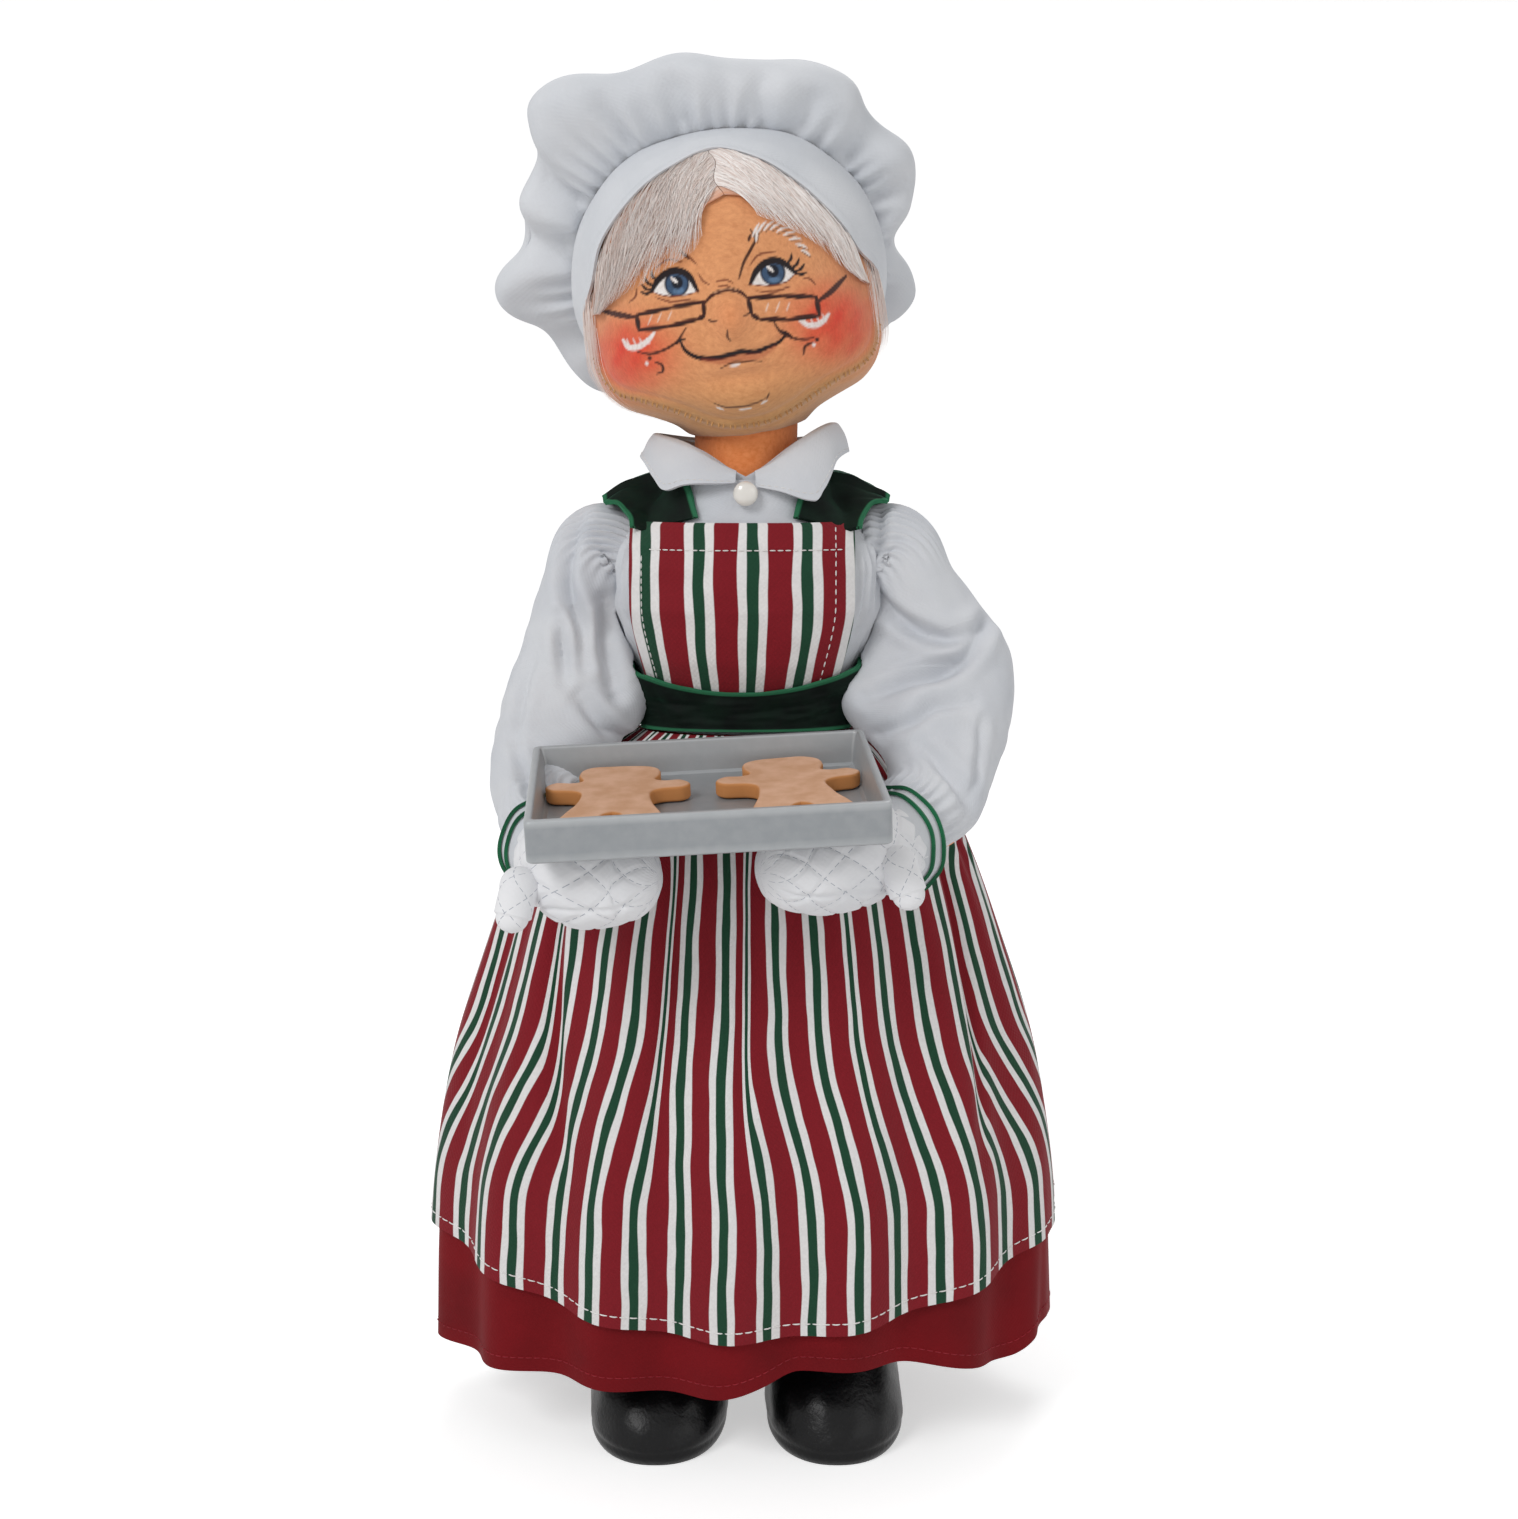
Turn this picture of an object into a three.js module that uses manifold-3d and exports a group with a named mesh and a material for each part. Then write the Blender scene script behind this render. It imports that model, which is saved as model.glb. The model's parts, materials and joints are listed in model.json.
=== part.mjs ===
// A posable felt cook doll in cap, striped apron and long skirt, holding a tray with two cookies.
// Units are millimetres. +Z is up, the doll faces -Y, and its own left side is +X.
import * as THREE from 'three';
import { mergeVertices } from 'three/addons/utils/BufferGeometryUtils.js';
import Module from 'manifold-3d';

const wasm = await Module();
wasm.setup();

// Driving sizes: fits and walls
const gap = 0.3;
const cottonWall = 1.0;
const ribbonWall = 1.1;
const wireRadius = 1.5;
const wireBore = wireRadius + gap;
const wireSides = 8;

// Driving sizes: heights of the joints and seams above the floor
const soleThickness = 3.5;
const bootTop = 58;
const hipPivotHeight = 168;
const waistHeight = 208;
const shoulderHeight = 252;
const neckRise = 8;
const neckBaseHeight = shoulderHeight + neckRise;
const neckLength = 27;
const headPivotHeight = neckBaseHeight + neckLength;

// Driving sizes: the body and its clothes
const shoulderOut = 39;
const shoulderBall = 9;
const armholeRadius = 12;
const sleeveHead = 14;
const hipOut = 14.5;
const hipY = 2;
const legRadius = 8.5;
const armRadius = 6.2;
const neckRadius = 14;
const neckY = 0;
const bootOut = 24.8;
const bibWidth = 56;
const bibTop = shoulderHeight + 7;
const ribbonWidth = 16;
const buttonDiameter = 6.5;
const skirtHem = 27;
const apronHemSide = 64;
const apronHemFront = 46;
const apronReach = 100;
const foldDepth = 2.6;
const foldCount = 14;

// Driving sizes: the arms, which share one elbow line and one wrist line
const elbowY = -4;
const elbowHeight = shoulderHeight - 38;
const wristY = -42;
const wristHeight = waistHeight - 26;
const elbowBall = 7.5;
const wristBall = 5.5;
const armReach = { left: { elbow: 59, wrist: 50, bag: 16.5 }, right: { elbow: 57, wrist: 54, bag: 14.5 } };

// Driving sizes: the tray, its cookies and the mitts under it
const trayWidth = 85;
const trayLength = 60;
const trayHeight = 10.5;
const trayWall = 2;
const trayFloor = 2;
const trayReach = 26;
const trayCentre = [-10, wristY - trayReach];
const trayRimHeight = wristHeight + 18.8;
const trayPitch = 8.1;
const trayRoll = -2;
const trayYaw = 3.8;
const originShift = 24.2;
const cookieSpan = 36;
const cookieLength = 43;
const cookieThickness = 4;
const cookieSpacing = 43;
const mittWidth = 25;
const mittThickness = 25;

// Driving sizes: the head, in its own frame with the pivot as origin
const headTilt = 7;
const headWireLength = 30;
const hairThickness = 2.6;
const capSeatY = 2;
const capSeatHeight = 35;
const capLean = 52;
const bandWidth = 11;
const crownRise = 33;
const crownWall = 1.8;

const up = new THREE.Vector3(0, 0, 1);
const degrees = THREE.MathUtils.degToRad;
const point = (x, y, z) => new THREE.Vector3(x, y, z);

// Materials in the photographed colours
const finish = (color, roughness, metalness = 0) =>
  new THREE.MeshStandardMaterial({ color, roughness, metalness });
const faceFelt = finish('#e8a06c', 0.95);
const bodyFelt = finish('#f08a4c', 0.95);
const whiteCotton = finish('#e4e6e9', 0.85);
const stripedCotton = finish('#9c5560', 0.85);
const redCotton = finish('#80101a', 0.8);
const velvet = finish('#0d2a1e', 0.7);
const fauxFur = finish('#ddd2d2', 0.8);
const leatherette = finish('#121214', 0.45);
const soleRubber = finish('#2a2a2c', 0.7);
const steelWire = finish('#8d9094', 0.35, 1);
const trayPaint = finish('#8e9193', 0.5, 0.3);
const cookieClay = finish('#cc9e7a', 0.75);
const pearl = finish('#e9e6df', 0.25);

// Smooth or straight line through rows of [station, value, value, ...], read at any station
function profile(rows, straight = false) {
  return (station) => {
    const last = rows.length - 1;
    if (station <= rows[0][0]) return rows[0].slice(1);
    if (station >= rows[last][0]) return rows[last].slice(1);
    const i = rows.findIndex((row) => row[0] > station) - 1;
    const [a, b] = [rows[i], rows[i + 1]];
    const before = rows[Math.max(i - 1, 0)];
    const after = rows[Math.min(i + 2, last)];
    const span = b[0] - a[0];
    const t = (station - a[0]) / span;
    if (straight) return a.slice(1).map((value, k) => value + (b[k + 1] - value) * t);
    return a.slice(1).map((value, k) => {
      const slopeIn = (b[k + 1] - before[k + 1]) / (b[0] - before[0] || 1) * span;
      const slopeOut = (after[k + 1] - value) / (after[0] - a[0] || 1) * span;
      const [t2, t3] = [t * t, t * t * t];
      return value * (2 * t3 - 3 * t2 + 1) + slopeIn * (t3 - 2 * t2 + t)
        + b[k + 1] * (3 * t2 - 2 * t3) + slopeOut * (t3 - t2);
    });
  };
}

// Evenly spaced numbers from first to last
const steps = (first, last, count) =>
  Array.from({ length: count + 1 }, (_, i) => first + (last - first) * i / count);

// A level ring round the body; a squareness over 2 fills its corners out
function ring(z, halfWidth, halfDepth, centreY = 0, count = 24, squareness = 2) {
  return steps(0, 2 * Math.PI, count).slice(0, count).map((angle) => {
    const [c, s] = [Math.cos(angle), Math.sin(angle)];
    const round = (v) => Math.sign(v) * Math.abs(v) ** (2 / squareness);
    return point(halfWidth * round(c), centreY + halfDepth * round(s), z);
  });
}

// Turns a mesh outward if its faces enclose a negative volume
function outward(vertices, faces) {
  let volume = 0;
  for (const [a, b, c] of faces) {
    volume += vertices[a].dot(vertices[b].clone().cross(vertices[c]));
  }
  const order = volume > 0 ? (f) => f : ([a, b, c]) => [a, c, b];
  const geometry = new THREE.BufferGeometry();
  const flat = vertices.flatMap((v) => [v.x, v.y, v.z]);
  geometry.setAttribute('position', new THREE.Float32BufferAttribute(flat, 3));
  geometry.setIndex(faces.flatMap(order));
  return geometry;
}

// A closed body over a stack of rings, with a fan over each end, or joined end to end
function skin(rings, joined = false) {
  const count = rings[0].length;
  const vertices = rings.flat();
  const faces = [];
  const rows = joined ? rings.length : rings.length - 1;
  for (let r = 0; r < rows; r += 1) {
    for (let i = 0; i < count; i += 1) {
      const a = r * count + i;
      const b = r * count + (i + 1) % count;
      const c = ((r + 1) % rings.length) * count + (i + 1) % count;
      const d = ((r + 1) % rings.length) * count + i;
      faces.push([a, b, c], [a, c, d]);
    }
  }
  if (!joined) {
    [0, rings.length - 1].forEach((r) => {
      const hub = vertices.length;
      vertices.push(rings[r].reduce((sum, v) => sum.add(v), point(0, 0, 0)).divideScalar(count));
      for (let i = 0; i < count; i += 1) {
        const [a, b] = [r * count + i, r * count + (i + 1) % count];
        faces.push(r === 0 ? [hub, b, a] : [hub, a, b]);
      }
    });
  }
  return outward(vertices, faces);
}

// A cloth of even wall on one side of a grid of points; around closes the rows into rings
function cloth(grid, wall, around = false, flip = 1) {
  const [rows, columns] = [grid.length, grid[0].length];
  const wrap = (i) => (around ? (i + columns) % columns : Math.min(Math.max(i, 0), columns - 1));
  const inner = grid.map((row, r) => row.map((v, i) => {
    const along = row[wrap(i + 1)].clone().sub(row[wrap(i - 1)]);
    const down = grid[Math.min(r + 1, rows - 1)][i].clone().sub(grid[Math.max(r - 1, 0)][i]);
    return v.clone().addScaledVector(along.cross(down).normalize(), wall * flip);
  }));
  if (around) return skin([...grid, ...inner.reverse()], true);
  const vertices = [...grid.flat(), ...inner.flat()];
  const faces = [];
  const quad = (a, b, c, d) => faces.push([a, b, c], [a, c, d]);
  const at = (r, i) => r * columns + i;
  const behind = (r, i) => rows * columns + at(r, i);
  for (let r = 0; r < rows - 1; r += 1) {
    for (let i = 0; i < columns - 1; i += 1) {
      quad(at(r, i), at(r, i + 1), at(r + 1, i + 1), at(r + 1, i));
      quad(behind(r, i), behind(r + 1, i), behind(r + 1, i + 1), behind(r, i + 1));
    }
    quad(at(r, 0), at(r + 1, 0), behind(r + 1, 0), behind(r, 0));
    quad(at(r, columns - 1), behind(r, columns - 1), behind(r + 1, columns - 1), at(r + 1, columns - 1));
  }
  for (let i = 0; i < columns - 1; i += 1) {
    quad(at(0, i), behind(0, i), behind(0, i + 1), at(0, i + 1));
    quad(at(rows - 1, i), at(rows - 1, i + 1), behind(rows - 1, i + 1), behind(rows - 1, i));
  }
  return outward(vertices, faces);
}

// Manifold solids for cutting and joining
function solid(geometry) {
  const bare = geometry.clone();
  bare.deleteAttribute('normal');
  bare.deleteAttribute('uv');
  const merged = mergeVertices(bare, 1e-5);
  return new wasm.Manifold(new wasm.Mesh({
    numProp: 3,
    vertProperties: new Float32Array(merged.attributes.position.array),
    triVerts: new Uint32Array(merged.index.array),
  }));
}

function geometryOf(body) {
  const { vertProperties, triVerts } = body.getMesh();
  const geometry = new THREE.BufferGeometry();
  geometry.setAttribute('position', new THREE.Float32BufferAttribute(vertProperties, 3));
  geometry.setIndex(Array.from(triVerts));
  return geometry;
}

const cut = (geometry, ...tools) =>
  geometryOf(tools.reduce((body, tool) => body.subtract(solid(tool)), solid(geometry)));
const join = (geometry, ...others) =>
  geometryOf(others.reduce((body, other) => body.add(solid(other)), solid(geometry)));

const ball = (centre, radius, sides = 14) =>
  new THREE.SphereGeometry(radius, sides, sides * 0.6).rotateX(Math.PI / 2)
    .translate(centre.x, centre.y, centre.z);

// A straight round bar or cone from one point to another
function bar(from, to, startRadius, endRadius = startRadius, sides = 12) {
  const along = to.clone().sub(from);
  const geometry = new THREE.CylinderGeometry(endRadius, startRadius, along.length(), sides);
  const turn = new THREE.Quaternion().setFromUnitVectors(point(0, 1, 0), along.clone().normalize());
  const middle = from.clone().add(to).divideScalar(2);
  return geometry.applyQuaternion(turn).translate(middle.x, middle.y, middle.z);
}

// Rings square to a curve through the given points; each station is [share, width, height]
function tubeRings(points, stations, sides) {
  const curve = new THREE.CatmullRomCurve3(points, false, 'centripetal');
  return stations.map(([share, halfWidth, halfHeight]) => {
    const centre = curve.getPointAt(share);
    const along = curve.getTangentAt(share);
    const side = along.clone().cross(point(0, 1, 0.35)).normalize();
    const rise = side.clone().cross(along).normalize();
    return steps(0, 2 * Math.PI, sides).slice(0, sides).map((angle) => centre.clone()
      .addScaledVector(side, halfWidth * Math.cos(angle))
      .addScaledVector(rise, halfHeight * Math.sin(angle)));
  });
}

const doll = new THREE.Group();

function piece(name, geometry, material, parent = doll) {
  const mesh = new THREE.Mesh(geometry, material);
  mesh.name = name;
  parent.add(mesh);
  return mesh;
}

const sides = { left: 1, right: -1 };
const neckBase = point(0, neckY, neckBaseHeight);
const headPivot = point(0, neckY, headPivotHeight);
const shoulderPoint = (s) => point(s * shoulderOut, 0, shoulderHeight);
const hipPoint = (s) => point(s * hipOut, hipY, hipPivotHeight);

// Stuffed torso: [height, half width, half depth]
const torsoSize = profile([
  [hipPivotHeight - 1, 21, 14],
  [hipPivotHeight + 6, 28.5, 20],
  [hipPivotHeight + 18, 28.5, 20.5],
  [waistHeight - 8, 24.6, 18.6],
  [waistHeight, 24.2, 18.3],
  [waistHeight + 16, 29, 21],
  [shoulderHeight - 8, 33.5, 21.5],
  [shoulderHeight, 33, 20],
  [shoulderHeight + 5, 28, 18],
  [neckBaseHeight, 22, 16],
]);
const torsoHeights = [-1, 2, 7, 18].map((rise) => hipPivotHeight + rise)
  .concat([-8, 0, 16].map((rise) => waistHeight + rise))
  .concat([-8, 0, 4].map((rise) => shoulderHeight + rise), neckBaseHeight);
const torsoForm = skin(torsoHeights.map((z) => ring(z, ...torsoSize(z), 0, 20)));
const spineFoot = point(0, neckY, hipPivotHeight - 8);
const sockets = Object.values(sides).flatMap((s) => [
  ball(shoulderPoint(s), shoulderBall + gap),
  ball(hipPoint(s), legRadius + 1 + gap),
]);
const spineBore = bar(spineFoot, neckBase, wireBore, wireBore, wireSides);
piece('torso', cut(torsoForm, ball(neckBase, neckRadius + gap, 20), spineBore, ...sockets), bodyFelt);
piece('spine_wire', bar(point(0, neckY, hipPivotHeight), point(0, neckY, neckBaseHeight - neckRadius - 1),
  wireRadius, wireRadius, wireSides), steelWire);

// Blouse: [height, half width, half depth], a cotton shell with a round armhole on each side
const collarOpening = neckRadius + 4.4;
const blouseSquareness = 2.3;
const blouseRows = [
  [waistHeight - 8, 26.4, 20.2],
  [waistHeight + 3, 26.4, 20.4],
  [waistHeight + 14, 30.8, 23.8],
  [shoulderHeight - 16, 35.6, 26.5],
  [shoulderHeight - 5, 36.4, 25.5],
  [shoulderHeight + 1, 35, 23.8],
  [shoulderHeight + 5, 32, 22],
  [shoulderHeight + 9, 27, 20.2],
  [shoulderHeight + 13, 22.5, 20],
  [shoulderHeight + 18, collarOpening + cottonWall, collarOpening + cottonWall],
];
const blouseHeights = blouseRows.map(([z]) => z);
const blouseSize = profile(blouseRows, true);
const blouseRing = (z, grow = 0, count = 28) => {
  const [halfWidth, halfDepth] = blouseSize(z);
  return ring(z, halfWidth + grow, halfDepth + grow, 0, count, blouseSquareness);
};
const blouseShell = cloth(blouseHeights.map((z) => blouseRing(z)), cottonWall, true, -1);
const armholes = Object.values(sides).map((s) => ball(shoulderPoint(s), armholeRadius));
piece('blouse', cut(blouseShell, ...armholes), whiteCotton);

// Depth of the blouse's front or back at a place across the body
function blouseReach(x, z, grow) {
  const [halfWidth, halfDepth] = blouseSize(z);
  const across = Math.min(Math.abs(x) / (halfWidth + grow), 0.98);
  return (halfDepth + grow) * (1 - across ** blouseSquareness) ** (1 / blouseSquareness);
}

// Apron bib: a sheet over the chest whose lower edge runs under the waistband
const bibLift = gap + 0.6 + cottonWall;
const bibHeights = [waistHeight - 2, ...blouseHeights.filter((z) => z > waistHeight && z < bibTop), bibTop];
const bibForm = bibHeights.map((z) => {
  const half = Math.min(bibWidth / 2, blouseSize(z)[0] - 0.6);
  return steps(-half, half, 12).map((x) => point(x, -blouseReach(x, z, bibLift), z));
});
piece('apron_bib', cloth(bibForm, cottonWall, false, -1), stripedCotton);

// Waistband: a velvet ribbon over the blouse and the foot of the bib
const bandHeights = [waistHeight - 4, waistHeight, waistHeight + ribbonWidth - 8, waistHeight + ribbonWidth - 4];
const waistLift = bibLift + gap + 0.7 + ribbonWall;
piece('waistband', cloth(bandHeights.map((z) => blouseRing(z, waistLift)), ribbonWall, true, -1), velvet);

// Shoulder straps: velvet ribbons from the bib's corners over the shoulders to the back waist
function strapPoint(x, turn, lift) {
  const centre = point(x, 0, shoulderHeight - 12);
  const direction = point(0, -Math.cos(turn), Math.sin(turn));
  const outside = (reach) => {
    const p = centre.clone().addScaledVector(direction, reach);
    const [halfWidth, halfDepth] = blouseSize(p.z);
    const level = (Math.abs(x) / (halfWidth + lift)) ** blouseSquareness
      + (Math.abs(p.y) / (halfDepth + lift)) ** blouseSquareness;
    return level > 1 || p.z > shoulderHeight + 18 + lift;
  };
  let [near, far] = [0, 60];
  for (let i = 0; i < 40; i += 1) {
    const middle = (near + far) / 2;
    if (outside(middle)) far = middle;
    else near = middle;
  }
  return centre.addScaledVector(direction, near);
}

const strapNear = collarOpening + cottonWall + 0.8;
const strapFar = strapNear + 10;
// Strap edges: [turn from the front over the shoulder, inner edge, outer edge]
const strapEdges = profile([
  [44, 28.5 - ribbonWidth, 28.5], [66, 17, 30.2], [80, strapNear, strapFar], [102, strapNear, strapFar],
  [125, 14, 29], [207, 9, 9 + ribbonWidth],
]);
const strapTurns = [44, 52, 60, 68, 77, 86, 95, 105, 115, 125, 137, 150, 170, 190, 207];
for (const [name, s] of Object.entries(sides)) {
  const grid = strapTurns.map((turn) => steps(...strapEdges(turn), 4).map((x) =>
    strapPoint(s * x, degrees(turn), bibLift + gap)));
  piece(`strap_${name}`, cloth(grid, ribbonWall, false, s), velvet);
}

// Collar: a stand round the neck and two pointed leaves that meet at the front
const standRadius = collarOpening - 0.4;
const frontAngle = (a) => (1 - Math.cos(a)) / 2;
const standTop = (a) => shoulderHeight + 22 + 6.5 * frontAngle(a);
const around = (a, radius, z) => point(radius * Math.sin(a), neckY - radius * Math.cos(a), z);
const standAngles = steps(0, 2 * Math.PI, 24).slice(0, 24);
const standRows = [0, 0.5, 1].map((share) => standAngles.map((a) => {
  const foot = shoulderHeight + 16;
  return around(a, standRadius, foot + (standTop(a) - foot) * share);
}));
piece('collar_stand', cloth(standRows, cottonWall, true, -1), whiteCotton);
const leafWidth = profile([[8, 13], [30, 12], [90, 10.5], [180, 10]]);
for (const [name, s] of Object.entries(sides)) {
  const leafRows = [0, 0.5, 1].map((share) => steps(9, 178, 12).map((turn) => {
    const a = degrees(turn);
    const spread = leafWidth(turn)[0] * share;
    const drop = 0.85 * spread + 1.5 * share * share;
    return around(s * a, standRadius + cottonWall + gap + 0.8 * spread + 0.9, standTop(a) + 0.6 - drop);
  }));
  piece(`collar_${name}`, cloth(leafRows, cottonWall, false, -s), whiteCotton);
}

// Pearl button below the collar's opening
const buttonHeight = shoulderHeight + 14.5;
const buttonPearl = new THREE.SphereGeometry(buttonDiameter / 2, 12, 6).scale(1, 0.5, 1)
  .translate(0, -blouseReach(0, buttonHeight, gap + buttonDiameter / 4 + 0.2), buttonHeight);
piece('pearl_button', buttonPearl, pearl);

// Skirts: [height, half width, half depth]; folds deepen toward the hem
const skirtTop = waistHeight - 5;
const waistFit = blouseSize(skirtTop).map((half) => half + gap + cottonWall);
const skirtSize = profile([
  [skirtHem, 89.5, 52],
  [65, 88, 52.5],
  [90, 85, 51.5],
  [115, 80, 49.5],
  [140, 71.8, 46],
  [hipPivotHeight - 2, 62, 41.5],
  [hipPivotHeight + 12, 54.5, 37],
  [waistHeight - 18, 43.5, 31],
  [waistHeight - 9, 34, 25],
  [skirtTop, ...waistFit],
]);
function skirtPoint(a, z, lift) {
  const [halfWidth, halfDepth] = skirtSize(z);
  const share = Math.min((skirtTop - z) / (skirtTop - skirtHem), 1);
  const fold = foldDepth * share ** 0.7 * Math.cos(foldCount * a + 1.2 * Math.sin(2 * a) + share);
  const depth = lift + fold - foldDepth * share ** 0.7;
  const power = 2 / (2 + (blouseSquareness - 2) * (1 - share) ** 4);
  const round = (v) => Math.sign(v) * Math.abs(v) ** power;
  return point((halfWidth + depth) * round(Math.sin(a)), -(halfDepth + depth) * round(Math.cos(a)), z);
}
const skirtShares = [0, 0.08, 0.18, 0.32, 0.52, 0.76, 1];
const skirtAngles = steps(0, 2 * Math.PI, 56).slice(0, 56);
const redRows = skirtShares.map((share) => skirtAngles.map((a) =>
  skirtPoint(a, skirtTop + (skirtHem - skirtTop) * share, 0)));
piece('red_skirt', cloth(redRows, cottonWall, true, 1), redCotton);
const apronLift = gap + 1.1 + cottonWall;
const apronHem = (a) => apronHemFront + (apronHemSide - apronHemFront) * Math.sin(Math.min(Math.abs(a), Math.PI / 2)) ** 2;
const apronRows = skirtShares.map((share) => steps(-apronReach, apronReach, 32).map((turn) => {
  const a = degrees(turn);
  return skirtPoint(a, skirtTop + (apronHem(a) - skirtTop) * share, apronLift);
}));
piece('apron_skirt', cloth(apronRows, cottonWall, false, 1), stripedCotton);

// Neck: a felt column with a round end in the torso and another in the head
const neckColumn = join(
  bar(neckBase, headPivot, neckRadius, neckRadius, 20),
  ball(neckBase, neckRadius, 20),
  ball(headPivot, neckRadius, 20),
);
const wireBall = 2 * wireRadius;
const tiltRoom = bar(headPivot, headPivot.clone().addScaledVector(up, neckRadius + 2), wireBore,
  wireBore + (neckRadius + 2) * Math.tan(degrees(24)));
const neckBore = bar(neckBase.clone().addScaledVector(up, -neckRadius - 2), headPivot, wireBore, wireBore,
  wireSides);
piece('neck', cut(neckColumn, tiltRoom, neckBore, ball(headPivot, wireBall + gap, 12)), bodyFelt);
piece('neck_wire', bar(neckBase.clone().addScaledVector(up, 1 - neckRadius),
  headPivot.clone().addScaledVector(up, -wireBall - 1), wireRadius, wireRadius, wireSides), steelWire);

// Head frame: the pivot is its origin, and it leans to the doll's right
const head = new THREE.Group();
head.position.copy(headPivot);
head.rotation.y = degrees(-headTilt);
doll.add(head);
const origin = point(0, 0, 0);
piece('head_wire', join(ball(origin, wireBall, 12), bar(origin, point(0, 0, headWireLength), wireRadius,
  wireRadius, wireSides)),
  steelWire, head);

// Felt head: [height, half width, front, back]
const headSize = profile([
  [-6.6, 5, 8, 8],
  [-5, 13, 18, 16],
  [0, 20, 25.5, 22],
  [6, 32.5, 29.5, 26],
  [14, 38, 31.5, 28.5],
  [22, 38.6, 32.5, 29.5],
  [34, 37.6, 33, 30],
  [46, 35, 31.5, 29],
  [56, 30.5, 28, 27],
  [64, 23.5, 22.5, 22],
  [70, 14.5, 14, 14],
  [73, 5, 5, 5],
]);
const headHeights = [-6.6, -5, -2.5, 1, 6, 12, 18, 26, 34, 42, 50, 57, 63, 68, 71, 73];
function headReach(angle, z, grow = 0) {
  const [halfWidth, front, back] = headSize(z);
  const [c, s] = [Math.cos(angle), Math.sin(angle)];
  return point((halfWidth + grow) * c, ((s < 0 ? front : back) + grow) * s, z);
}
const headForm = skin(headHeights.map((z) =>
  steps(0, 2 * Math.PI, 28).slice(0, 28).map((angle) => headReach(angle, z))));
const neckRoom = bar(point(0, 0, 0.5), point(0, 0, -14), neckRadius + gap, neckRadius + 6, 20);
const headSocket = ball(origin, neckRadius + gap, 20);
const headBore = bar(origin, point(0, 0, headWireLength + 1), wireBore, wireBore, wireSides);
const felt = cut(headForm, headSocket, neckRoom, headBore);
piece('head', felt, faceFelt, head);

// How far a ray from a point goes before it leaves the head
function headRay(from, direction, grow) {
  const outside = (reach) => {
    const p = from.clone().addScaledVector(direction, reach);
    if (p.z < -6.6 - grow || p.z > 73 + grow) return true;
    const [halfWidth, front, back] = headSize(p.z);
    return Math.hypot(p.x / (halfWidth + grow), p.y / ((p.y < 0 ? front : back) + grow)) > 1;
  };
  let [near, far] = [0, 70];
  for (let i = 0; i < 40; i += 1) {
    const middle = (near + far) / 2;
    if (outside(middle)) far = middle;
    else near = middle;
  }
  return from.clone().addScaledVector(direction, near);
}

// Cap frame: a leaning plane through the hairline, with across, forward and out directions
const capSeat = point(0, capSeatY, capSeatHeight);
const capOut = point(0, Math.sin(degrees(capLean)), Math.cos(degrees(capLean)));
const capForward = point(0, -Math.cos(degrees(capLean)), Math.sin(degrees(capLean)));
const capPoint = (a, radius, w) => capSeat.clone()
  .addScaledVector(point(1, 0, 0), radius * Math.cos(a))
  .addScaledVector(capForward, radius * Math.sin(a))
  .addScaledVector(capOut, w);
function capOnHead(a, w, grow) {
  const centre = capSeat.clone().addScaledVector(capOut, w);
  const direction = point(Math.cos(a), 0, 0).addScaledVector(capForward, Math.sin(a));
  return headRay(centre, direction, grow);
}

// Hat band: a smooth strip round the head behind the hairline
const bandLift = hairThickness + 2 * gap + 0.5 + cottonWall;
const capAngles = (count) => steps(0, 2 * Math.PI, count).slice(0, count);
const bandShares = [0, 0.35, 0.7, 1];
const bandRows = bandShares.map((share) => capAngles(32).map((a) =>
  capOnHead(a, (share - 0.25) * bandWidth, bandLift)));
piece('hat_band', cloth(bandRows, cottonWall, true, 1), whiteCotton, head);

// Hat crown: a full puffed pouch; its outline is [angle round the cap, reach from its centre]
const crownOutline = [
  [-26, 58], [-4, 48], [20, 58.5], [38, 56], [52, 62], [86, 59], [108, 63], [133, 72],
  [146, 60], [164, 60], [187, 68], [203, 61], [224, 62], [244, 62], [270, 56], [302, 55],
];
const crownCurve = new THREE.CatmullRomCurve3(crownOutline.map(([turn, reach]) =>
  point(reach * Math.cos(degrees(turn)), reach * Math.sin(degrees(turn)), 0)), true, 'centripetal');
const crownRim = crownCurve.getSpacedPoints(42).slice(0, 42);
const gatherHeight = 0.75 * bandWidth + gap + 0.5;
const crownStations = [0, 0.12, 0.28, 0.46, 0.64, 0.82, 1];
function crownRow(share, inset = 0) {
  return crownRim.map((rim) => {
    const a = Math.atan2(rim.y, rim.x);
    const seam = capOnHead(a, gatherHeight, bandLift + gap);
    const seamRadius = Math.hypot(seam.x, seam.clone().sub(capSeat).dot(capForward));
    const reach = Math.hypot(rim.x, rim.y);
    const swell = new THREE.CubicBezierCurve3(
      point(seamRadius - inset, 0, gatherHeight + inset),
      point(reach * 1.12 - inset, 0, gatherHeight - 9 + inset),
      point(reach * 1.1 - inset, 0, crownRise - inset),
      point(reach * 0.3, 0, crownRise + 2 - inset),
    ).getPoint(share);
    return capPoint(a, swell.x, swell.z);
  });
}
const crownForm = skin(crownStations.map((share) => crownRow(share)));
const crownHollow = skin(crownStations.map((share) => crownRow(share, crownWall)));
const crownFit = gap + 0.3;
const headRoom = skin(headHeights.map((z, i) => capAngles(28).map((angle) => {
  const ends = { 0: -crownFit, [headHeights.length - 1]: crownFit };
  return headReach(angle, z, crownFit).add(point(0, 0, ends[i] ?? 0));
})));
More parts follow.
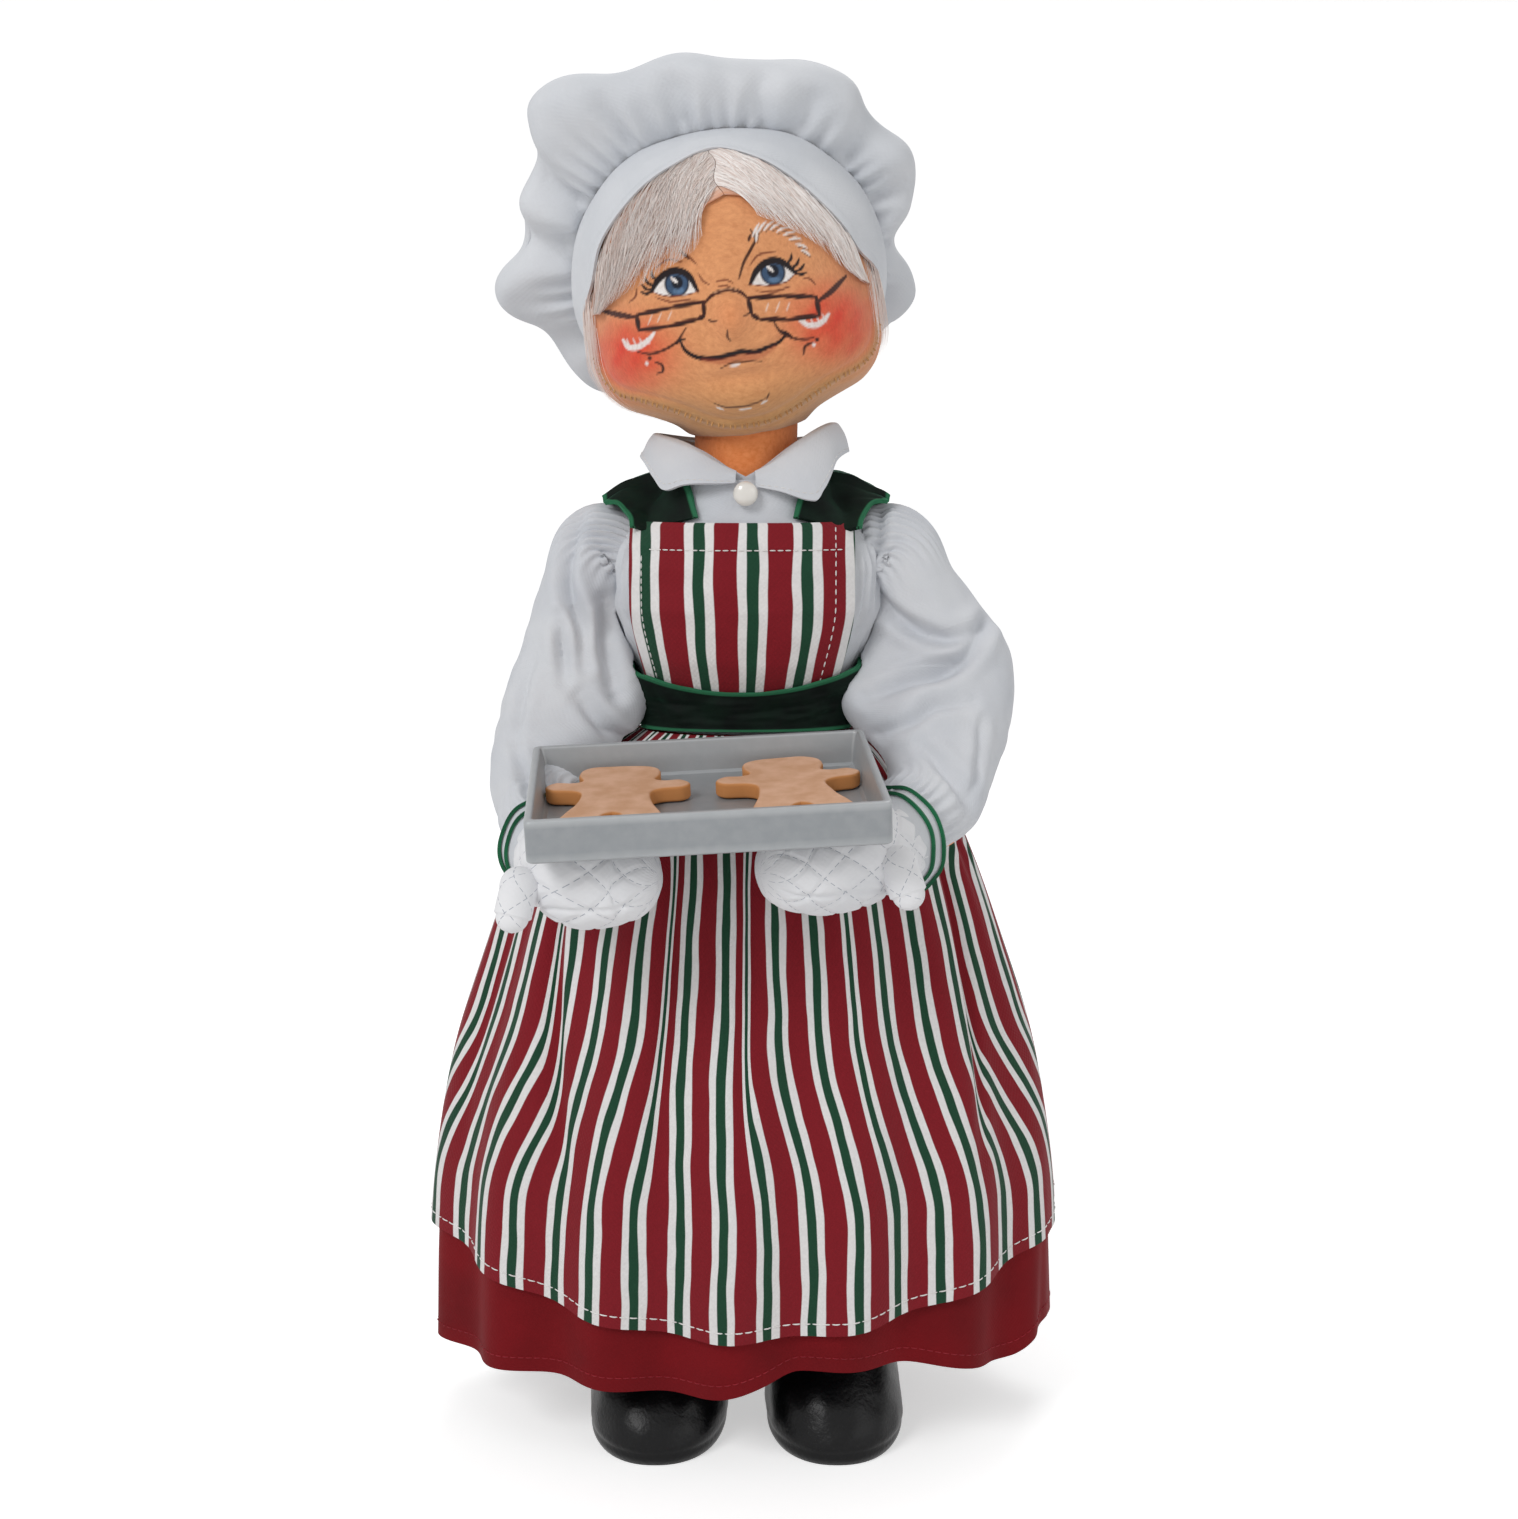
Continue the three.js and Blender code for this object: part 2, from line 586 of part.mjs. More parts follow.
const bandRoom = skin([-0.45, 0.1, 0.45, 0.8].map((share) => capAngles(28).map((a) =>
  capOnHead(a, share * bandWidth, bandLift + gap))));
piece('hat_crown', cut(crownForm, crownHollow, headRoom, bandRoom), whiteCotton, head);

// Hair: two locks that part at the middle and sweep to the temples; edges are [across, lower, upper]
const hairEdge = profile([
  [0.6, 55.5, 67.5], [7, 52.5, 66], [14, 46, 62], [22, 40, 56], [29, 34.5, 49], [34.5, 27, 42],
]);
for (const [name, s] of Object.entries(sides)) {
  const hairRows = [0, 0.33, 0.66, 1].map((share) => steps(0.6, 34.5, 9).map((across) => {
    const [lower, upper] = hairEdge(across);
    const target = point(s * across * 1.04, -30, lower + (upper - lower) * share);
    const from = point(0, capSeatY, capSeatHeight);
    return headRay(from, target.sub(from).normalize(), gap + 0.4 + hairThickness);
  }));
  piece(`hair_${name}`, cloth(hairRows, hairThickness, false, -s), fauxFur, head);
}

// Tray frame: its origin is the middle of the rim, and the front edge dips toward the viewer
const trayFrame = new THREE.Group();
trayFrame.position.set(...trayCentre, trayRimHeight);
trayFrame.rotation.set(degrees(trayPitch), degrees(trayRoll), degrees(trayYaw));
doll.add(trayFrame);
doll.updateMatrixWorld(true);
const trayBlock = (grow) => new THREE.BoxGeometry(trayWidth + 2 * grow, trayLength + 2 * grow,
  trayHeight + 2 * grow).translate(0, 0, -trayHeight / 2);
const trayHollow = skin([
  [trayWidth / 2 - trayWall, trayLength / 2 - trayWall, 1],
  [trayWidth / 2 - trayWall - 1.2, trayLength / 2 - trayWall - 1.2, trayFloor - trayHeight],
].map(([x, y, z]) => [point(-x, -y, z), point(x, -y, z), point(x, y, z), point(-x, y, z)]));
piece('tray', cut(trayBlock(0), trayHollow), trayPaint, trayFrame);

// Cookies: gingerbread outlines, head toward the doll, arms out
function cookieOutline() {
  const [armTip, legFoot, crown] = [cookieSpan / 2, -cookieLength / 2, cookieLength / 2];
  const half = [
    [4, crown - 0.6], [7.3, crown - 4.5], [6.8, crown - 10], [4.6, crown - 13.5], [8, crown - 14.5],
    [armTip - 3, crown - 15], [armTip, crown - 18], [armTip - 2.5, crown - 21.5], [9, crown - 22.5],
    [8.6, crown - 29], [12, legFoot + 6], [12.6, legFoot + 1.8], [9, legFoot], [5.5, legFoot + 1.5],
    [2.6, legFoot + 9],
  ];
  const outline = [[0, crown], ...half, [0, legFoot + 11], ...half.map(([x, y]) => [-x, y]).reverse()];
  return new THREE.Shape(outline.map(([x, y]) => new THREE.Vector2(x, y)));
}
for (const [name, s] of Object.entries(sides)) {
  const biscuit = new THREE.ExtrudeGeometry(cookieOutline(), { depth: cookieThickness, bevelEnabled: false })
    .rotateZ(s * degrees(4))
    .translate(s * cookieSpacing / 2, 1, trayFloor - trayHeight + gap);
  piece(`cookie_${name}`, biscuit, cookieClay, trayFrame);
}

// Arms: a felt upper arm and forearm on each side, each with its wire, and one sleeve over both
const trayInverse = trayFrame.matrixWorld.clone().invert();
for (const [name, s] of Object.entries(sides)) {
  const shoulder = shoulderPoint(s);
  const elbow = point(s * armReach[name].elbow, elbowY, elbowHeight);
  const wrist = point(s * armReach[name].wrist, wristY, wristHeight);
  const upperDirection = elbow.clone().sub(shoulder).normalize();
  const lowerDirection = wrist.clone().sub(elbow).normalize();

  const upperArm = join(bar(shoulder, elbow, armRadius, armRadius - 0.7),
    ball(shoulder, shoulderBall), ball(elbow, elbowBall, 12));
  const upperBore = bar(shoulder.clone().addScaledVector(upperDirection, -shoulderBall - 1),
    elbow.clone().addScaledVector(upperDirection, elbowBall + 1), wireBore, wireBore, wireSides);
  piece(`${name}_upper_arm`, cut(upperArm, upperBore), bodyFelt);
  piece(`${name}_upper_arm_wire`, bar(shoulder.clone().addScaledVector(upperDirection, 1 - shoulderBall),
    elbow.clone().addScaledVector(upperDirection, elbowBall - 1), wireRadius, wireRadius, wireSides), steelWire);

  const forearm = join(bar(elbow, wrist, armRadius - 0.3, wristBall - 0.3), ball(wrist, wristBall, 12));
  const forearmBore = bar(elbow, wrist.clone().addScaledVector(lowerDirection, wristBall + 1), wireBore,
    wireBore, wireSides);
  piece(`${name}_forearm`, cut(forearm, ball(elbow, elbowBall + gap, 12), forearmBore), bodyFelt);
  piece(`${name}_forearm_wire`, bar(elbow.clone().addScaledVector(lowerDirection, elbowBall + gap),
    wrist.clone().addScaledVector(lowerDirection, wristBall - 1), wireRadius, wireRadius, wireSides), steelWire);

  const sleevePath = [
    shoulder.clone().add(point(-s * 9, 0, 2)),
    shoulder.clone().add(point(s * 1, 0, 0.5)),
    shoulder.clone().lerp(elbow, 0.34).add(point(s * 3, 0, 3)),
    shoulder.clone().lerp(elbow, 0.66).add(point(s * 1, 0, 3)),
    elbow.clone().add(point(-s * 3, -2, 2)),
    elbow.clone().lerp(wrist, 0.42).add(point(-s * 0.5, 1, -2)),
    elbow.clone().lerp(wrist, 0.8),
  ];
  const { bag } = armReach[name];
  const stations = [[0, 12.4, 12.4], [0.1, sleeveHead, sleeveHead], [0.22, sleeveHead, sleeveHead],
    [0.36, bag - 0.8, 15], [0.48, bag, 15], [0.6, bag - 0.5, 14], [0.74, 13, 12.6], [0.87, 10.8, 10.6],
    [1, 8.4, 8.2]];
  const sleeveForm = cloth(tubeRings(sleevePath, stations, 16), cottonWall, true, 1);
  const bodice = skin(blouseHeights.map((z) => blouseRing(z, gap)));
  piece(`${name}_sleeve`, cut(sleeveForm, bodice), whiteCotton);

  // Mitt: a stuffed mitten, palm up under the tray, with its thumb to the outside
  const wristInTray = wrist.clone().applyMatrix4(trayInverse);
  const under = -trayHeight - mittThickness / 2 + 1.5;
  const tip = point(s * 12, -15, under);
  const palm = point(s * 31, -8, under);
  const mittPath = [wristInTray.clone().add(point(s * 3, 5, 3)), wristInTray.clone().lerp(palm, 0.45), palm,
    palm.clone().lerp(tip, 0.6), tip];
  const mittStations = [[0, 9.4, 9.4], [0.16, 9.6, 9.4], [0.34, 10.5, mittThickness / 2 - 0.5],
    [0.55, mittWidth / 2, mittThickness / 2], [0.75, mittWidth / 2 - 0.4, mittThickness / 2 - 0.4],
    [0.9, mittWidth / 2 - 3, mittThickness / 2 - 2.5], [1, 3.5, 3]];
  const mittForm = skin(tubeRings(mittPath, mittStations, 12));
  const thumbRoot = palm.clone().add(point(s * 2, -6, 1));
  const thumb = join(bar(thumbRoot, thumbRoot.clone().add(point(s * 9, -7, 0)), 5.5, 4.6, 12),
    ball(thumbRoot.clone().add(point(s * 9, -7, 0)), 4.6, 12));
  const entry = lowerDirection.clone().transformDirection(trayInverse).negate();
  const wristRoom = [
    ball(wristInTray, wristBall + gap, 12),
    bar(wristInTray, wristInTray.clone().addScaledVector(entry, 24), wristBall + gap, 17),
  ];
  piece(`${name}_mitt`, cut(join(mittForm, thumb), trayBlock(gap), ...wristRoom), whiteCotton, trayFrame);
}

// Legs: a felt leg with its wire, a bell-toed boot and its sole
const bootSize = profile([
  [soleThickness + gap, 18.6, 27, -14], [10, 19.4, 28, -14], [18, 18.6, 25.5, -12.6], [28, 16.4, 20.5, -9.6],
  [40, 13.8, 15.4, -6], [bootTop, 12.8, 13.6, -4],
]);
const bootHeights = [soleThickness + gap, 6, 10, 18, 28, 40, bootTop];
const ankleHeight = 22;
for (const [name, s] of Object.entries(sides)) {
  const hip = hipPoint(s);
  const ankle = point(s * bootOut, -4, ankleHeight);
  const legDirection = ankle.clone().sub(hip).normalize();
  const legBore = bar(hip.clone().addScaledVector(legDirection, -legRadius - 2),
    ankle.clone().addScaledVector(legDirection, 2), wireBore, wireBore, wireSides);
  const leg = join(bar(hip, ankle, legRadius), ball(hip, legRadius + 1));
  piece(`${name}_leg`, cut(leg, legBore), bodyFelt);
  piece(`${name}_leg_wire`, bar(hip.clone().addScaledVector(legDirection, 1 - legRadius),
    ankle.clone().addScaledVector(legDirection, -1), wireRadius, wireRadius, wireSides), steelWire);
  const bootForm = skin(bootHeights.map((z) => {
    const [halfWidth, halfLength, centreY] = bootSize(z);
    return ring(z, halfWidth, halfLength, centreY, 24, 2.2).map((p) => p.add(point(s * bootOut, 0, 0)));
  }));
  const legRoom = bar(hip, ankle.clone().addScaledVector(legDirection, gap), legRadius + gap);
  piece(`${name}_boot`, cut(bootForm, legRoom), leatherette);
  const soleRings = [[0, 0], [soleThickness, 0.4]].map(([z, grow]) =>
    ring(z, 19 + grow, 27.6 + grow, -14, 24, 2.2).map((p) => p.add(point(s * bootOut, 0, 0))));
  piece(`${name}_sole`, skin(soleRings), soleRubber);
}

// The origin is on the floor under the middle of the whole doll, tray included
doll.position.set(0, originShift, 0);

export default doll;
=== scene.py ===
# %% [markdown]
# # A posable felt cook doll with a tray of cookies
# The doll is about 377 mm tall: a stuffed felt body over a wire armature, a painted felt
# head, a gathered cotton cap, a white blouse, a striped apron over a long red skirt, quilted
# oven mitts, a painted tray and shiny boots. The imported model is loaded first. It fixes where
# every piece goes, and each piece made below rides on one of its bodies.

# %% Load the frame
import json
import bpy
import numpy as np
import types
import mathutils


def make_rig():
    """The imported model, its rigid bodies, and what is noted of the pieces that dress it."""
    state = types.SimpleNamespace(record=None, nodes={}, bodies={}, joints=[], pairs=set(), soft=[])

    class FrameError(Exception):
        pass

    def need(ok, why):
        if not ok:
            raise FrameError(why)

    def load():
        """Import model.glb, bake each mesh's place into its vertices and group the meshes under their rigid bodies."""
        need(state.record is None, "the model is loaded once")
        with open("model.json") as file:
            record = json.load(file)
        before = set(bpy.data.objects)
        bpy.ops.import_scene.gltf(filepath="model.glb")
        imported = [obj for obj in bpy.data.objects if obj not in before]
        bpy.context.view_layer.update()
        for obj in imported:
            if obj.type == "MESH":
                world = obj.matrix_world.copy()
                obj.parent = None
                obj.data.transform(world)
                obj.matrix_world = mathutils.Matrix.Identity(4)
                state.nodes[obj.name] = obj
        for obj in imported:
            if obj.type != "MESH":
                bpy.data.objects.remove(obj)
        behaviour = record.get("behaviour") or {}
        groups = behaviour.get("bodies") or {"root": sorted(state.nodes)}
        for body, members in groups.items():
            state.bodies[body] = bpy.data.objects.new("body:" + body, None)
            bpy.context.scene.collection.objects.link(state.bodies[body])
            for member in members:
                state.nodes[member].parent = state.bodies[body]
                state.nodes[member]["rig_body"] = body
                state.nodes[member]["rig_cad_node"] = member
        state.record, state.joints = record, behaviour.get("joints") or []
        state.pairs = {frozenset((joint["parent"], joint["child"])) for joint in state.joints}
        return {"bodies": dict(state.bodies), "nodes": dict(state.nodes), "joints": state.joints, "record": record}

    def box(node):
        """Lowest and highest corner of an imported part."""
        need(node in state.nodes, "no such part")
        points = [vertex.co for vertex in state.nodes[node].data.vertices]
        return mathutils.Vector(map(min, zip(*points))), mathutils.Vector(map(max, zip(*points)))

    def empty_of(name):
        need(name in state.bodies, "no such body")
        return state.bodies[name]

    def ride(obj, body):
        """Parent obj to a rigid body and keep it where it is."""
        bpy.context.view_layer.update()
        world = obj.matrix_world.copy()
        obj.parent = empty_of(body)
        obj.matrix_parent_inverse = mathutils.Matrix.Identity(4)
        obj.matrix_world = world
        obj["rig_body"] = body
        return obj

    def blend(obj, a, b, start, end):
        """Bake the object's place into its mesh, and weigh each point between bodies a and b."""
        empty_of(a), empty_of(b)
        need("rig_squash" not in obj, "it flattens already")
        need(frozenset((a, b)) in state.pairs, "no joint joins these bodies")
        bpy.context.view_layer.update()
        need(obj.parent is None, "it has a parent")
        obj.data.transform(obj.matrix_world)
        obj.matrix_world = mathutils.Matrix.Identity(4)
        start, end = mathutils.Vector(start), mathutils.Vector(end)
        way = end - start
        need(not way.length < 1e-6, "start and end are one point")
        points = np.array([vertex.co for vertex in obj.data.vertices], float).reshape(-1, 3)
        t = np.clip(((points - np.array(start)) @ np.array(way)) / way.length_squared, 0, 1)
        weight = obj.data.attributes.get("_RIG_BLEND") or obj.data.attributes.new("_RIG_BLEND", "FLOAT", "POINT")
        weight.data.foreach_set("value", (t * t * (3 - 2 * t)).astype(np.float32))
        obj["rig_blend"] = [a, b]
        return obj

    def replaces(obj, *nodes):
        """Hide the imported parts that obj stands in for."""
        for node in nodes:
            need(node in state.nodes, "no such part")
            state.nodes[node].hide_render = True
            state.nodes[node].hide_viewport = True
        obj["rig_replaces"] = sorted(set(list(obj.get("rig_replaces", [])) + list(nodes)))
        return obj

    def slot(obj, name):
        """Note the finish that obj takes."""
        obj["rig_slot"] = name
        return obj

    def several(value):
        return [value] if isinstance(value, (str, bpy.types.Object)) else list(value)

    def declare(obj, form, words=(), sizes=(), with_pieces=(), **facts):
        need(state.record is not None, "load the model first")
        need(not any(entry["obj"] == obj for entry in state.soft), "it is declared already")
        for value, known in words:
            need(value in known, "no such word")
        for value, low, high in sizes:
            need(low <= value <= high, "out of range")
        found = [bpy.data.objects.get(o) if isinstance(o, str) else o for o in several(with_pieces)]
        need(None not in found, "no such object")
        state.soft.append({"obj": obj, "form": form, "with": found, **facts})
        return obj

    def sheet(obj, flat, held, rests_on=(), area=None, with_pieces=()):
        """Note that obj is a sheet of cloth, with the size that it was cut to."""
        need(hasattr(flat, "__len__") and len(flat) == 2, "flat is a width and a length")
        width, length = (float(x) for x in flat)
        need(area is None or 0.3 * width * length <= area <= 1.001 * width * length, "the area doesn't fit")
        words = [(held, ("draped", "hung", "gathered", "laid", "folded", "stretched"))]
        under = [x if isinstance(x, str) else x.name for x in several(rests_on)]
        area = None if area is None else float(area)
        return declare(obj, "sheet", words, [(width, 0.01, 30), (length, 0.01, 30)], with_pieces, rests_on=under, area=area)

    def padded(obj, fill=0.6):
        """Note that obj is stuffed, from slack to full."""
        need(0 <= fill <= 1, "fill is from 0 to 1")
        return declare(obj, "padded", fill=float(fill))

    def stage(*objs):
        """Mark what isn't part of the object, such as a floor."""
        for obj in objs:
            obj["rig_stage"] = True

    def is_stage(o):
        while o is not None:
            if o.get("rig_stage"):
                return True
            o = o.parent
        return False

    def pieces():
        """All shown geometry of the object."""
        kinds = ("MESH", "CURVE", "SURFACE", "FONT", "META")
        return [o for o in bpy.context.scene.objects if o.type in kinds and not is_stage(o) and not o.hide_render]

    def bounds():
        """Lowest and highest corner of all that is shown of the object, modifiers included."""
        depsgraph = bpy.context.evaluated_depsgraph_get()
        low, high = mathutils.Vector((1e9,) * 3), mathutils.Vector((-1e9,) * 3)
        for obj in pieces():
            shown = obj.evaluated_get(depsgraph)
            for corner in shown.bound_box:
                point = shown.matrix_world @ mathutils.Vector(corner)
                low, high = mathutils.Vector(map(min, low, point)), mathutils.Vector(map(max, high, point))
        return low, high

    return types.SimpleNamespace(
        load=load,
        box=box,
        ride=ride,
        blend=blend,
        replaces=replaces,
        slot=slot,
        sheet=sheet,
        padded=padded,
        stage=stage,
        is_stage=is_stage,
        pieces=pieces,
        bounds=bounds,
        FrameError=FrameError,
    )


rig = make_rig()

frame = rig.load()
cad_box = [list(corner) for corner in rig.bounds()]
print("bodies:", ", ".join(frame["bodies"]))

# %% [markdown]
# ## Units and shared sizes
# All shapes are worked out in millimetres in the doll's own frame: x is across, y is depth
# with the face toward -y, and z is the height over the floor. The doll's upright axis lies
# behind the origin, because the tray reaches out in front. The torso's box says how far.

# %% Driving sizes
MM = 0.001
torso_low, torso_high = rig.box("torso")
AXIS_Y = (torso_low.y + torso_high.y) / 2 / MM
WAIST = 208.0
SHOULDER = 252.0
HIP = 168.0
NECK_BASE = 260.0
HEAD_PIVOT = 287.0
SKIRT_TOP = 203.0
SKIRT_HEM = 27.0
GAP = 0.3
COTTON = 1.0
RIBBON = 1.1
SIDES = {"left": 1, "right": -1}
print("the doll's axis lies at y =", round(AXIS_Y, 1), "mm")

# %% [markdown]
# ## The tray's frame and the arms' points
# The tray lies in both mitts, turned a little on each axis. Its own frame has its origin in
# the middle of the rim. The arms run through three points each: shoulder, elbow and wrist.

# %% Tray frame
TRAY_WIDTH, TRAY_LENGTH, TRAY_HEIGHT, TRAY_WALL, TRAY_FLOOR = 85.0, 60.0, 10.5, 2.0, 2.0
TRAY_CENTRE = np.array([-10.0, -68.0, 200.8])
pitch, roll, yaw = np.radians([8.1, -2.0, 3.8])
turn_x = np.array([[1, 0, 0], [0, np.cos(pitch), -np.sin(pitch)], [0, np.sin(pitch), np.cos(pitch)]])
turn_y = np.array([[np.cos(roll), 0, np.sin(roll)], [0, 1, 0], [-np.sin(roll), 0, np.cos(roll)]])
turn_z = np.array([[np.cos(yaw), -np.sin(yaw), 0], [np.sin(yaw), np.cos(yaw), 0], [0, 0, 1]])
TRAY_TURN = turn_x @ turn_y @ turn_z


def from_tray(points):
    """Turns points of the tray's frame, whose origin is the rim's middle, into the doll's frame."""
    return points @ TRAY_TURN.T + TRAY_CENTRE


def to_tray(points):
    """The reverse of from_tray."""
    return (points - TRAY_CENTRE) @ TRAY_TURN


arm_points = {"left": ((39, 0, SHOULDER), (59, -4, 214), (50, -42, 182)),
              "right": ((-39, 0, SHOULDER), (-57, -4, 214), (-54, -42, 182))}
MITT_WIDTH, MITT_THICK = 25.0, 25.0
under_tray = -TRAY_HEIGHT - MITT_THICK / 2 + 1.5
print("the rim's middle is at", TRAY_CENTRE)

# %% [markdown]
# ## Small tools for shapes
# Each form is a grid of points made by array formulas. A profile reads a smooth curve
# through a short table of sections, a ripple gives the soft unevenness of cloth, and a patch
# is the closed skin of one grid: points, faces and the place of each face corner on the cloth.

# %% Curves and reliefs
def profile(rows, straight=False):
    """Values between the rows of a table, by cubic curves through them or by straight lines."""
    table = np.array(rows, float)
    at, values = table[:, 0], table[:, 1:]
    last = len(at) - 1

    def read(station):
        s = np.clip(np.asarray(station, float), at[0], at[-1])
        i = np.clip(np.searchsorted(at, s, side="right") - 1, 0, last - 1)
        before, after = np.maximum(i - 1, 0), np.minimum(i + 2, last)
        span = (at[i + 1] - at[i])[..., None]
        t = (s - at[i])[..., None] / span
        a, b = values[i], values[i + 1]
        if straight:
            return a + (b - a) * t
        slope_in = (b - values[before]) / (at[i + 1] - at[before])[..., None] * span
        slope_out = (values[after] - a) / (at[after] - at[i])[..., None] * span
        curve = a * (2 * t**3 - 3 * t**2 + 1) + b * (3 * t**2 - 2 * t**3)
        return curve + slope_in * (t**3 - 2 * t**2 + t) + slope_out * (t**3 - t**2)
    return read


def ease(low, high, x):
    """0 below low, 1 above high, and an even S-curve between them."""
    t = np.clip((x - low) / (high - low), 0, 1)
    return t * t * (3 - 2 * t)


def bell(x, centre, width):
    """1 at the centre, falling off to both sides as a bell curve."""
    return np.exp(-((x - centre) / width) ** 2)


def ripple(seed, points, size, waves=14):
    """Soft random relief of about -1 to 1: a sum of sine waves near one length, mixed in direction."""
    rng = np.random.default_rng(seed)
    directions = rng.normal(size=(waves, points.shape[-1]))
    directions /= np.linalg.norm(directions, axis=1, keepdims=True)
    rates = 2 * np.pi / size * rng.uniform(0.7, 1.3, waves)
    phases = rng.uniform(0, 2 * np.pi, waves)
    return np.sin(points @ (directions * rates[:, None]).T + phases).sum(-1) / np.sqrt(2 * waves)


def unit(vectors):
    """Vectors of length 1."""
    return vectors / np.maximum(np.linalg.norm(vectors, axis=-1, keepdims=True), 1e-9)


def length_along(path):
    """The length of a line of points from its start to each point."""
    return np.concatenate([[0], np.cumsum(np.linalg.norm(np.diff(path, axis=0), axis=1))])


def halve(near, far, past):
    """Closes in on an edge between two places by 40 halvings; past tells which places lie beyond it."""
    for _ in range(40):
        middle = (near + far) / 2
        beyond = past(middle)
        far = np.where(beyond, middle, far)
        near = np.where(beyond, near, middle)
    return near, far


def distance(points, line):
    """Distance from each point to a line of short steps, and the share of its length there."""
    line = np.asarray(line, float)
    lengths = np.linalg.norm(np.diff(line, axis=0), axis=1)
    before = np.concatenate([[0], np.cumsum(lengths)])
    best = np.full(points.shape[:-1], 1e9)
    share = np.zeros(points.shape[:-1])
    for i, length in enumerate(lengths):
        step = line[i + 1] - line[i]
        t = np.clip((points - line[i]) @ step / length**2, 0, 1)
        reach = np.linalg.norm(points - line[i] - t[..., None] * step, axis=-1)
        nearer = reach < best
        best = np.where(nearer, reach, best)
        share = np.where(nearer, (before[i] + t * length) / before[-1], share)
    return best, share


def spline(points, count):
    """Evenly spaced points on a centripetal Catmull-Rom curve through the given points."""
    p = np.array(points, float)
    p = np.vstack([2 * p[0] - p[1], p, 2 * p[-1] - p[-2]])
    knots = np.sqrt(np.linalg.norm(np.diff(p, axis=0), axis=1))
    before, here, after = knots[:-2, None], knots[1:-1, None], knots[2:, None]
    a, b = p[1:-2], p[2:-1]
    leave = ((a - p[:-3]) / before - (b - p[:-3]) / (before + here) + (b - a) / here) * here
    arrive = ((b - a) / here - (p[3:] - a) / (here + after) + (p[3:] - b) / after) * here
    t = np.linspace(0, 1, 40, endpoint=False)[None, :, None]
    a, b, leave, arrive = (v[:, None, :] for v in (a, b, leave, arrive))
    curve = a * (2 * t**3 - 3 * t**2 + 1) + b * (3 * t**2 - 2 * t**3)
    curve = curve + leave * (t**3 - 2 * t**2 + t) + arrive * (t**3 - t**2)
    fine = np.vstack([curve.reshape(-1, p.shape[1]), p[-2]])
    run = length_along(fine)
    wanted = np.linspace(0, run[-1], count)
    return np.stack([np.interp(wanted, run, axis) for axis in fine.T], -1)


print("a ripple at one spot:", round(float(ripple(1, np.zeros((1, 3)), 10)[0]), 2))

# %% Skins over grids of points
def normals(points, around, core):
    """Directions square to a grid, turned so that they point away from the core."""
    if around:
        across = np.roll(points, -1, 1) - np.roll(points, 1, 1)
    else:
        across = np.gradient(points, axis=1)
    square = unit(np.cross(across, np.gradient(points, axis=0)))
    return square * turned(points, square, core)


def turned(points, square, core):
    """1 where a grid's own normals already point away from the core, and -1 where they don't."""
    return 1 if np.sum(square * (points - core)) > 0 else -1


def quads(rows, columns, around):
    """Corner numbers of the faces of a grid, with its rows and columns."""
    r = np.arange(rows - 1)[:, None]
    c = np.arange(columns if around else columns - 1)[None, :]
    following = (c + 1) % columns
    corners = [r * columns + c, r * columns + following, (r + 1) * columns + following, (r + 1) * columns + c]
    return np.stack(corners, -1).reshape(-1, 4)


def corner_uv(uv):
    """The uv of each face corner of a grid."""
    corners = [uv[:-1, :-1], uv[:-1, 1:], uv[1:, 1:], uv[1:, :-1]]
    return np.stack(corners, 2).reshape(-1, 4, 2)


def lengths_uv(points, around, width=None):
    """Each point's place on the cloth in mm: across by the row's length, down by the columns' mean."""
    closed = np.concatenate([points, points[:, :1]], 1) if around else points
    across = np.linalg.norm(np.diff(closed, axis=1), axis=2).cumsum(1)
    across = np.concatenate([np.zeros((len(points), 1)), across], 1)
    if width:
        across = across / across[:, -1:] * width
    down = np.linalg.norm(np.diff(points, axis=0), axis=2).mean(1).cumsum()
    down = np.concatenate([[0], down])
    return np.stack([across, np.broadcast_to(down[:, None], across.shape)], -1)


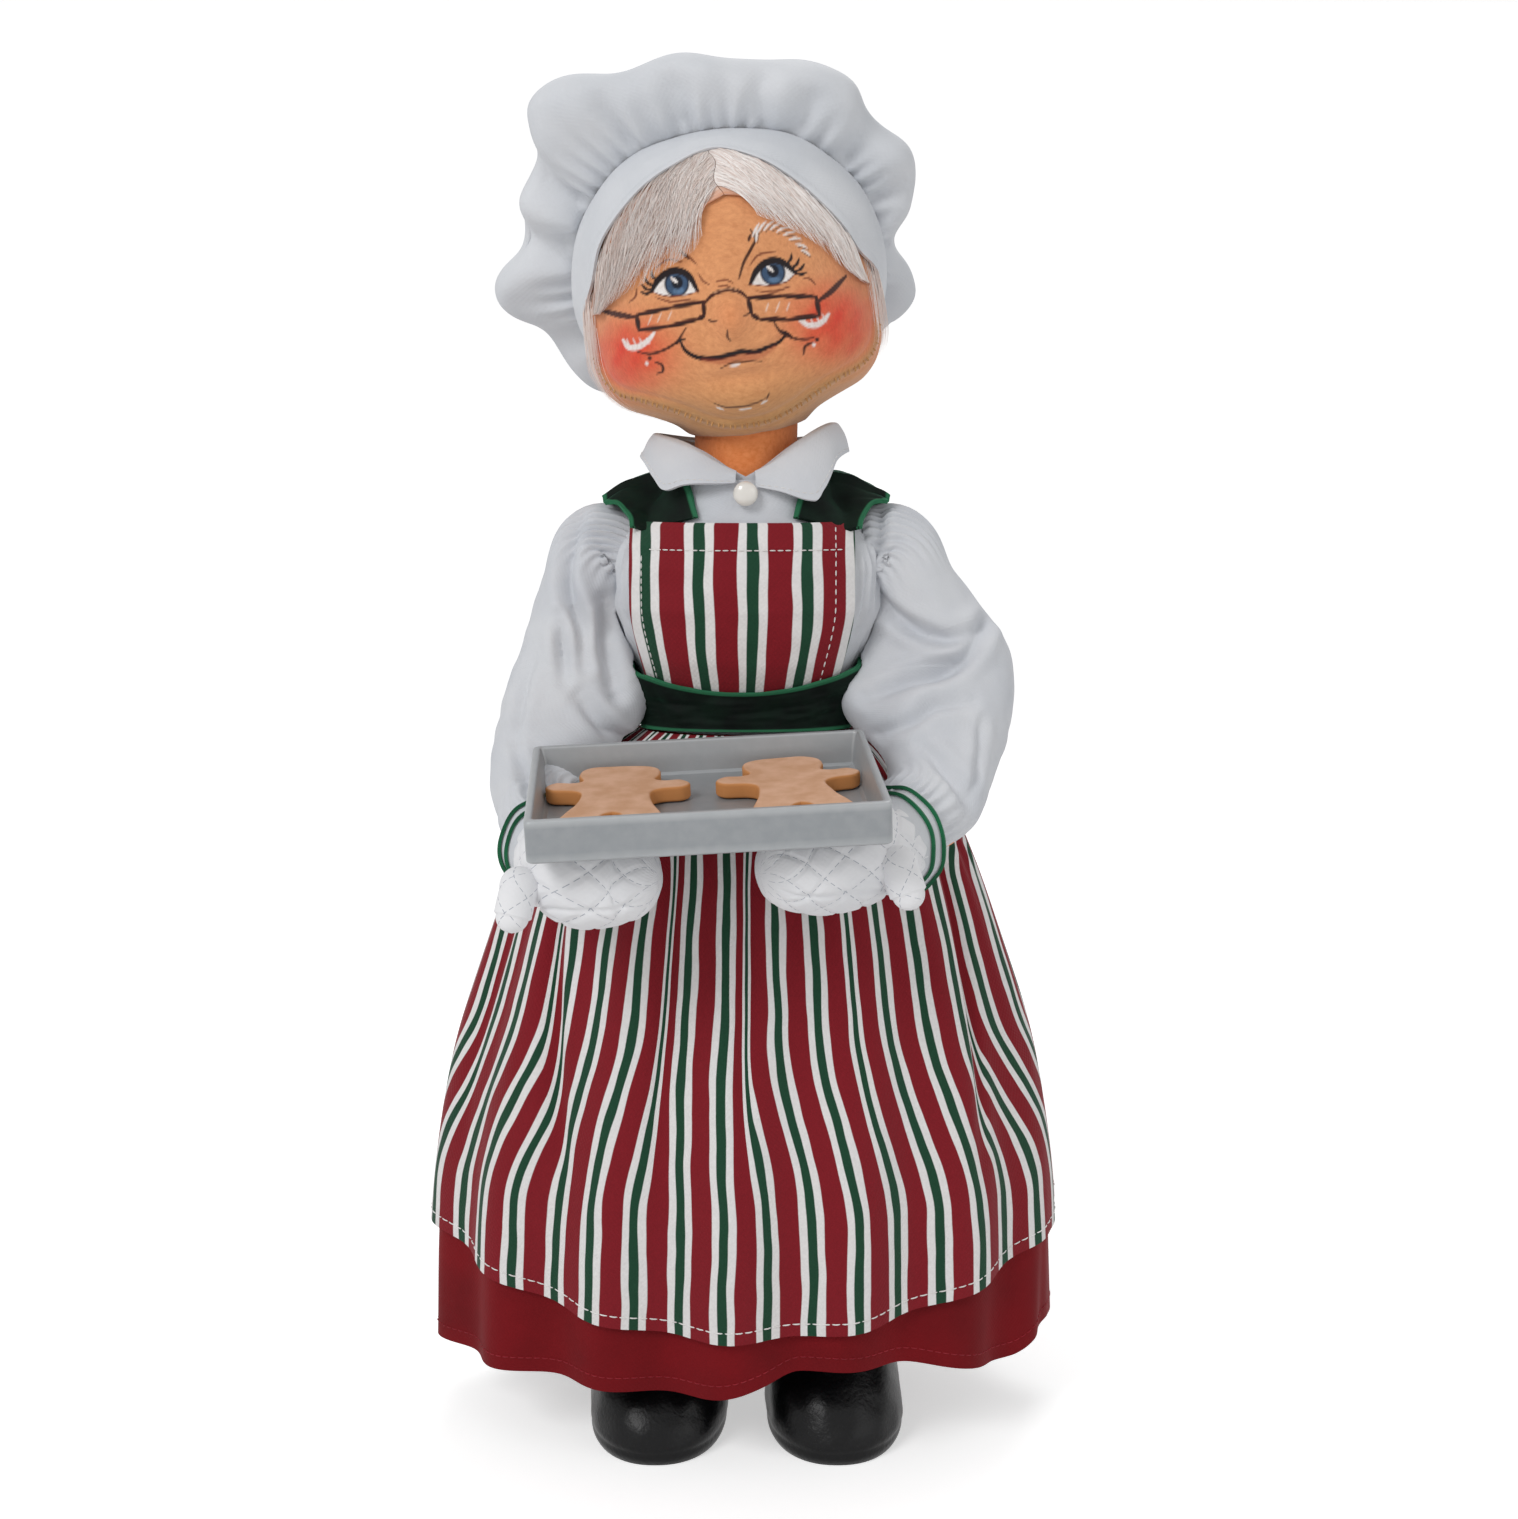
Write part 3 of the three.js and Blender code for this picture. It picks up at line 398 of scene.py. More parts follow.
def patch(points, around=False, wall=0.0, core=(0, 0, 0), uv=None, width=None, paint=None):
    """A closed skin. With a wall it is a sheet whose second face lies one wall further in, with
    its edges joined; without one it is a solid, whose first and last rows close to a point."""
    rows, columns = points.shape[:2]
    core = np.asarray(core, float)
    uv = lengths_uv(points, around, width) if uv is None else uv
    side = normals(points, around, core)
    across = np.roll(points, -1, 1) - np.roll(points, 1, 1) if around else np.gradient(points, axis=1)
    flip = turned(points, np.cross(across, np.gradient(points, axis=0)), core) < 0
    faces, corners = quads(rows, columns, around), corner_uv(uv)
    number = np.arange(rows * columns).reshape(rows, columns)
    ring = np.concatenate([number, number[:, :1]], 1) if around else number
    shades = None if paint is None else paint.reshape(rows * columns, -1)
    if wall:
        vertices = np.concatenate([points, points - side * wall]).reshape(-1, 3)
        back = ring + rows * columns
        rims = [(ring[0, 1:], ring[0, :-1], back[0, :-1], back[0, 1:], uv[0]),
                (ring[-1, :-1], ring[-1, 1:], back[-1, 1:], back[-1, :-1], uv[-1])]
        if not around:
            rims += [(ring[:-1, 0], ring[1:, 0], back[1:, 0], back[:-1, 0], uv[:, 0]),
                     (ring[1:, -1], ring[:-1, -1], back[:-1, -1], back[1:, -1], uv[:, -1])]
        all_faces = [faces, faces[:, ::-1] + rows * columns]
        all_corners = [corners, corners[:, ::-1]]
        for *edge, along in rims:
            all_faces.append(np.stack(edge, -1))
            all_corners.append(np.stack([along[:-1], along[1:], along[1:], along[:-1]], 1))
        shades = None if shades is None else np.concatenate([shades, shades])
    else:
        hubs = np.stack([points[0].mean(0), points[-1].mean(0)])
        vertices = np.concatenate([points.reshape(-1, 3), hubs])
        first, last = rows * columns, rows * columns + 1
        fans = [(np.full(columns, first), ring[0, 1:], ring[0, :-1]),
                (np.full(columns, last), ring[-1, :-1], ring[-1, 1:])]
        all_faces, all_corners = [faces], [corners]
        for (hub, a, b), along in zip(fans, (uv[0], uv[-1])):
            all_faces.append(np.stack([hub, a, b, np.full(columns, -1)], -1))
            spots = np.stack([along[:-1], along[:-1], along[1:], along[1:]], 1)
            all_corners.append(spots)
        if shades is not None:
            ends = np.stack([paint[0].reshape(columns, -1).mean(0), paint[-1].reshape(columns, -1).mean(0)])
            shades = np.concatenate([shades, ends])
    faces, corners = np.concatenate(all_faces), np.concatenate(all_corners)
    if flip:
        triangle = faces[:, 3:] < 0
        faces = np.where(triangle, faces[:, [0, 2, 1, 3]], faces[:, ::-1])
        corners = np.where(triangle[..., None], corners[:, [0, 2, 1, 3]], corners[:, ::-1])
    return vertices, faces, corners, shades


def tubes(centres, radii, up, sides=4):
    """Many thin closed tubes at once, with flat ends: centres and radii go by strand and station."""
    strands, stations = centres.shape[:2]
    along = unit(np.gradient(centres, axis=1))
    out = unit(np.cross(along, up))
    rise = np.cross(out, along)
    turn = 2 * np.pi * np.arange(sides) / sides
    spokes = out[:, :, None] * np.cos(turn)[:, None] + rise[:, :, None] * np.sin(turn)[:, None]
    rings = centres[:, :, None] + spokes * np.broadcast_to(radii, centres.shape[:2])[..., None, None]
    one = quads(stations, sides, True)
    ends = np.full((2, 4), -1)
    ends[0, :sides] = np.arange(sides)[::-1]
    ends[1, :sides] = np.arange(sides) + (stations - 1) * sides
    one = np.concatenate([one[:, ::-1], ends[:, ::-1] if sides == 4 else ends[:, [2, 1, 0, 3]]])
    offset = np.arange(strands)[:, None, None] * stations * sides
    faces = np.where(one < 0, -1, one + offset).reshape(-1, 4)
    run = np.linalg.norm(np.diff(centres, axis=1), axis=2).cumsum(1)
    run = np.concatenate([np.zeros((strands, 1)), run], 1)
    place = np.stack([np.broadcast_to(np.arange(strands)[:, None] * 1.7, run.shape), run], -1)
    place = np.broadcast_to(place[:, :, None], (strands, stations, sides, 2)).reshape(-1, 2)
    return rings.reshape(-1, 3), faces, place[np.maximum(faces, 0)], None


def threads(path, lift, count, length, radius, first=0.0):
    """Running stitches along a path: short threads that rise from the cloth at their middle."""
    run = length_along(path)
    middles = (np.arange(count) + 0.5 + first) / count * run[-1]
    at = middles[:, None] + np.linspace(-0.5, 0.5, 5) * length
    centres = np.stack([np.interp(at, run, axis) for axis in path.T], -1)
    out = unit(np.stack([np.interp(at, run, axis) for axis in lift.T], -1))
    rise = radius * np.array([-0.4, 0.5, 0.8, 0.5, -0.4])
    return tubes(centres + out * rise[:, None], radius * np.array([0.6, 1, 1, 1, 0.6]), out)


print("a sleeve-sized grid has", len(quads(90, 96, True)), "faces on each side")

# %% [markdown]
# ## Putting a piece into the scene
# The arrays go straight into a mesh, in metres, and the finished object stays at the origin.
# Patches of one piece may have different finishes, such as the white thread on a striped hem.
# A sharp turn, such as a cut edge, is marked by its angle, so the smooth parts stay smooth.

# %% One function for all new pieces
def in_scene(points):
    """Turns points of the doll's frame in mm into places in the scene in metres."""
    return (points + [0, AXIS_Y, 0]) * MM


def piece(name, parts, body=None, nodes=(), slot=None, crisp=50):
    """Joins patches, each with its finish, into one mesh on a body; it stands for the named nodes."""
    patches, finishes = zip(*parts)
    starts = np.cumsum([0] + [len(p[0]) for p in patches[:-1]])
    vertices = np.concatenate([p[0] for p in patches])
    faces = np.concatenate([np.where(p[1] < 0, -1, p[1] + s) for p, s in zip(patches, starts)])
    used = faces >= 0
    mesh = bpy.data.meshes.new(name)
    mesh.vertices.add(len(vertices))
    mesh.vertices.foreach_set("co", in_scene(vertices).ravel())
    mesh.loops.add(int(used.sum()))
    mesh.loops.foreach_set("vertex_index", faces[used])
    mesh.polygons.add(len(faces))
    mesh.polygons.foreach_set("loop_start", np.concatenate([[0], np.cumsum(used.sum(1))[:-1]]))
    mesh.update(calc_edges=True)
    spots = np.concatenate([p[2] for p in patches])
    mesh.uv_layers.new(name="cloth").uv.foreach_set("vector", spots[used].ravel())
    if any(p[3] is not None for p in patches):
        width = max(p[3].shape[1] for p in patches if p[3] is not None)
        blank = [np.ones((len(p[0]), width)) if p[3] is None else p[3] for p in patches]
        shade = np.concatenate(blank)
        shade = np.concatenate([shade, np.ones((len(shade), 4 - width))], 1)
        mesh.attributes.new("paint", "FLOAT_COLOR", "POINT").data.foreach_set("color", shade.ravel())
    kinds = list(dict.fromkeys(finishes))
    for kind in kinds:
        mesh.materials.append(kind)
    which = np.concatenate([np.full(len(p[1]), kinds.index(kind)) for p, kind in parts])
    mesh.polygons.foreach_set("material_index", which)
    mesh.shade_smooth()
    mesh.set_sharp_from_angle(angle=np.radians(crisp))
    obj = bpy.data.objects.new(name, mesh)
    bpy.context.scene.collection.objects.link(obj)
    if body:
        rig.ride(obj, body)
    if nodes:
        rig.replaces(obj, *nodes)
    if slot:
        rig.slot(obj, slot)
    print(name, "has", len(faces), "faces")
    return obj


# %% [markdown]
# ## Camera, light and floor
# The photograph was taken from in front, with the camera at about the height of the chin and
# turned down by about nine degrees. A soft key light from the upper left, a weaker fill and
# an even surrounding light keep colours near their written values. Only the camera and
# mirror-like reflections see the white of the backdrop; the floor still takes the shadow.

# %% Camera
camera_data = bpy.data.cameras.new("camera")
camera_data.sensor_fit = "VERTICAL"
camera_data.sensor_height = 36
camera_data.lens = 48.63
camera = bpy.data.objects.new("camera", camera_data)
camera.location = (0.0035, -0.5358, 0.285)
camera.rotation_euler = (np.radians(80.65), 0, 0)
bpy.context.scene.collection.objects.link(camera)
bpy.context.scene.camera = camera
bpy.context.scene.view_settings.view_transform = "Standard"
print("lens:", camera_data.lens, "mm")

# %% Node helper and colours
def paint(hexadecimal):
    """The linear colour of an sRGB hex value such as #8b1a26."""
    values = np.array([int(hexadecimal[i:i + 2], 16) for i in (1, 3, 5)]) / 255
    linear = np.where(values <= 0.04045, values / 12.92, ((values + 0.055) / 1.055) ** 2.4)
    return (*linear.tolist(), 1.0)


def output(source):
    """An output of a node, or a node's first output where the node itself is given."""
    return source.outputs[0] if isinstance(source, bpy.types.Node) else source


def add(tree, kind, links=None, values=None, stops=(), **settings):
    """Adds a node, makes its settings, sets inputs to values and links inputs to outputs. Stops are
    the places and colours of a ramp: its own two take the outer ones, and the rest are added."""
    node = tree.nodes.new("ShaderNode" + kind)
    for name, value in settings.items():
        setattr(node, name, value)
    for name, value in (values or {}).items():
        node.inputs[name].default_value = value
    for name, source in (links or {}).items():
        tree.links.new(output(source), node.inputs[name])
    for i, (position, colour) in enumerate((*stops[:1], *stops[:0:-1])):
        element = node.color_ramp.elements[i] if i < 2 else node.color_ramp.elements.new(position)
        element.position = position
        element.color = paint(colour)
    return node


def new_finish(name, **settings):
    """A material with a Principled shader; settings are inputs of the shader, such as Roughness."""
    material = bpy.data.materials.new(name)
    material.use_nodes = True
    tree = material.node_tree
    tree.nodes.clear()
    shader = add(tree, "BsdfPrincipled", values={key.replace("_", " "): v for key, v in settings.items()})
    add(tree, "OutputMaterial", {"Surface": shader})
    return material, tree, shader


def surface(tree, shader, colour, height, strength, depth):
    """Gives a shader its colour, and a relief of the depth in metres, from the outputs of nodes."""
    relief = add(tree, "Bump", {"Height": height}, {"Strength": strength, "Distance": depth})
    tree.links.new(output(colour), shader.inputs["Base Color"])
    tree.links.new(relief.outputs[0], shader.inputs["Normal"])


def speckle(tree, scale, detail):
    """Noise fixed to the piece itself; the scale counts its features in a metre."""
    place = add(tree, "TexCoord")
    return add(tree, "TexNoise", {"Vector": place.outputs["Object"]}, {"Scale": scale, "Detail": detail})


def cloth_place(tree):
    """The cloth's own uv in mm, and the same parted into across and down."""
    uv = add(tree, "UVMap", uv_map="cloth")
    return uv, add(tree, "SeparateXYZ", {0: uv})


def looked_at(tree):
    """1 for rays from the camera and for mirrored and clear ones, and 0 for all soft light."""
    path = add(tree, "LightPath")
    seen = add(tree, "Math", {0: path.outputs["Is Camera Ray"], 1: path.outputs["Is Glossy Ray"]},
               operation="MAXIMUM")
    seen = add(tree, "Math", {0: seen, 1: path.outputs["Is Transmission Ray"]},
               operation="MAXIMUM")
    return seen


print("white in linear light:", round(paint("#ffffff")[0], 3))

# %% Floor, surrounding light and lamps
backdrop, tree, shader = new_finish("white paper backdrop", Roughness=0.9, Specular_IOR_Level=0.1)
shader.inputs["Base Color"].default_value = paint("#f1f1f1")
glow = add(tree, "Math", {0: looked_at(tree)}, {1: 0.5}, operation="MULTIPLY")
shader.inputs["Emission Color"].default_value = (1, 1, 1, 1)
tree.links.new(glow.outputs[0], shader.inputs["Emission Strength"])

turn = np.linspace(0, np.pi / 2, 24)
sweep_radius, floor_front, floor_back, wall_top, half_floor = 400.0, -1600.0, 1500.0, 2600.0, 2600.0
wall_y = floor_back + sweep_radius
sweep_y = np.concatenate([[floor_front], floor_back + sweep_radius * np.sin(turn), [wall_y]])
sweep_z = np.concatenate([[0], sweep_radius * (1 - np.cos(turn)), [wall_top]])
sweep = np.stack([np.stack([np.full_like(sweep_y, x), sweep_y, sweep_z], -1)
                  for x in (-half_floor, half_floor)], 1)
floor = piece("floor", [(patch(sweep, wall=5.0, core=(0, -500.0, 9000.0)), backdrop)])
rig.stage(floor)

world = bpy.data.worlds.new("surround")
world.use_nodes = True
bpy.context.scene.world = world
tree = world.node_tree
tree.nodes.clear()
ambient = 0.46
level = add(tree, "Math", {0: looked_at(tree)}, {1: 1 - ambient, 2: ambient}, operation="MULTIPLY_ADD")
sky = add(tree, "Background", {"Strength": level}, {"Color": (1, 1, 1, 1)})
add(tree, "OutputWorld", {"Surface": sky})


def lamp(name, place, aim, size, power):
    """A square soft lamp that faces its aim; place and aim are in metres."""
    data = bpy.data.lights.new(name, "AREA")
    data.shape = "SQUARE"
    data.size = size
    data.energy = power
    obj = bpy.data.objects.new(name, data)
    obj.location = place
    facing = np.array(aim, float) - np.array(place, float)
    yaw = np.arctan2(facing[0], facing[1])
    pitch = np.arctan2(facing[2], np.hypot(facing[0], facing[1]))
    obj.rotation_euler = (np.pi / 2 + pitch, 0, -yaw)
    bpy.context.scene.collection.objects.link(obj)


lamp("key light", (-0.85, -1.1, 1.2), (0, 0, 0.2), 0.6, 10.5)
lamp("fill light", (1.1, -0.9, 0.6), (0, 0, 0.2), 0.9, 2.2)
lamp("top light", (0.2, 0.7, 1.5), (0, 0, 0.2), 0.8, 5)
print("lamps:", len(bpy.data.lights))

# %% [markdown]
# ## Woven cotton
# The blouse, cap, collar and sleeves are a smooth white broadcloth, the skirt the same cloth
# dyed red. Its threads are about 0.25 mm apart, too fine to show here, so the weave is drawn
# at 0.7 mm with a very low relief. Cotton is rough and has a faint sheen from its loose fibres.

# %% Cotton materials
def weave(tree, thread):
    """Height of a plain weave from the cloth's own uv in mm: a product of two sine waves."""
    uv, parts = cloth_place(tree)
    waves = []
    for axis in (0, 1):
        turns = add(tree, "Math", {0: parts.outputs[axis]}, {1: np.pi / thread}, operation="MULTIPLY")
        waves.append(add(tree, "Math", {0: turns}, operation="SINE"))
    height = add(tree, "Math", {0: waves[0], 1: waves[1]}, operation="MULTIPLY")
    return uv, parts, height


def cotton(name, light, dark, thread=0.7, sheen=0.12, **settings):
    """Broadcloth: a colour that drifts softly between light and dark, with weave in its relief."""
    material, tree, shader = new_finish(name, Roughness=0.82, Specular_IOR_Level=0.2,
                                        Sheen_Weight=sheen, Sheen_Roughness=0.5, **settings)
    height = weave(tree, thread)[2]
    drift = speckle(tree, 45, 3)
    shade = add(tree, "ValToRGB", {0: drift}, stops=((0.3, dark), (0.62, light)))
    slub = speckle(tree, 520, 4)
    rough = add(tree, "Math", {0: height, 1: slub}, {2: 0.5}, operation="MULTIPLY_ADD")
    surface(tree, shader, shade, rough, 0.35, 0.0001)
    return material


white_cotton = cotton("white cotton broadcloth", "#d8dade", "#cdd0d6")
# The cap's cloth is the same white cotton, painted a little lighter than the blouse's as painted light, since the band
# lies in the crown's shade.
lit_cap_cotton = cotton("white cotton cap cloth", "#dcdee2", "#d2d5da")
red_cotton = cotton("red dyed cotton", "#780913", "#68070f", sheen=0.02)
green_cord = cotton("green bias binding", "#1f6b46", "#134a30", thread=0.4)
white_thread = cotton("white sewing thread", "#efeeec", "#dcd9d6", thread=0.3)
red_thread = cotton("red sewing thread", "#a02531", "#7d1520", thread=0.3)
print("materials so far:", len(bpy.data.materials))

# %% Quilted cotton with stitched lines
def quilted(name, spacing):
    """White cotton with silver-grey running stitches on two sets of diagonals, spaced in mm."""
    material = cotton(name, "#f0f0f2", "#e6e7ea")
    tree = material.node_tree
    shader = next(node for node in tree.nodes if node.type == "BSDF_PRINCIPLED")
    plain = shader.inputs["Base Color"].links[0].from_socket
    parts = cloth_place(tree)[1]
    sums = [add(tree, "Math", {0: parts.outputs[1], 1: parts}, operation=kind)
            for kind in ("ADD", "SUBTRACT")]
    marks = []
    for here, other in (sums, sums[::-1]):
        turns = add(tree, "Math", {0: here}, {1: 1 / spacing}, operation="MULTIPLY")
        share = add(tree, "Math", {0: turns}, operation="FRACT")
        near = add(tree, "Math", {0: share}, {1: 0.028}, operation="LESS_THAN")
        count = add(tree, "Math", {0: other}, {1: 0.36}, operation="MULTIPLY")
        gap = add(tree, "Math", {0: count}, operation="FRACT")
        dash = add(tree, "Math", {0: gap}, {1: 0.62}, operation="LESS_THAN")
        marks.append(add(tree, "Math", {0: near, 1: dash}, operation="MULTIPLY"))
    both = add(tree, "Math", {0: marks[0], 1: marks[1]}, operation="MAXIMUM")
    tone = add(tree, "Mix", {0: both, 6: plain}, {7: paint("#b3b6bf")}, data_type="RGBA")
    tree.links.new(tone.outputs[2], shader.inputs["Base Color"])
    return material


QUILT = 9.0
quilted_cotton = quilted("quilted white cotton", QUILT)
print("lines of stitches are", QUILT, "mm apart")

# %% [markdown]
# ## Printed stripes
# The apron and its bib are white cotton printed with red and green stripes, about 13.6 mm
# from one red stripe to the next. Screen printing leaves slightly wavy edges, so the place
# across the cloth is pushed to and fro by a noise before the stripe is looked up.

# %% Striped cotton
STRIPE, WAVER = 13.6, 1.1


def striped(name):
    """Stripes across the cloth's uv: red, white, green and white in each period, with wavy edges."""
    material, tree, shader = new_finish(name, Roughness=0.82, Specular_IOR_Level=0.25,
                                        Sheen_Weight=0.1, Sheen_Roughness=0.5)
    uv, parts, height = weave(tree, 0.7)
    stretch = add(tree, "Mapping", {0: uv}, {"Scale": (0.11, 0.05, 1)})
    wander = add(tree, "TexNoise", {"Vector": stretch},
                 {"Scale": 1.0, "Detail": 1.5, "Roughness": 0.5})
    push = add(tree, "Math", {0: wander}, {1: 2 * WAVER, 2: -WAVER}, operation="MULTIPLY_ADD")
    across = add(tree, "Math", {0: parts, 1: push}, operation="ADD")
    period = add(tree, "Math", {0: across}, {1: 1 / STRIPE}, operation="MULTIPLY")
    share = add(tree, "Math", {0: period}, operation="FRACT")
    red, white, green = "#7e0f1c", "#e6e4e3", "#123f2a"
    bands = ((0.0, white), (0.05, white), (0.065, red), (0.515, red), (0.53, white), (0.68, white),
             (0.695, green), (0.885, green), (0.9, white))
    ramp = add(tree, "ValToRGB", {0: share}, stops=bands)
    drift = speckle(tree, 900, 3)
    worn = add(tree, "Math", {0: drift}, {1: 0.5, 2: 0.75}, operation="MULTIPLY_ADD")
    tone = add(tree, "Mix", {6: ramp, 7: worn}, {0: 0.35}, data_type="RGBA",
               blend_type="MULTIPLY")
    surface(tree, shader, tone.outputs[2], height, 0.3, 0.0001)
    return material


apron_cotton = striped("striped printed cotton")
bib_cotton = striped("striped printed cotton of the bib")
print("stripe period:", STRIPE, "mm")

# %% [markdown]
# ## Felt, velvet and fur
# Wool-mix felt is pressed, not woven, so it shows short fibres lying in all directions and a
# soft nap that brightens at grazing angles. Velvet ribbon drinks the light when seen face on
# and glows along its folds, which the sheen layer gives, and a painted sheen makes its edges paler.

# %% Felt materials
def felt(name, light, dark, painted=False):
    """Pressed felt: fibres as two stretched noises across each other, in colour and in relief."""
    material, tree, shader = new_finish(name, Roughness=0.95, Specular_IOR_Level=0.15,
                                        Sheen_Weight=0.3, Sheen_Roughness=0.6)
    place = add(tree, "TexCoord")
    fibres = []
    for turn_by, seed_scale in ((0.6, 1.0), (-0.9, 1.25)):
        turned_place = add(tree, "Mapping", {0: place.outputs["Object"]},
                           {"Rotation": (turn_by, turn_by * 0.7, turn_by * 1.3), "Scale": (1, 4.5, 1.6)})
        fibres.append(add(tree, "TexNoise", {"Vector": turned_place},
                          {"Scale": 420 * seed_scale, "Detail": 5, "Roughness": 0.7}))
    both = add(tree, "Math", {0: fibres[0], 1: fibres[1]}, operation="ADD")
    half = add(tree, "Math", {0: both}, {1: 0.5}, operation="MULTIPLY")
    shade = add(tree, "ValToRGB", {0: half}, stops=((0.36, dark), (0.6, light)))
    colour = shade
    if painted:
        brushed = add(tree, "Attribute", attribute_name="paint")
        tone = add(tree, "Mix", {6: brushed.outputs["Color"], 7: colour}, {0: 1.0}, data_type="RGBA",
                   blend_type="MULTIPLY")
        colour = tone.outputs[2]
    surface(tree, shader, colour, half, 0.6, 0.0003)
    return material


face_felt = felt("painted face felt", "#ffffff", "#e9dfd8", painted=True)
# The body felt is painted brighter than the felt's own orange, as painted light against the shade on the neck under
# the chin.
body_felt = felt("orange body felt", "#ffa163", "#ee8848")
seam_thread = cotton("tan seam thread", "#cf9d66", "#b98450", thread=0.3)
print("felts:", face_felt.name, "and", body_felt.name)

# %% Velvet ribbon and fur
def velvet_ribbon(name, width):
    """Pile ribbon: dark along the middle, with a painted sheen, a paler band about 1 mm wide, along both edges."""
    material, tree, shader = new_finish(name, Roughness=0.75, Specular_IOR_Level=0.15, Sheen_Weight=0.5,
                                        Sheen_Roughness=0.35, Sheen_Tint=paint("#3f8f6c"))
    parts = cloth_place(tree)[1]
    middle = add(tree, "Math", {0: parts}, {1: width / 2}, operation="SUBTRACT")
    off = add(tree, "Math", {0: middle}, operation="ABSOLUTE")
    # The paler band along both edges is painted sheen.
    edge = add(tree, "MapRange", {0: off}, {1: width / 2 - 1.2, 2: width / 2 - 0.7})
    nap = speckle(tree, 160, 4)
    pile = add(tree, "ValToRGB", {0: nap}, stops=((0.35, "#010604"), (0.7, "#06180f")))
    tone = add(tree, "Mix", {0: edge, 6: pile}, {7: paint("#2c6a4a")},
               data_type="RGBA")
    surface(tree, shader, tone.outputs[2], nap, 0.25, 0.0002)
    return material


RIBBON_WIDTH = 16.0
green_velvet = velvet_ribbon("green velvet ribbon", RIBBON_WIDTH)

faux_fur, tree, shader = new_finish("white mohair", Roughness=0.55, Specular_IOR_Level=0.4,
                                    Sheen_Weight=0.3, Sheen_Roughness=0.4)
uv = add(tree, "UVMap", uv_map="cloth")
streak = add(tree, "Mapping", {0: uv}, {"Scale": (2.4, 0.06, 1)})
strands = add(tree, "TexNoise", {"Vector": streak}, {"Scale": 1.0, "Detail": 3, "Roughness": 0.7})
tone = add(tree, "ValToRGB", {0: strands}, stops=((0.32, "#dcc6bb"), (0.58, "#fbf6f3")))
surface(tree, shader, tone, strands, 0.5, 0.0003)

hair_bed, tree, shader = new_finish("thin mohair over felt", Roughness=0.7, Specular_IOR_Level=0.2)
uv = add(tree, "UVMap", uv_map="cloth")
streak = add(tree, "Mapping", {0: uv}, {"Scale": (0.05, 1.7, 1), "Rotation": (0, 0, 0.35)})
strands = add(tree, "TexNoise", {"Vector": streak}, {"Scale": 1.0, "Detail": 4, "Roughness": 0.75})
tone = add(tree, "ValToRGB", {0: strands}, stops=((0.38, "#dd9a73"), (0.56, "#e6cfc2")))
tree.links.new(tone.outputs[0], shader.inputs["Base Color"])
print("ribbon:", RIBBON_WIDTH, "mm wide")

# %% [markdown]
# ## Hard finishes
# The tray is cast and sprayed silver grey, paler along its edges, with painted light that makes
# its inner walls and floor paler. The cookies are coloured clay with browned rims. The boots are
# glossy leatherette with a fine grain over a dull rubber sole, the button is a half pearl, and
# the armature is drawn steel wire.

# %% Tray, cookies, boots, pearl and wire
def mottled(name, light, dark, scale, bump, strength=0.4, **settings):
    """A solid colour that varies with a noise of the given scale, with a relief of bump metres."""
    material, tree, shader = new_finish(name, **settings)
    drift = speckle(tree, scale, 6)
    shade = add(tree, "ValToRGB", {0: drift}, stops=((0.35, dark), (0.65, light)))
    surface(tree, shader, shade, drift, strength, bump)
    return material, tree, shader, shade


def paler_over(made, colour):
    """Mixes a second colour over a mottled finish where the painted attribute is low; on the tray it is paler, on the
    edges and, as painted light, on the inner walls and floor.
    """
    material, tree, shader, shade = made
    place = add(tree, "Attribute", attribute_name="paint")
    tone = add(tree, "Mix", {0: place.outputs["Fac"], 7: shade}, {6: paint(colour)},
               data_type="RGBA")
    tree.links.new(tone.outputs[2], shader.inputs["Base Color"])
    return material


# The paler colour marks the tray's rounded edges, and as painted light its inner walls and floor.
tray_paint = paler_over(mottled("silver sprayed resin", "#95989b", "#8e9295", 330, 0.00012, Roughness=0.4,
                               Metallic=0.3), "#cfd1d2")
cookie_clay, tree, shader, shade = mottled("baked clay", "#dcb092", "#cc9d7b", 190, 0.0003, Roughness=0.7,
                                           Specular_IOR_Level=0.3)
facing = add(tree, "NewGeometry")
upward = add(tree, "SeparateXYZ", {0: facing.outputs["Normal"]})
level = add(tree, "MapRange", {0: upward.outputs[2]}, {1: 0.55, 2: 0.93})
tone = add(tree, "Mix", {0: level, 7: shade}, {6: paint("#c8874f")}, data_type="RGBA")
tree.links.new(tone.outputs[2], shader.inputs["Base Color"])
leatherette = mottled("black leatherette", "#0b0b0d", "#060607", 900, 0.00025, 0.5, Roughness=0.32,
                      Specular_IOR_Level=0.22)[0]
sole_rubber = mottled("dark sole rubber", "#3a3a3c", "#2a2a2c", 400, 0.0002, Roughness=0.75)[0]
pearl_plastic = mottled("pearl plastic", "#f0ede6", "#e2ded8", 120, 0.00002, Roughness=0.2,
                        Coat_Weight=0.6, Coat_Roughness=0.1)[0]
armature_wire = mottled("drawn steel wire", "#9a9da1", "#7f8286", 700, 0.00003, Roughness=0.35,
                        Metallic=1.0)[0]
print("materials:", len(bpy.data.materials))

# %% [markdown]
# ## The stuffed felt body
# Torso, limbs and neck are sewn felt tubes filled with polyester, drawn over the wires. They
# are hardly seen, except the neck, but they carry the clothes, so each is a soft round form
# in the space that its solid holds, with a felt surface. The wires keep their own meshes.

# %% Rings and limbs
def round_power(value, power):
    """A sine or cosine raised to a power with its sign kept, which fills out a ring's corners."""
    return np.sign(value) * np.abs(value) ** power


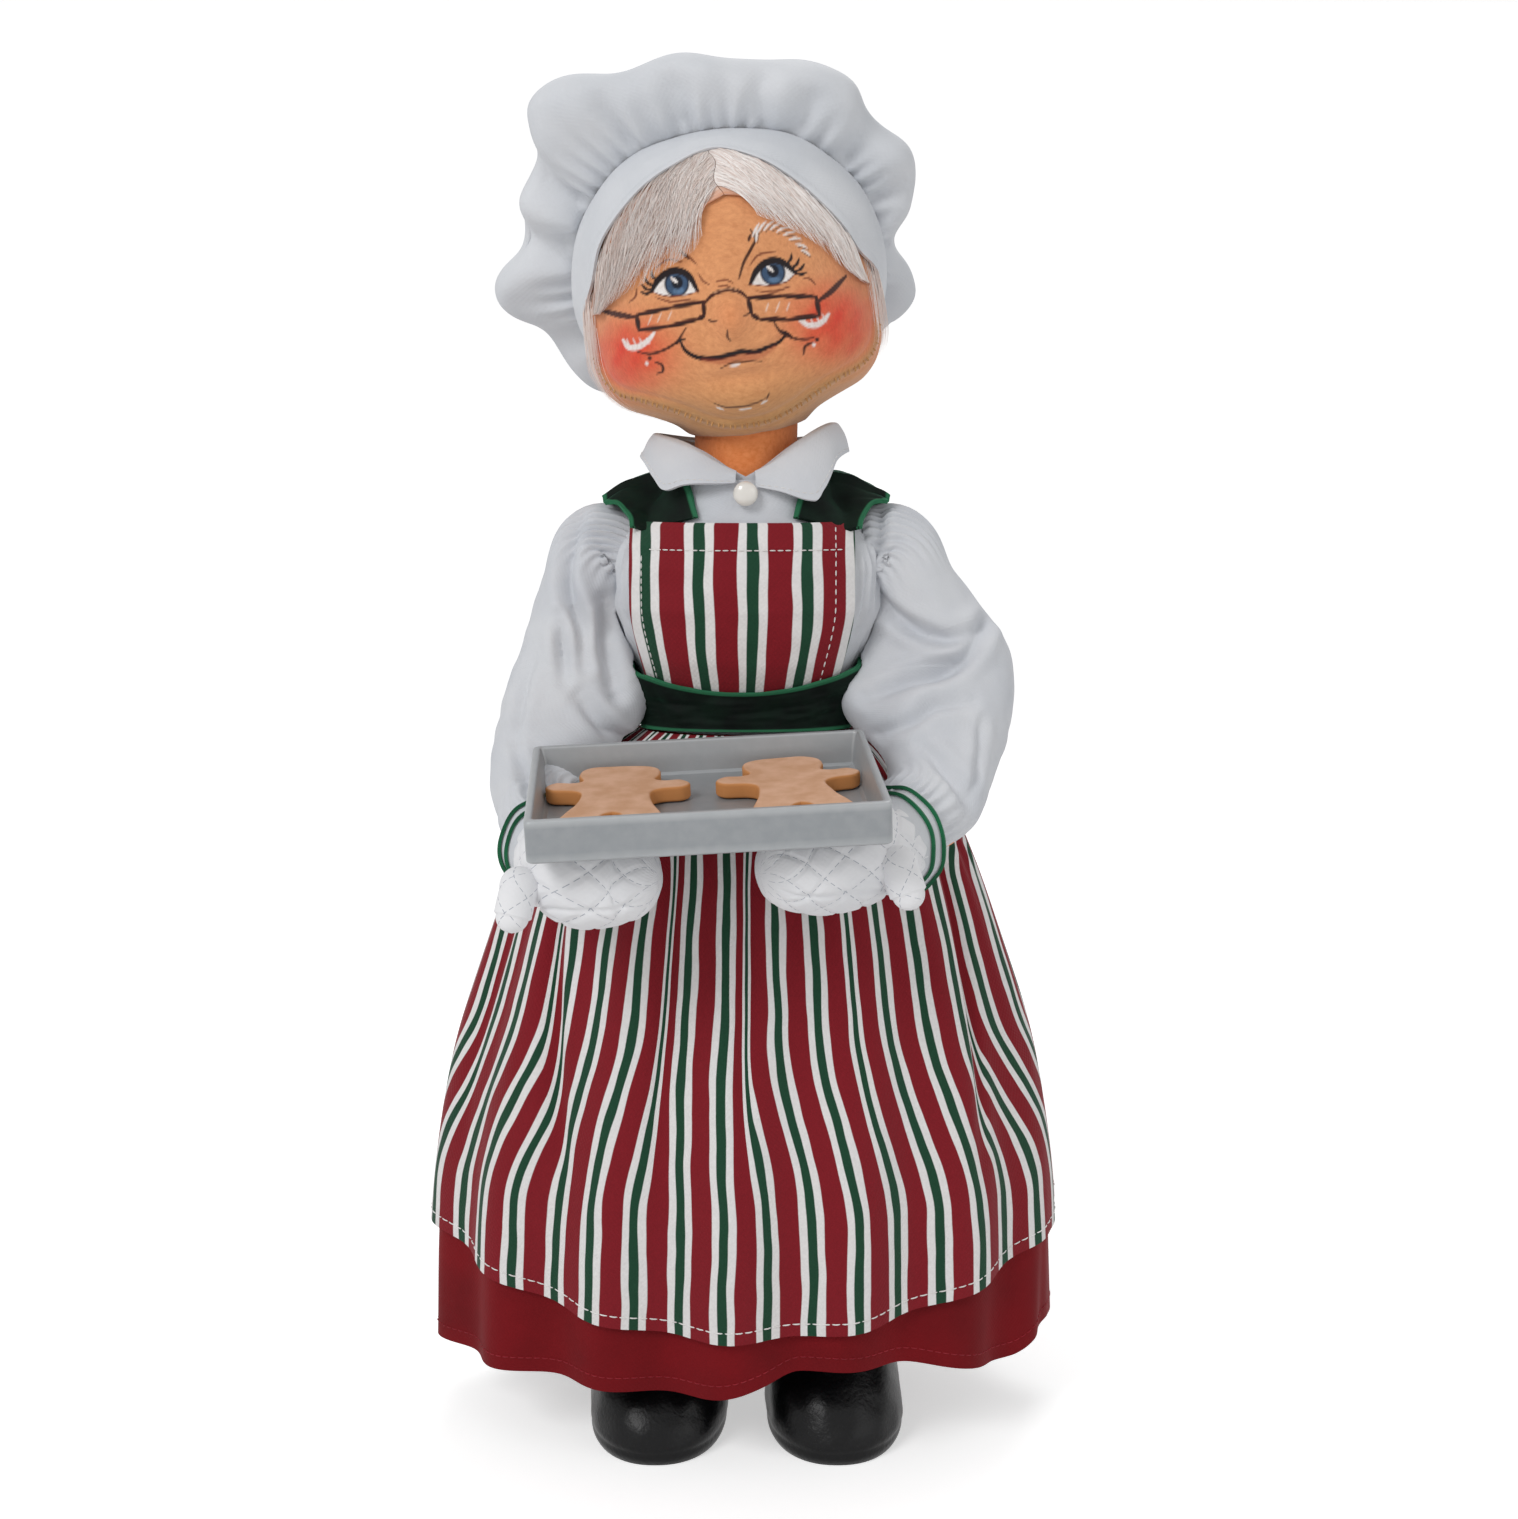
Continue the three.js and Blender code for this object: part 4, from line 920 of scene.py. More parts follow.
def level_ring(heights, angle, half, squareness=2.0):
    """Level rings at the heights; angle 0 is the front, and half holds half widths and depths."""
    z, a = np.meshgrid(heights, angle, indexing="ij")
    power = 2 / squareness
    x = half[:, :1] * round_power(np.sin(a), power)
    y = -half[:, 1:2] * round_power(np.cos(a), power)
    return np.stack([x, y, z], -1)


def full_turn(count):
    """Evenly spaced angles round a full turn, without the last."""
    return np.linspace(-np.pi, np.pi, count, endpoint=False)


def limb(path, radii, columns=40, reference=(0, 1, 0.35)):
    """Rings square to a path; radii holds the half width and half height at each point."""
    along = unit(np.gradient(path, axis=0))
    side = unit(np.cross(along, np.array(reference, float)))
    rise = unit(np.cross(side, along))
    turn = full_turn(columns)[None, :, None]
    wide, high = radii[:, None, :1], radii[:, None, 1:2]
    return path[:, None] + side[:, None] * wide * np.cos(turn) + rise[:, None] * high * np.sin(turn)


def stuffed(start, end, radius, start_ball, end_ball, rows=50):
    """Centres and radii of a limb that runs from one ball to another with a slim part between."""
    start, end = np.array(start, float), np.array(end, float)
    length = np.linalg.norm(end - start)
    along = np.linspace(-start_ball * 0.985, length + end_ball * 0.985, rows)
    ball_a = np.sqrt(np.maximum(start_ball**2 - along**2, 0.01))
    ball_b = np.sqrt(np.maximum(end_ball**2 - (along - length) ** 2, 0.01))
    inside = (along > 0) & (along < length)
    reach = np.maximum(np.maximum(ball_a, ball_b), np.where(inside, radius, 0))
    path = start + (end - start) / length * along[:, None]
    return path, np.stack([reach, reach], -1)


FOOT_X = 24.8
torso_rows = profile([
    [HIP - 1, 21, 14], [HIP + 6, 28.5, 20], [HIP + 18, 28.5, 20.5], [WAIST - 8, 24.6, 18.6],
    [WAIST, 24.2, 18.3], [WAIST + 16, 29, 21], [SHOULDER - 8, 33.5, 21.5], [SHOULDER, 33, 20],
    [SHOULDER + 5, 28, 18], [NECK_BASE, 22, 16]])
torso_heights = np.linspace(HIP - 1, NECK_BASE - 0.5, 60)
torso_grid = level_ring(torso_heights, full_turn(72), torso_rows(torso_heights))
torso = piece("stuffed_torso", [(patch(torso_grid, True, core=(0, 0, 215)), body_felt)], "trunk",
              ["torso"], "body_felt")
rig.padded(torso, fill=0.9)

for name, s in SIDES.items():
    shoulder, elbow, wrist = arm_points[name]
    for part, ends, sizes in (("upper", (shoulder, elbow), (5.9, 8.1, 7.3)),
                              ("lower", (elbow, wrist), (5.6, 5.9, 5.3))):
        path, radii = stuffed(*ends, *sizes)
        node = f"{name}_upper_arm" if part == "upper" else f"{name}_forearm"
        arm = piece(f"{name}_felt_{part}_arm", [
            (patch(limb(path, radii), True, core=path[:, None]), body_felt)],
            f"{name}_{part}", [node], "body_felt")
        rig.padded(arm, fill=0.9)
    hip, ankle = (s * 14.5, 2, HIP), (s * FOOT_X, -4, 22)
    path, radii = stuffed(hip, ankle, 8.4, 9.3, 8.4, 70)
    leg = piece(f"{name}_felt_leg", [(patch(limb(path, radii), True, core=path[:, None]), body_felt)],
                f"{name}_leg_and_boot", [f"{name}_leg"], "body_felt")
    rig.padded(leg, fill=0.9)

NECK_RADIUS = 14.0
neck_heights = np.linspace(NECK_BASE - 13.6, HEAD_PIVOT + 13.4, 60)
low_ball, high_ball = (np.sqrt(np.maximum(NECK_RADIUS**2 - (neck_heights - pivot) ** 2, 1))
                       for pivot in (NECK_BASE, HEAD_PIVOT))
column = np.where((neck_heights > NECK_BASE) & (neck_heights < HEAD_PIVOT), NECK_RADIUS, 0)
neck_size = np.maximum(np.maximum(low_ball, high_ball), column)
neck_grid = level_ring(neck_heights, full_turn(72), np.stack([neck_size, neck_size], -1))
neck_grid[..., :2] *= 1 - 0.012 * (1 + ripple(3, neck_grid, 14))[..., None]
neck_grid[..., 0] *= 1 + 0.11 * bell(neck_grid[..., 2], NECK_BASE + 6, 7)
neck = piece("felt_neck", [(patch(neck_grid, True, core=(0, 0, 273)), body_felt)], "neck_column",
             ["neck"], "body_felt")
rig.padded(neck, fill=0.9)

for obj in [o for o in bpy.data.objects if o.type == "MESH" and o.name.endswith("_wire")]:
    obj.data.materials.clear()
    obj.data.materials.append(armature_wire)
print("wires:", len([o for o in bpy.data.objects if o.name.endswith("_wire")]))

# %% [markdown]
# ## The skirts
# A full circle of red cotton and the striped apron over it are gathered at the waist, so
# small pleats at the top run out into a few soft folds that deepen toward the hem. Both
# follow one relief, so the apron never dips through the skirt. A sheet is a function of the
# turn round the body and the height, and its stripes are spaced by the cloth's own width.

# %% Shared skirt form
blouse_rows = [
    [WAIST - 8, 26.4, 20.2], [WAIST + 3, 26.4, 20.4], [WAIST + 14, 30.8, 23.8], [SHOULDER - 16, 35.6, 26.5],
    [SHOULDER - 5, 36.4, 25.5], [SHOULDER + 1, 35, 23.8], [SHOULDER + 5, 32, 22], [SHOULDER + 9, 27, 20.2],
    [SHOULDER + 13, 22.5, 20], [SHOULDER + 18, 19.4, 19.4]]
blouse_size = profile(blouse_rows, straight=True)
BLOUSE_SQUARE = 2.3
SKIRT_MIDDLE, CHEST_MIDDLE = (0, 0, 120), (0, 0, 235)
waist_fit = blouse_size(SKIRT_TOP) + GAP + COTTON
skirt_size = profile([
    [SKIRT_HEM, 89.5, 52], [65, 88, 52.5], [90, 85, 51.5], [115, 80, 49.5], [140, 71.8, 46],
    [HIP - 2, 62, 41.5], [HIP + 12, 54.5, 37], [WAIST - 18, 43.5, 31], [WAIST - 9, 34, 25],
    [SKIRT_TOP, *waist_fit]])
FOLD_DEPTH, FOLD_COUNT = 2.6, 14
# place in degrees, depth, width in degrees, lean in degrees over 60 mm, and cloth hidden inside in mm
PLEATS = [(-68, 1.6, 3, 0, 5), (-54.5, 2.8, 2.6, -10.2, 9), (-16, 2.4, 2.0, 0, 9), (-0.3, 2.2, 1.8, 0, 9),
          (22, 0.9, 2.5, 0, 3), (64, 2.8, 2.6, 9, 10)]
red_hem_rows = profile([[-180, 27], [-60, 29], [-35, 30], [-8, 29], [3, 31.5], [10, 35.5], [28, 35.5],
                        [40, 32.5], [52, 29.5], [60, 29], [67, 32], [78, 34], [100, 30], [180, 27]])


def from_pleat(a, drop, at, lean):
    """How far a place is from a pleat, in degrees of turn."""
    return np.degrees(a) + lean * drop / 60 - at


def skirt_relief(a, z, share):
    """Gathers under the waist, the pleats on the front, and one flap near the left hem."""
    drop = SKIRT_TOP - z
    phase = 52 * a + 2.1 * np.sin(5 * a) + 1.3 * np.sin(9 * a + 1) + drop * 0.01
    gathers = 0.85 * np.exp(-drop / 30) * (1 - np.exp(-drop / 5)) * np.sin(phase)
    fading = ease(0, 30, drop) * (1 - ease(70, 130, drop))
    valleys = -sum(depth * bell(from_pleat(a, drop, at, lean), 0, wide)
                   for at, depth, wide, lean, _ in PLEATS)
    flap = share**3 * (3.2 * bell(np.degrees(a), 86, 8) - 3.0 * bell(np.degrees(a), 72, 5))
    return gathers + fading * valleys + flap


def hidden_cloth(a, z):
    """Cloth in mm that the pleats take up as far as a place across; it comes out again below them."""
    drop = SKIRT_TOP - z
    taken = ease(5, 40, drop) * (1 - ease(72, 126, drop))
    return sum(hidden * taken * (ease(-1, 1, from_pleat(a, drop, at, lean) / wide) - 0.5)
               for at, _, wide, lean, hidden in PLEATS)


def skirt_at(a, z, lift):
    """A point of the skirts: an oval that widens downward, with folds that deepen toward the hem."""
    half = skirt_size(z)
    share = np.clip((SKIRT_TOP - z) / (SKIRT_TOP - SKIRT_HEM), 0, 1)
    depth = FOLD_DEPTH * share**0.7
    fold = depth * (np.cos(FOLD_COUNT * a + 1.2 * np.sin(2 * a) + share) - 1)
    reach = lift + fold + skirt_relief(a, z, share)
    power = 2 / (2 + (BLOUSE_SQUARE - 2) * (1 - share) ** 4)
    x = (half[..., 0] + reach) * round_power(np.sin(a), power)
    y = -(half[..., 1] + reach) * round_power(np.cos(a), power)
    return np.stack([x, y, np.broadcast_to(z, x.shape)], -1)


def outward_at(function, a, z, lift):
    """The direction away from the sheet, from two points of different lift."""
    return unit(function(a, z, lift + 1) - function(a, z, lift))


skirt_shares = np.linspace(0, 1, 90)[:, None]
skirt_turn = full_turn(480)[None, :]
red_foot = red_hem_rows(np.degrees(skirt_turn))[..., 0]
red_z = SKIRT_TOP + (red_foot - SKIRT_TOP) * skirt_shares
red_grid = skirt_at(skirt_turn + 0 * skirt_shares, red_z, 0)
red_width = 480.0
hem_turn = np.linspace(-np.pi, np.pi, 900)
hem_height = red_hem_rows(np.degrees(hem_turn))[..., 0] + 4
red_hem = threads(skirt_at(hem_turn, hem_height, 0), outward_at(skirt_at, hem_turn, hem_height, 0),
                  210, 1.7, 0.16)
red_skirt = piece("red_cotton_skirt", [
    (patch(red_grid, True, COTTON, SKIRT_MIDDLE, width=red_width), red_cotton), (red_hem, red_thread)],
    "trunk", ["red_skirt"], "red_cotton")
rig.sheet(red_skirt, flat=(0.48, 0.18), held="gathered", rests_on=["torso"])

# %% Apron skirt
APRON_REACH = np.radians(100)
APRON_LIFT = GAP + 1.1 + COTTON
HEM_FRONT, HEM_SIDE = 46.0, 64.0
APRON_WIDTH = 20.5 * STRIPE
apron_turn = np.linspace(-APRON_REACH, APRON_REACH, 520)[None, :]
apron_hem = HEM_FRONT + (HEM_SIDE - HEM_FRONT) * np.sin(np.minimum(np.abs(apron_turn), np.pi / 2)) ** 2
apron_z = SKIRT_TOP + (apron_hem - SKIRT_TOP) * skirt_shares
apron_grid = skirt_at(apron_turn + 0 * skirt_shares, apron_z, APRON_LIFT)
stitch_height = apron_hem[0] + 3.4
hem_path = skirt_at(apron_turn[0], stitch_height, APRON_LIFT)
hem_out = outward_at(skirt_at, apron_turn[0], stitch_height, APRON_LIFT)
apron_uv = lengths_uv(apron_grid, False, APRON_WIDTH)
apron_uv[..., 0] += hidden_cloth(apron_turn + 0 * apron_z, apron_z)
apron = piece("striped_apron_skirt", [
    (patch(apron_grid, False, COTTON, SKIRT_MIDDLE, uv=apron_uv), apron_cotton),
    (threads(hem_path, hem_out, 96, 2.1, 0.2), white_thread)],
    "trunk", ["apron_skirt"], "striped_cotton")
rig.sheet(apron, flat=(APRON_WIDTH * MM, 0.155), held="gathered", rests_on=["red_cotton_skirt"])

# %% [markdown]
# ## Blouse, bib, waistband and straps
# The blouse is a cotton shell on the torso, puffed a little beside the bib. The bib is a flat
# striped panel with a turned-down top, held by stitches. The velvet ribbon round the waist
# covers the raw edges of bib and skirt, and two more ribbons run over the shoulders.

# %% Blouse
def blouse_at(a, z, grow):
    """A point of the blouse's shell, grown outward; angle 0 is the front."""
    half = blouse_size(z) + np.asarray(grow, float)[..., None]
    power = 2 / BLOUSE_SQUARE
    return np.stack([half[..., 0] * round_power(np.sin(a), power),
                     -half[..., 1] * round_power(np.cos(a), power), z + 0 * a], -1)


def blouse_reach(x, z, grow):
    """Depth of the blouse's front at a place across the body."""
    half = blouse_size(z) + grow
    across = np.minimum(np.abs(x) / half[..., 0], 0.98)
    return half[..., 1] * (1 - across**BLOUSE_SQUARE) ** (1 / BLOUSE_SQUARE)


blouse_z, blouse_a = np.meshgrid(np.linspace(WAIST - 8, SHOULDER + 18, 70), full_turn(220), indexing="ij")
blouse_grid = blouse_at(blouse_a, blouse_z, np.zeros_like(blouse_z))
beside = ease(28.0, 31.0, np.abs(blouse_grid[..., 0])) * ease(WAIST + 8, WAIST + 18, blouse_z)
beside = beside * (1 - ease(SHOULDER - 2, SHOULDER + 6, blouse_z))
folds = np.sin(blouse_a * 60 + 1.5 * np.sin(blouse_z / 9)) * 0.55 + 0.5 * ripple(5, blouse_grid, 11)
yoke = 0.22 * ripple(6, blouse_grid, 15) * ease(SHOULDER - 4, SHOULDER + 4, blouse_z)
blouse_grid = blouse_at(blouse_a, blouse_z, beside * (0.9 + folds) + yoke)
blouse = piece("cotton_blouse", [(patch(blouse_grid, True, COTTON, CHEST_MIDDLE), white_cotton)], "trunk",
               ["blouse"], "white_cotton")
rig.sheet(blouse, flat=(0.2, 0.078), held="stretched", rests_on=["stuffed_torso"])

# %% Bib
BIB_LIFT = GAP + 0.6 + COTTON
BIB_HALF, BIB_TOP, BIB_FOOT, BIB_HEM = 29.8, SHOULDER + 7, WAIST - 2, 7.0


def bib_at(x, z, lift):
    """A point of the bib: the blouse's front with a soft relief that fades at the waistband."""
    flat = np.stack([x + 0 * z, 0 * x + 0 * z, z + 0 * x], -1)
    soft = 0.45 * ripple(8, flat, 24) + 0.25 * ripple(9, flat, 9)
    folded = 0.35 * ease(BIB_TOP - BIB_HEM - 0.5, BIB_TOP - BIB_HEM + 0.5, z)
    fullness = 1.2 * bell(z, WAIST + 16, 9) * (1 - (x / 34) ** 2)
    reach = blouse_reach(x, z, BIB_LIFT) + lift + folded + fullness
    reach = reach + (0.5 + soft) * 0.8 * ease(WAIST + 4, WAIST + 16, z)
    return np.stack([x + 0 * z, -reach, z + 0 * x], -1)


def bib_half(z):
    """Half the bib's width: even at the top and drawn in toward the waistband."""
    drawn_in = 1 - 0.17 * (1 - ease(WAIST, WAIST + 30, z))
    return np.minimum(BIB_HALF * drawn_in, blouse_size(z)[..., 0] - 0.6)


bib_z = np.linspace(BIB_TOP, BIB_FOOT, 90)[:, None]
BIB_SHIFT = -1.0
bib_share = np.linspace(-1, 1, 90)[None, :]
bib_x = BIB_SHIFT + bib_share * bib_half(bib_z)
bib_across = BIB_HALF * 0.96 * bib_share + 0.58 * STRIPE + 3 * STRIPE
bib_uv = np.stack([bib_across + 0 * bib_z, BIB_TOP - bib_z + 0 * bib_x], -1)
bib_grid = bib_at(bib_x, bib_z + 0 * bib_x, 0)
seam_z = BIB_TOP - BIB_HEM
runs = [(np.linspace(-25.5, 25.5, 120), np.full(120, seam_z), 26)]
for s, inset in ((1, 5.2), (-1, 3.4)):
    edge_z = np.linspace(seam_z - 1.5 if s < 0 else BIB_TOP - 1, WAIST + 6, 120)
    runs.append((BIB_SHIFT + s * (bib_half(edge_z) - inset), edge_z, 19))
bib_parts = [(patch(bib_grid, False, COTTON, CHEST_MIDDLE, uv=bib_uv), bib_cotton)]
for x, z, count in runs:
    line = bib_at(x, z, 0.02)
    bib_parts.append((threads(line, bib_at(x, z, 1) - bib_at(x, z, 0), count, 1.5, 0.17), white_thread))
bib = piece("striped_apron_bib", bib_parts, "trunk", ["apron_bib"], "striped_cotton")
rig.sheet(bib, flat=(0.062, 0.058), held="stretched", rests_on=["cotton_blouse"])

# %% Waistband
WAIST_LIFT = BIB_LIFT + GAP + 0.7 + RIBBON
band_a, band_share = full_turn(300)[None, :], np.linspace(0, 1, 30)[:, None]
sag = np.cos(np.clip(band_a, -np.pi / 2, np.pi / 2)) ** 2
band_foot = WAIST - 4.6 + 0.8 * sag
band_top = WAIST + 12.6 - 6.2 * sag + 1.5 * np.maximum(np.sin(band_a), 0)
band_z = band_foot + (band_top - band_foot) * band_share
band_flat = np.stack([band_a * 30 + 0 * band_share, band_z * 1.0, 0 * band_z], -1)
crumple = 0.6 * ripple(12, band_flat * [1, 2.2, 1], 15) + 0.35 * ripple(13, band_flat * [1, 3, 1], 7)
edges = 0.35 * (bell(band_share, 0, 0.07) + bell(band_share, 1, 0.07))
over_bib = 1 - ease(60, 80, np.abs(np.degrees(band_a)))
lift = WAIST_LIFT - 1.5 + 1.9 * over_bib + (crumple + 0.4 * over_bib) * np.sin(np.pi * band_share) + edges
band_grid = blouse_at(band_a + 0 * band_z, np.minimum(band_z, WAIST + 10), lift)
band_grid[..., 2] = band_z
band_uv = np.stack([RIBBON_WIDTH * band_share + 0 * np.linspace(0, 1, 301)[None, :],
                    np.linspace(0, 180, 301)[None, :] + 0 * band_share], -1)
waistband = piece("velvet_waistband", [
    (patch(band_grid, True, RIBBON, (0, 0, 212), uv=band_uv), green_velvet)], "trunk",
    ["waistband"], "green_velvet")
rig.sheet(waistband, flat=(0.185, 0.016), held="stretched", rests_on=["cotton_blouse"])

# %% Shoulder straps
COLLAR_OPENING = 18.4
STRAP_NEAR = COLLAR_OPENING + COTTON + 0.8
strap_edges = profile([
    [44, 28.5 - RIBBON_WIDTH, 30.5], [52, 14, 31], [64, 16.5, 33.5], [76, STRAP_NEAR, 38],
    [102, STRAP_NEAR, 38], [125, 14, 31], [216, 9, 9 + RIBBON_WIDTH]])


def strap_at(x, turn, lift):
    """Where a ray in a plane across x leaves the grown blouse: halving finds the spot on all rays.
    Past the shoulder's edge the ribbon runs straight on, sloping down over the sleeve."""
    height = SHOULDER - 12
    forward, rise = -np.cos(turn), np.sin(turn)
    top = ease(1.05, 1.45, turn) - ease(1.95, 2.4, turn)
    reach = 26 - 5 * top
    on_blouse = np.clip(x, -reach, reach)

    def past_blouse(reach):
        y, z = forward * reach, height + rise * reach
        half = blouse_size(z)
        level = (np.abs(on_blouse) / (half[..., 0] + lift)) ** BLOUSE_SQUARE
        level = level + (np.abs(y) / (half[..., 1] + lift)) ** BLOUSE_SQUARE
        return (level > 1) | (z > SHOULDER + 18 + lift)

    near = halve(np.zeros_like(x), np.full_like(x, 60.0), past_blouse)[0]
    beyond = np.abs(x) - np.abs(on_blouse)
    slope = 0.32 - 0.37 * ease(1.05, 1.45, turn)
    drop = (0.012 + 0.008 * top) * beyond**2
    return np.stack([x, forward * near, height + rise * near + slope * beyond - drop], -1)


strap_turn = np.linspace(44, 216, 134)
for name, s in SIDES.items():
    inner, outer = np.moveaxis(strap_edges(strap_turn), -1, 0)
    share = np.linspace(0, 1, 26)[None, :]
    x = inner[:, None] + (outer - inner)[:, None] * share
    grid = strap_at(s * x, np.radians(strap_turn)[:, None] + 0 * x, BIB_LIFT + GAP)
    grid = grid + normals(grid, False, (s * 20, 0, 230)) * (0.35 * ripple(15, grid, 10))[..., None]
    strap_uv = np.stack([RIBBON_WIDTH * share + 0 * x, strap_turn[:, None] * 0.6 + 0 * x], -1)
    strap = piece(f"velvet_strap_{name}", [(patch(grid, False, RIBBON, (s * 20, 0, 230), uv=strap_uv),
                                            green_velvet)], "trunk", [f"strap_{name}"], "green_velvet")
    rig.sheet(strap, flat=(0.1, 0.02), held="draped", rests_on=["cotton_blouse"])

# %% [markdown]
# ## Sleeves
# Each sleeve is one full tube of cotton, gathered at the shoulder and again inside the mitt,
# and it bags at the elbow. It crosses two joints, so it is made as two lengths that meet on
# the upper arm: the upper one bends with the shoulder, the lower one with the elbow. The long
# creases are drawn where the cloth breaks over the bent arm.

# %% Sleeve form
sleeve_creases = {
    "left": [([(36.6, 263), (34.7, 250.6), (31, 246)], 1.5, 1.8),
             ([(32, 243.6), (38, 235.2), (47.8, 229.4), (56, 228.4), (64, 232)], 2.0, 2.6),
             ([(66, 234), (61, 226.4), (56, 221.8), (41, 217.3), (31.6, 213.4)], 2.0, 2.6),
             ([(35, 203.8), (44, 208.3), (49, 211.6), (59.5, 212.6)], 1.6, 1.7),
             ([(46, 201.8), (53, 196), (57, 188)], 1.6, 1.8), ([(62, 208), (60, 198), (57, 190)], 1.4, 1.2)],
    "right": [([(-44.7, 260), (-48, 244.3), (-43.8, 231.4), (-42.6, 221)], 1.9, 2.6),
              ([(-49.4, 234), (-47.7, 217.3)], 1.6, 2.0), ([(-38, 238), (-37.5, 226), (-34, 214)], 2.2, 2.8),
              ([(-56, 226), (-60, 214), (-60, 204)], 1.8, 1.4),
              ([(-44, 214), (-36, 205), (-30, 200)], 1.7, 1.8),
              ([(-60, 203), (-56, 196), (-50, 190)], 1.5, 1.4)]}
SLEEVE_ROWS, SLEEVE_COLUMNS, SLEEVE_SPLIT = 180, 170, 0.32
BAG_INWARD = 15.0
outer_share = {"left": profile([[0, 0.8], [0.1, 0.8], [0.2, 0.74], [0.29, 0.84], [0.4, 1.02],
                                [0.56, 0.95], [0.7, 0.82], [0.85, 0.74], [1, 0.8]]),
               "right": profile([[0, 0.8], [0.1, 0.8], [0.2, 0.68], [0.34, 0.6], [0.45, 0.72], [0.56, 0.78],
                                 [0.7, 0.84], [1, 0.9]])}


ON_BLOUSE, ON_WAISTBAND, ON_SKIRTS = 1.2, 2.4, 7.2


def clear_of_body(points, s, air):
    """Moves points sideways until they are outside the dressed body, with some air between. The
    cloth counts as thick as ON_BLOUSE, with ON_WAISTBAND more at the waist, or as ON_SKIRTS."""
    z = points[..., 2]
    over = z > SKIRT_TOP
    dressed = ON_BLOUSE + ON_WAISTBAND * (1 - ease(WAIST + 12, WAIST + 15.5, z))[..., None]
    half = np.where(over[..., None], blouse_size(z) + dressed, skirt_size(z) + ON_SKIRTS) + air
    depth = np.clip(np.abs(points[..., 1]) / half[..., 1], 0, 1)
    limit = half[..., 0] * (1 - depth**BLOUSE_SQUARE) ** (1 / BLOUSE_SQUARE)
    limit = limit * (1 - ease(SHOULDER - 18, SHOULDER - 4, z))
    moved = points.copy()
    moved[..., 0] = s * np.maximum(s * points[..., 0], limit)
    return moved


def sleeve_grid(name, s):
    """A tube on the arm's path whose radii bag at the elbow, with creases and gathered ends."""
    shoulder, elbow, wrist = (np.array(p, float) for p in arm_points[name])
    palm = from_tray(np.array([s * 31, -8, under_tray]))
    path = [shoulder + [-s * 7, 0, -1], shoulder + [s, 0, 0],
            shoulder + (elbow - shoulder) * 0.34 + [s * 2, 0, 1],
            shoulder + (elbow - shoulder) * 0.66 + [s, 0, 2], elbow + [-s * 3, -2, 1],
            elbow + (wrist - elbow) * 0.42 + [-s * 0.5, 0, -1],
            elbow + (wrist - elbow) * 0.86 + [-s * 2.5, 0, 1],
            wrist + (palm - wrist) * 0.36 + [-s * 1.5, 0, 2]]
    share = np.linspace(0, 1, SLEEVE_ROWS)
    bag = {"left": 16.5, "right": 14.5}[name]
    size = profile([[0, 11.6, 12], [0.1, 13, 13], [0.22, 13.8, 13.8], [0.36, bag - 0.8, 15],
                    [0.48, bag, 15], [0.6, bag - 0.3, 14.4], [0.74, 14.2, 13.6], [0.85, 13.2, 12.8],
                    [0.93, 11.8, 11.8], [1, 10, 10]])
    line = spline(path, SLEEVE_ROWS)
    grid = limb(line, size(share), SLEEVE_COLUMNS)
    turn = full_turn(SLEEVE_COLUMNS)[None, :]
    down = share[:, None]
    outer = np.maximum(0, s * np.cos(turn))
    narrowed = 1 - (1 - outer_share[name](down)[..., 0]) * outer
    grid = line[:, None] + (grid - line[:, None]) * narrowed[..., None]
    inward = np.maximum(0, -s * np.cos(turn)) ** 1.3
    grid[..., 0] -= s * BAG_INWARD * inward * bell(down, 0.46, 0.21) * ease(0.04, 0.2, down)
    grid[..., 1] -= 5.0 * inward * bell(down, 0.47, 0.15)
    out = normals(grid, True, line[:, None])
    ends = 0.65 * (bell(down, 0.06, 0.07) * np.sin(30 * turn + 2 * np.sin(3 * turn))
                  + 0.9 * bell(down, 0.97, 0.07) * np.sin(26 * turn + 1.5 * np.sin(4 * turn)))
    soft = 0.9 * ripple(20 + s, grid * [1, 1, 0.6], 26) + 0.22 * ripple(23 + s, grid, 9)
    relief = ends + soft * ease(0.08, 0.25, down)
    facing = ease(0.05, 0.5, -out[..., 1])
    for crease, width, depth in sleeve_creases[name]:
        reach, run = distance(grid[..., [0, 2]], spline(crease, 30))
        taper = np.sin(np.pi * np.clip(run, 0.04, 0.96)) ** 0.5
        valley = -1.3 * depth * bell(reach, 0, width) + 0.5 * depth * bell(reach, 1.9 * width, 1.2 * width)
        relief = relief + facing * taper * valley
    grid = grid + out * relief[..., None]
    grid = np.where(inward[..., None] > 0.02, clear_of_body(grid, s, 0.4), grid)
    return grid, line[:, None]


def at(point):
    """A point of the doll's frame as a place in the scene, for the lines along which a sleeve bends."""
    return tuple(in_scene(np.asarray(point, float)))


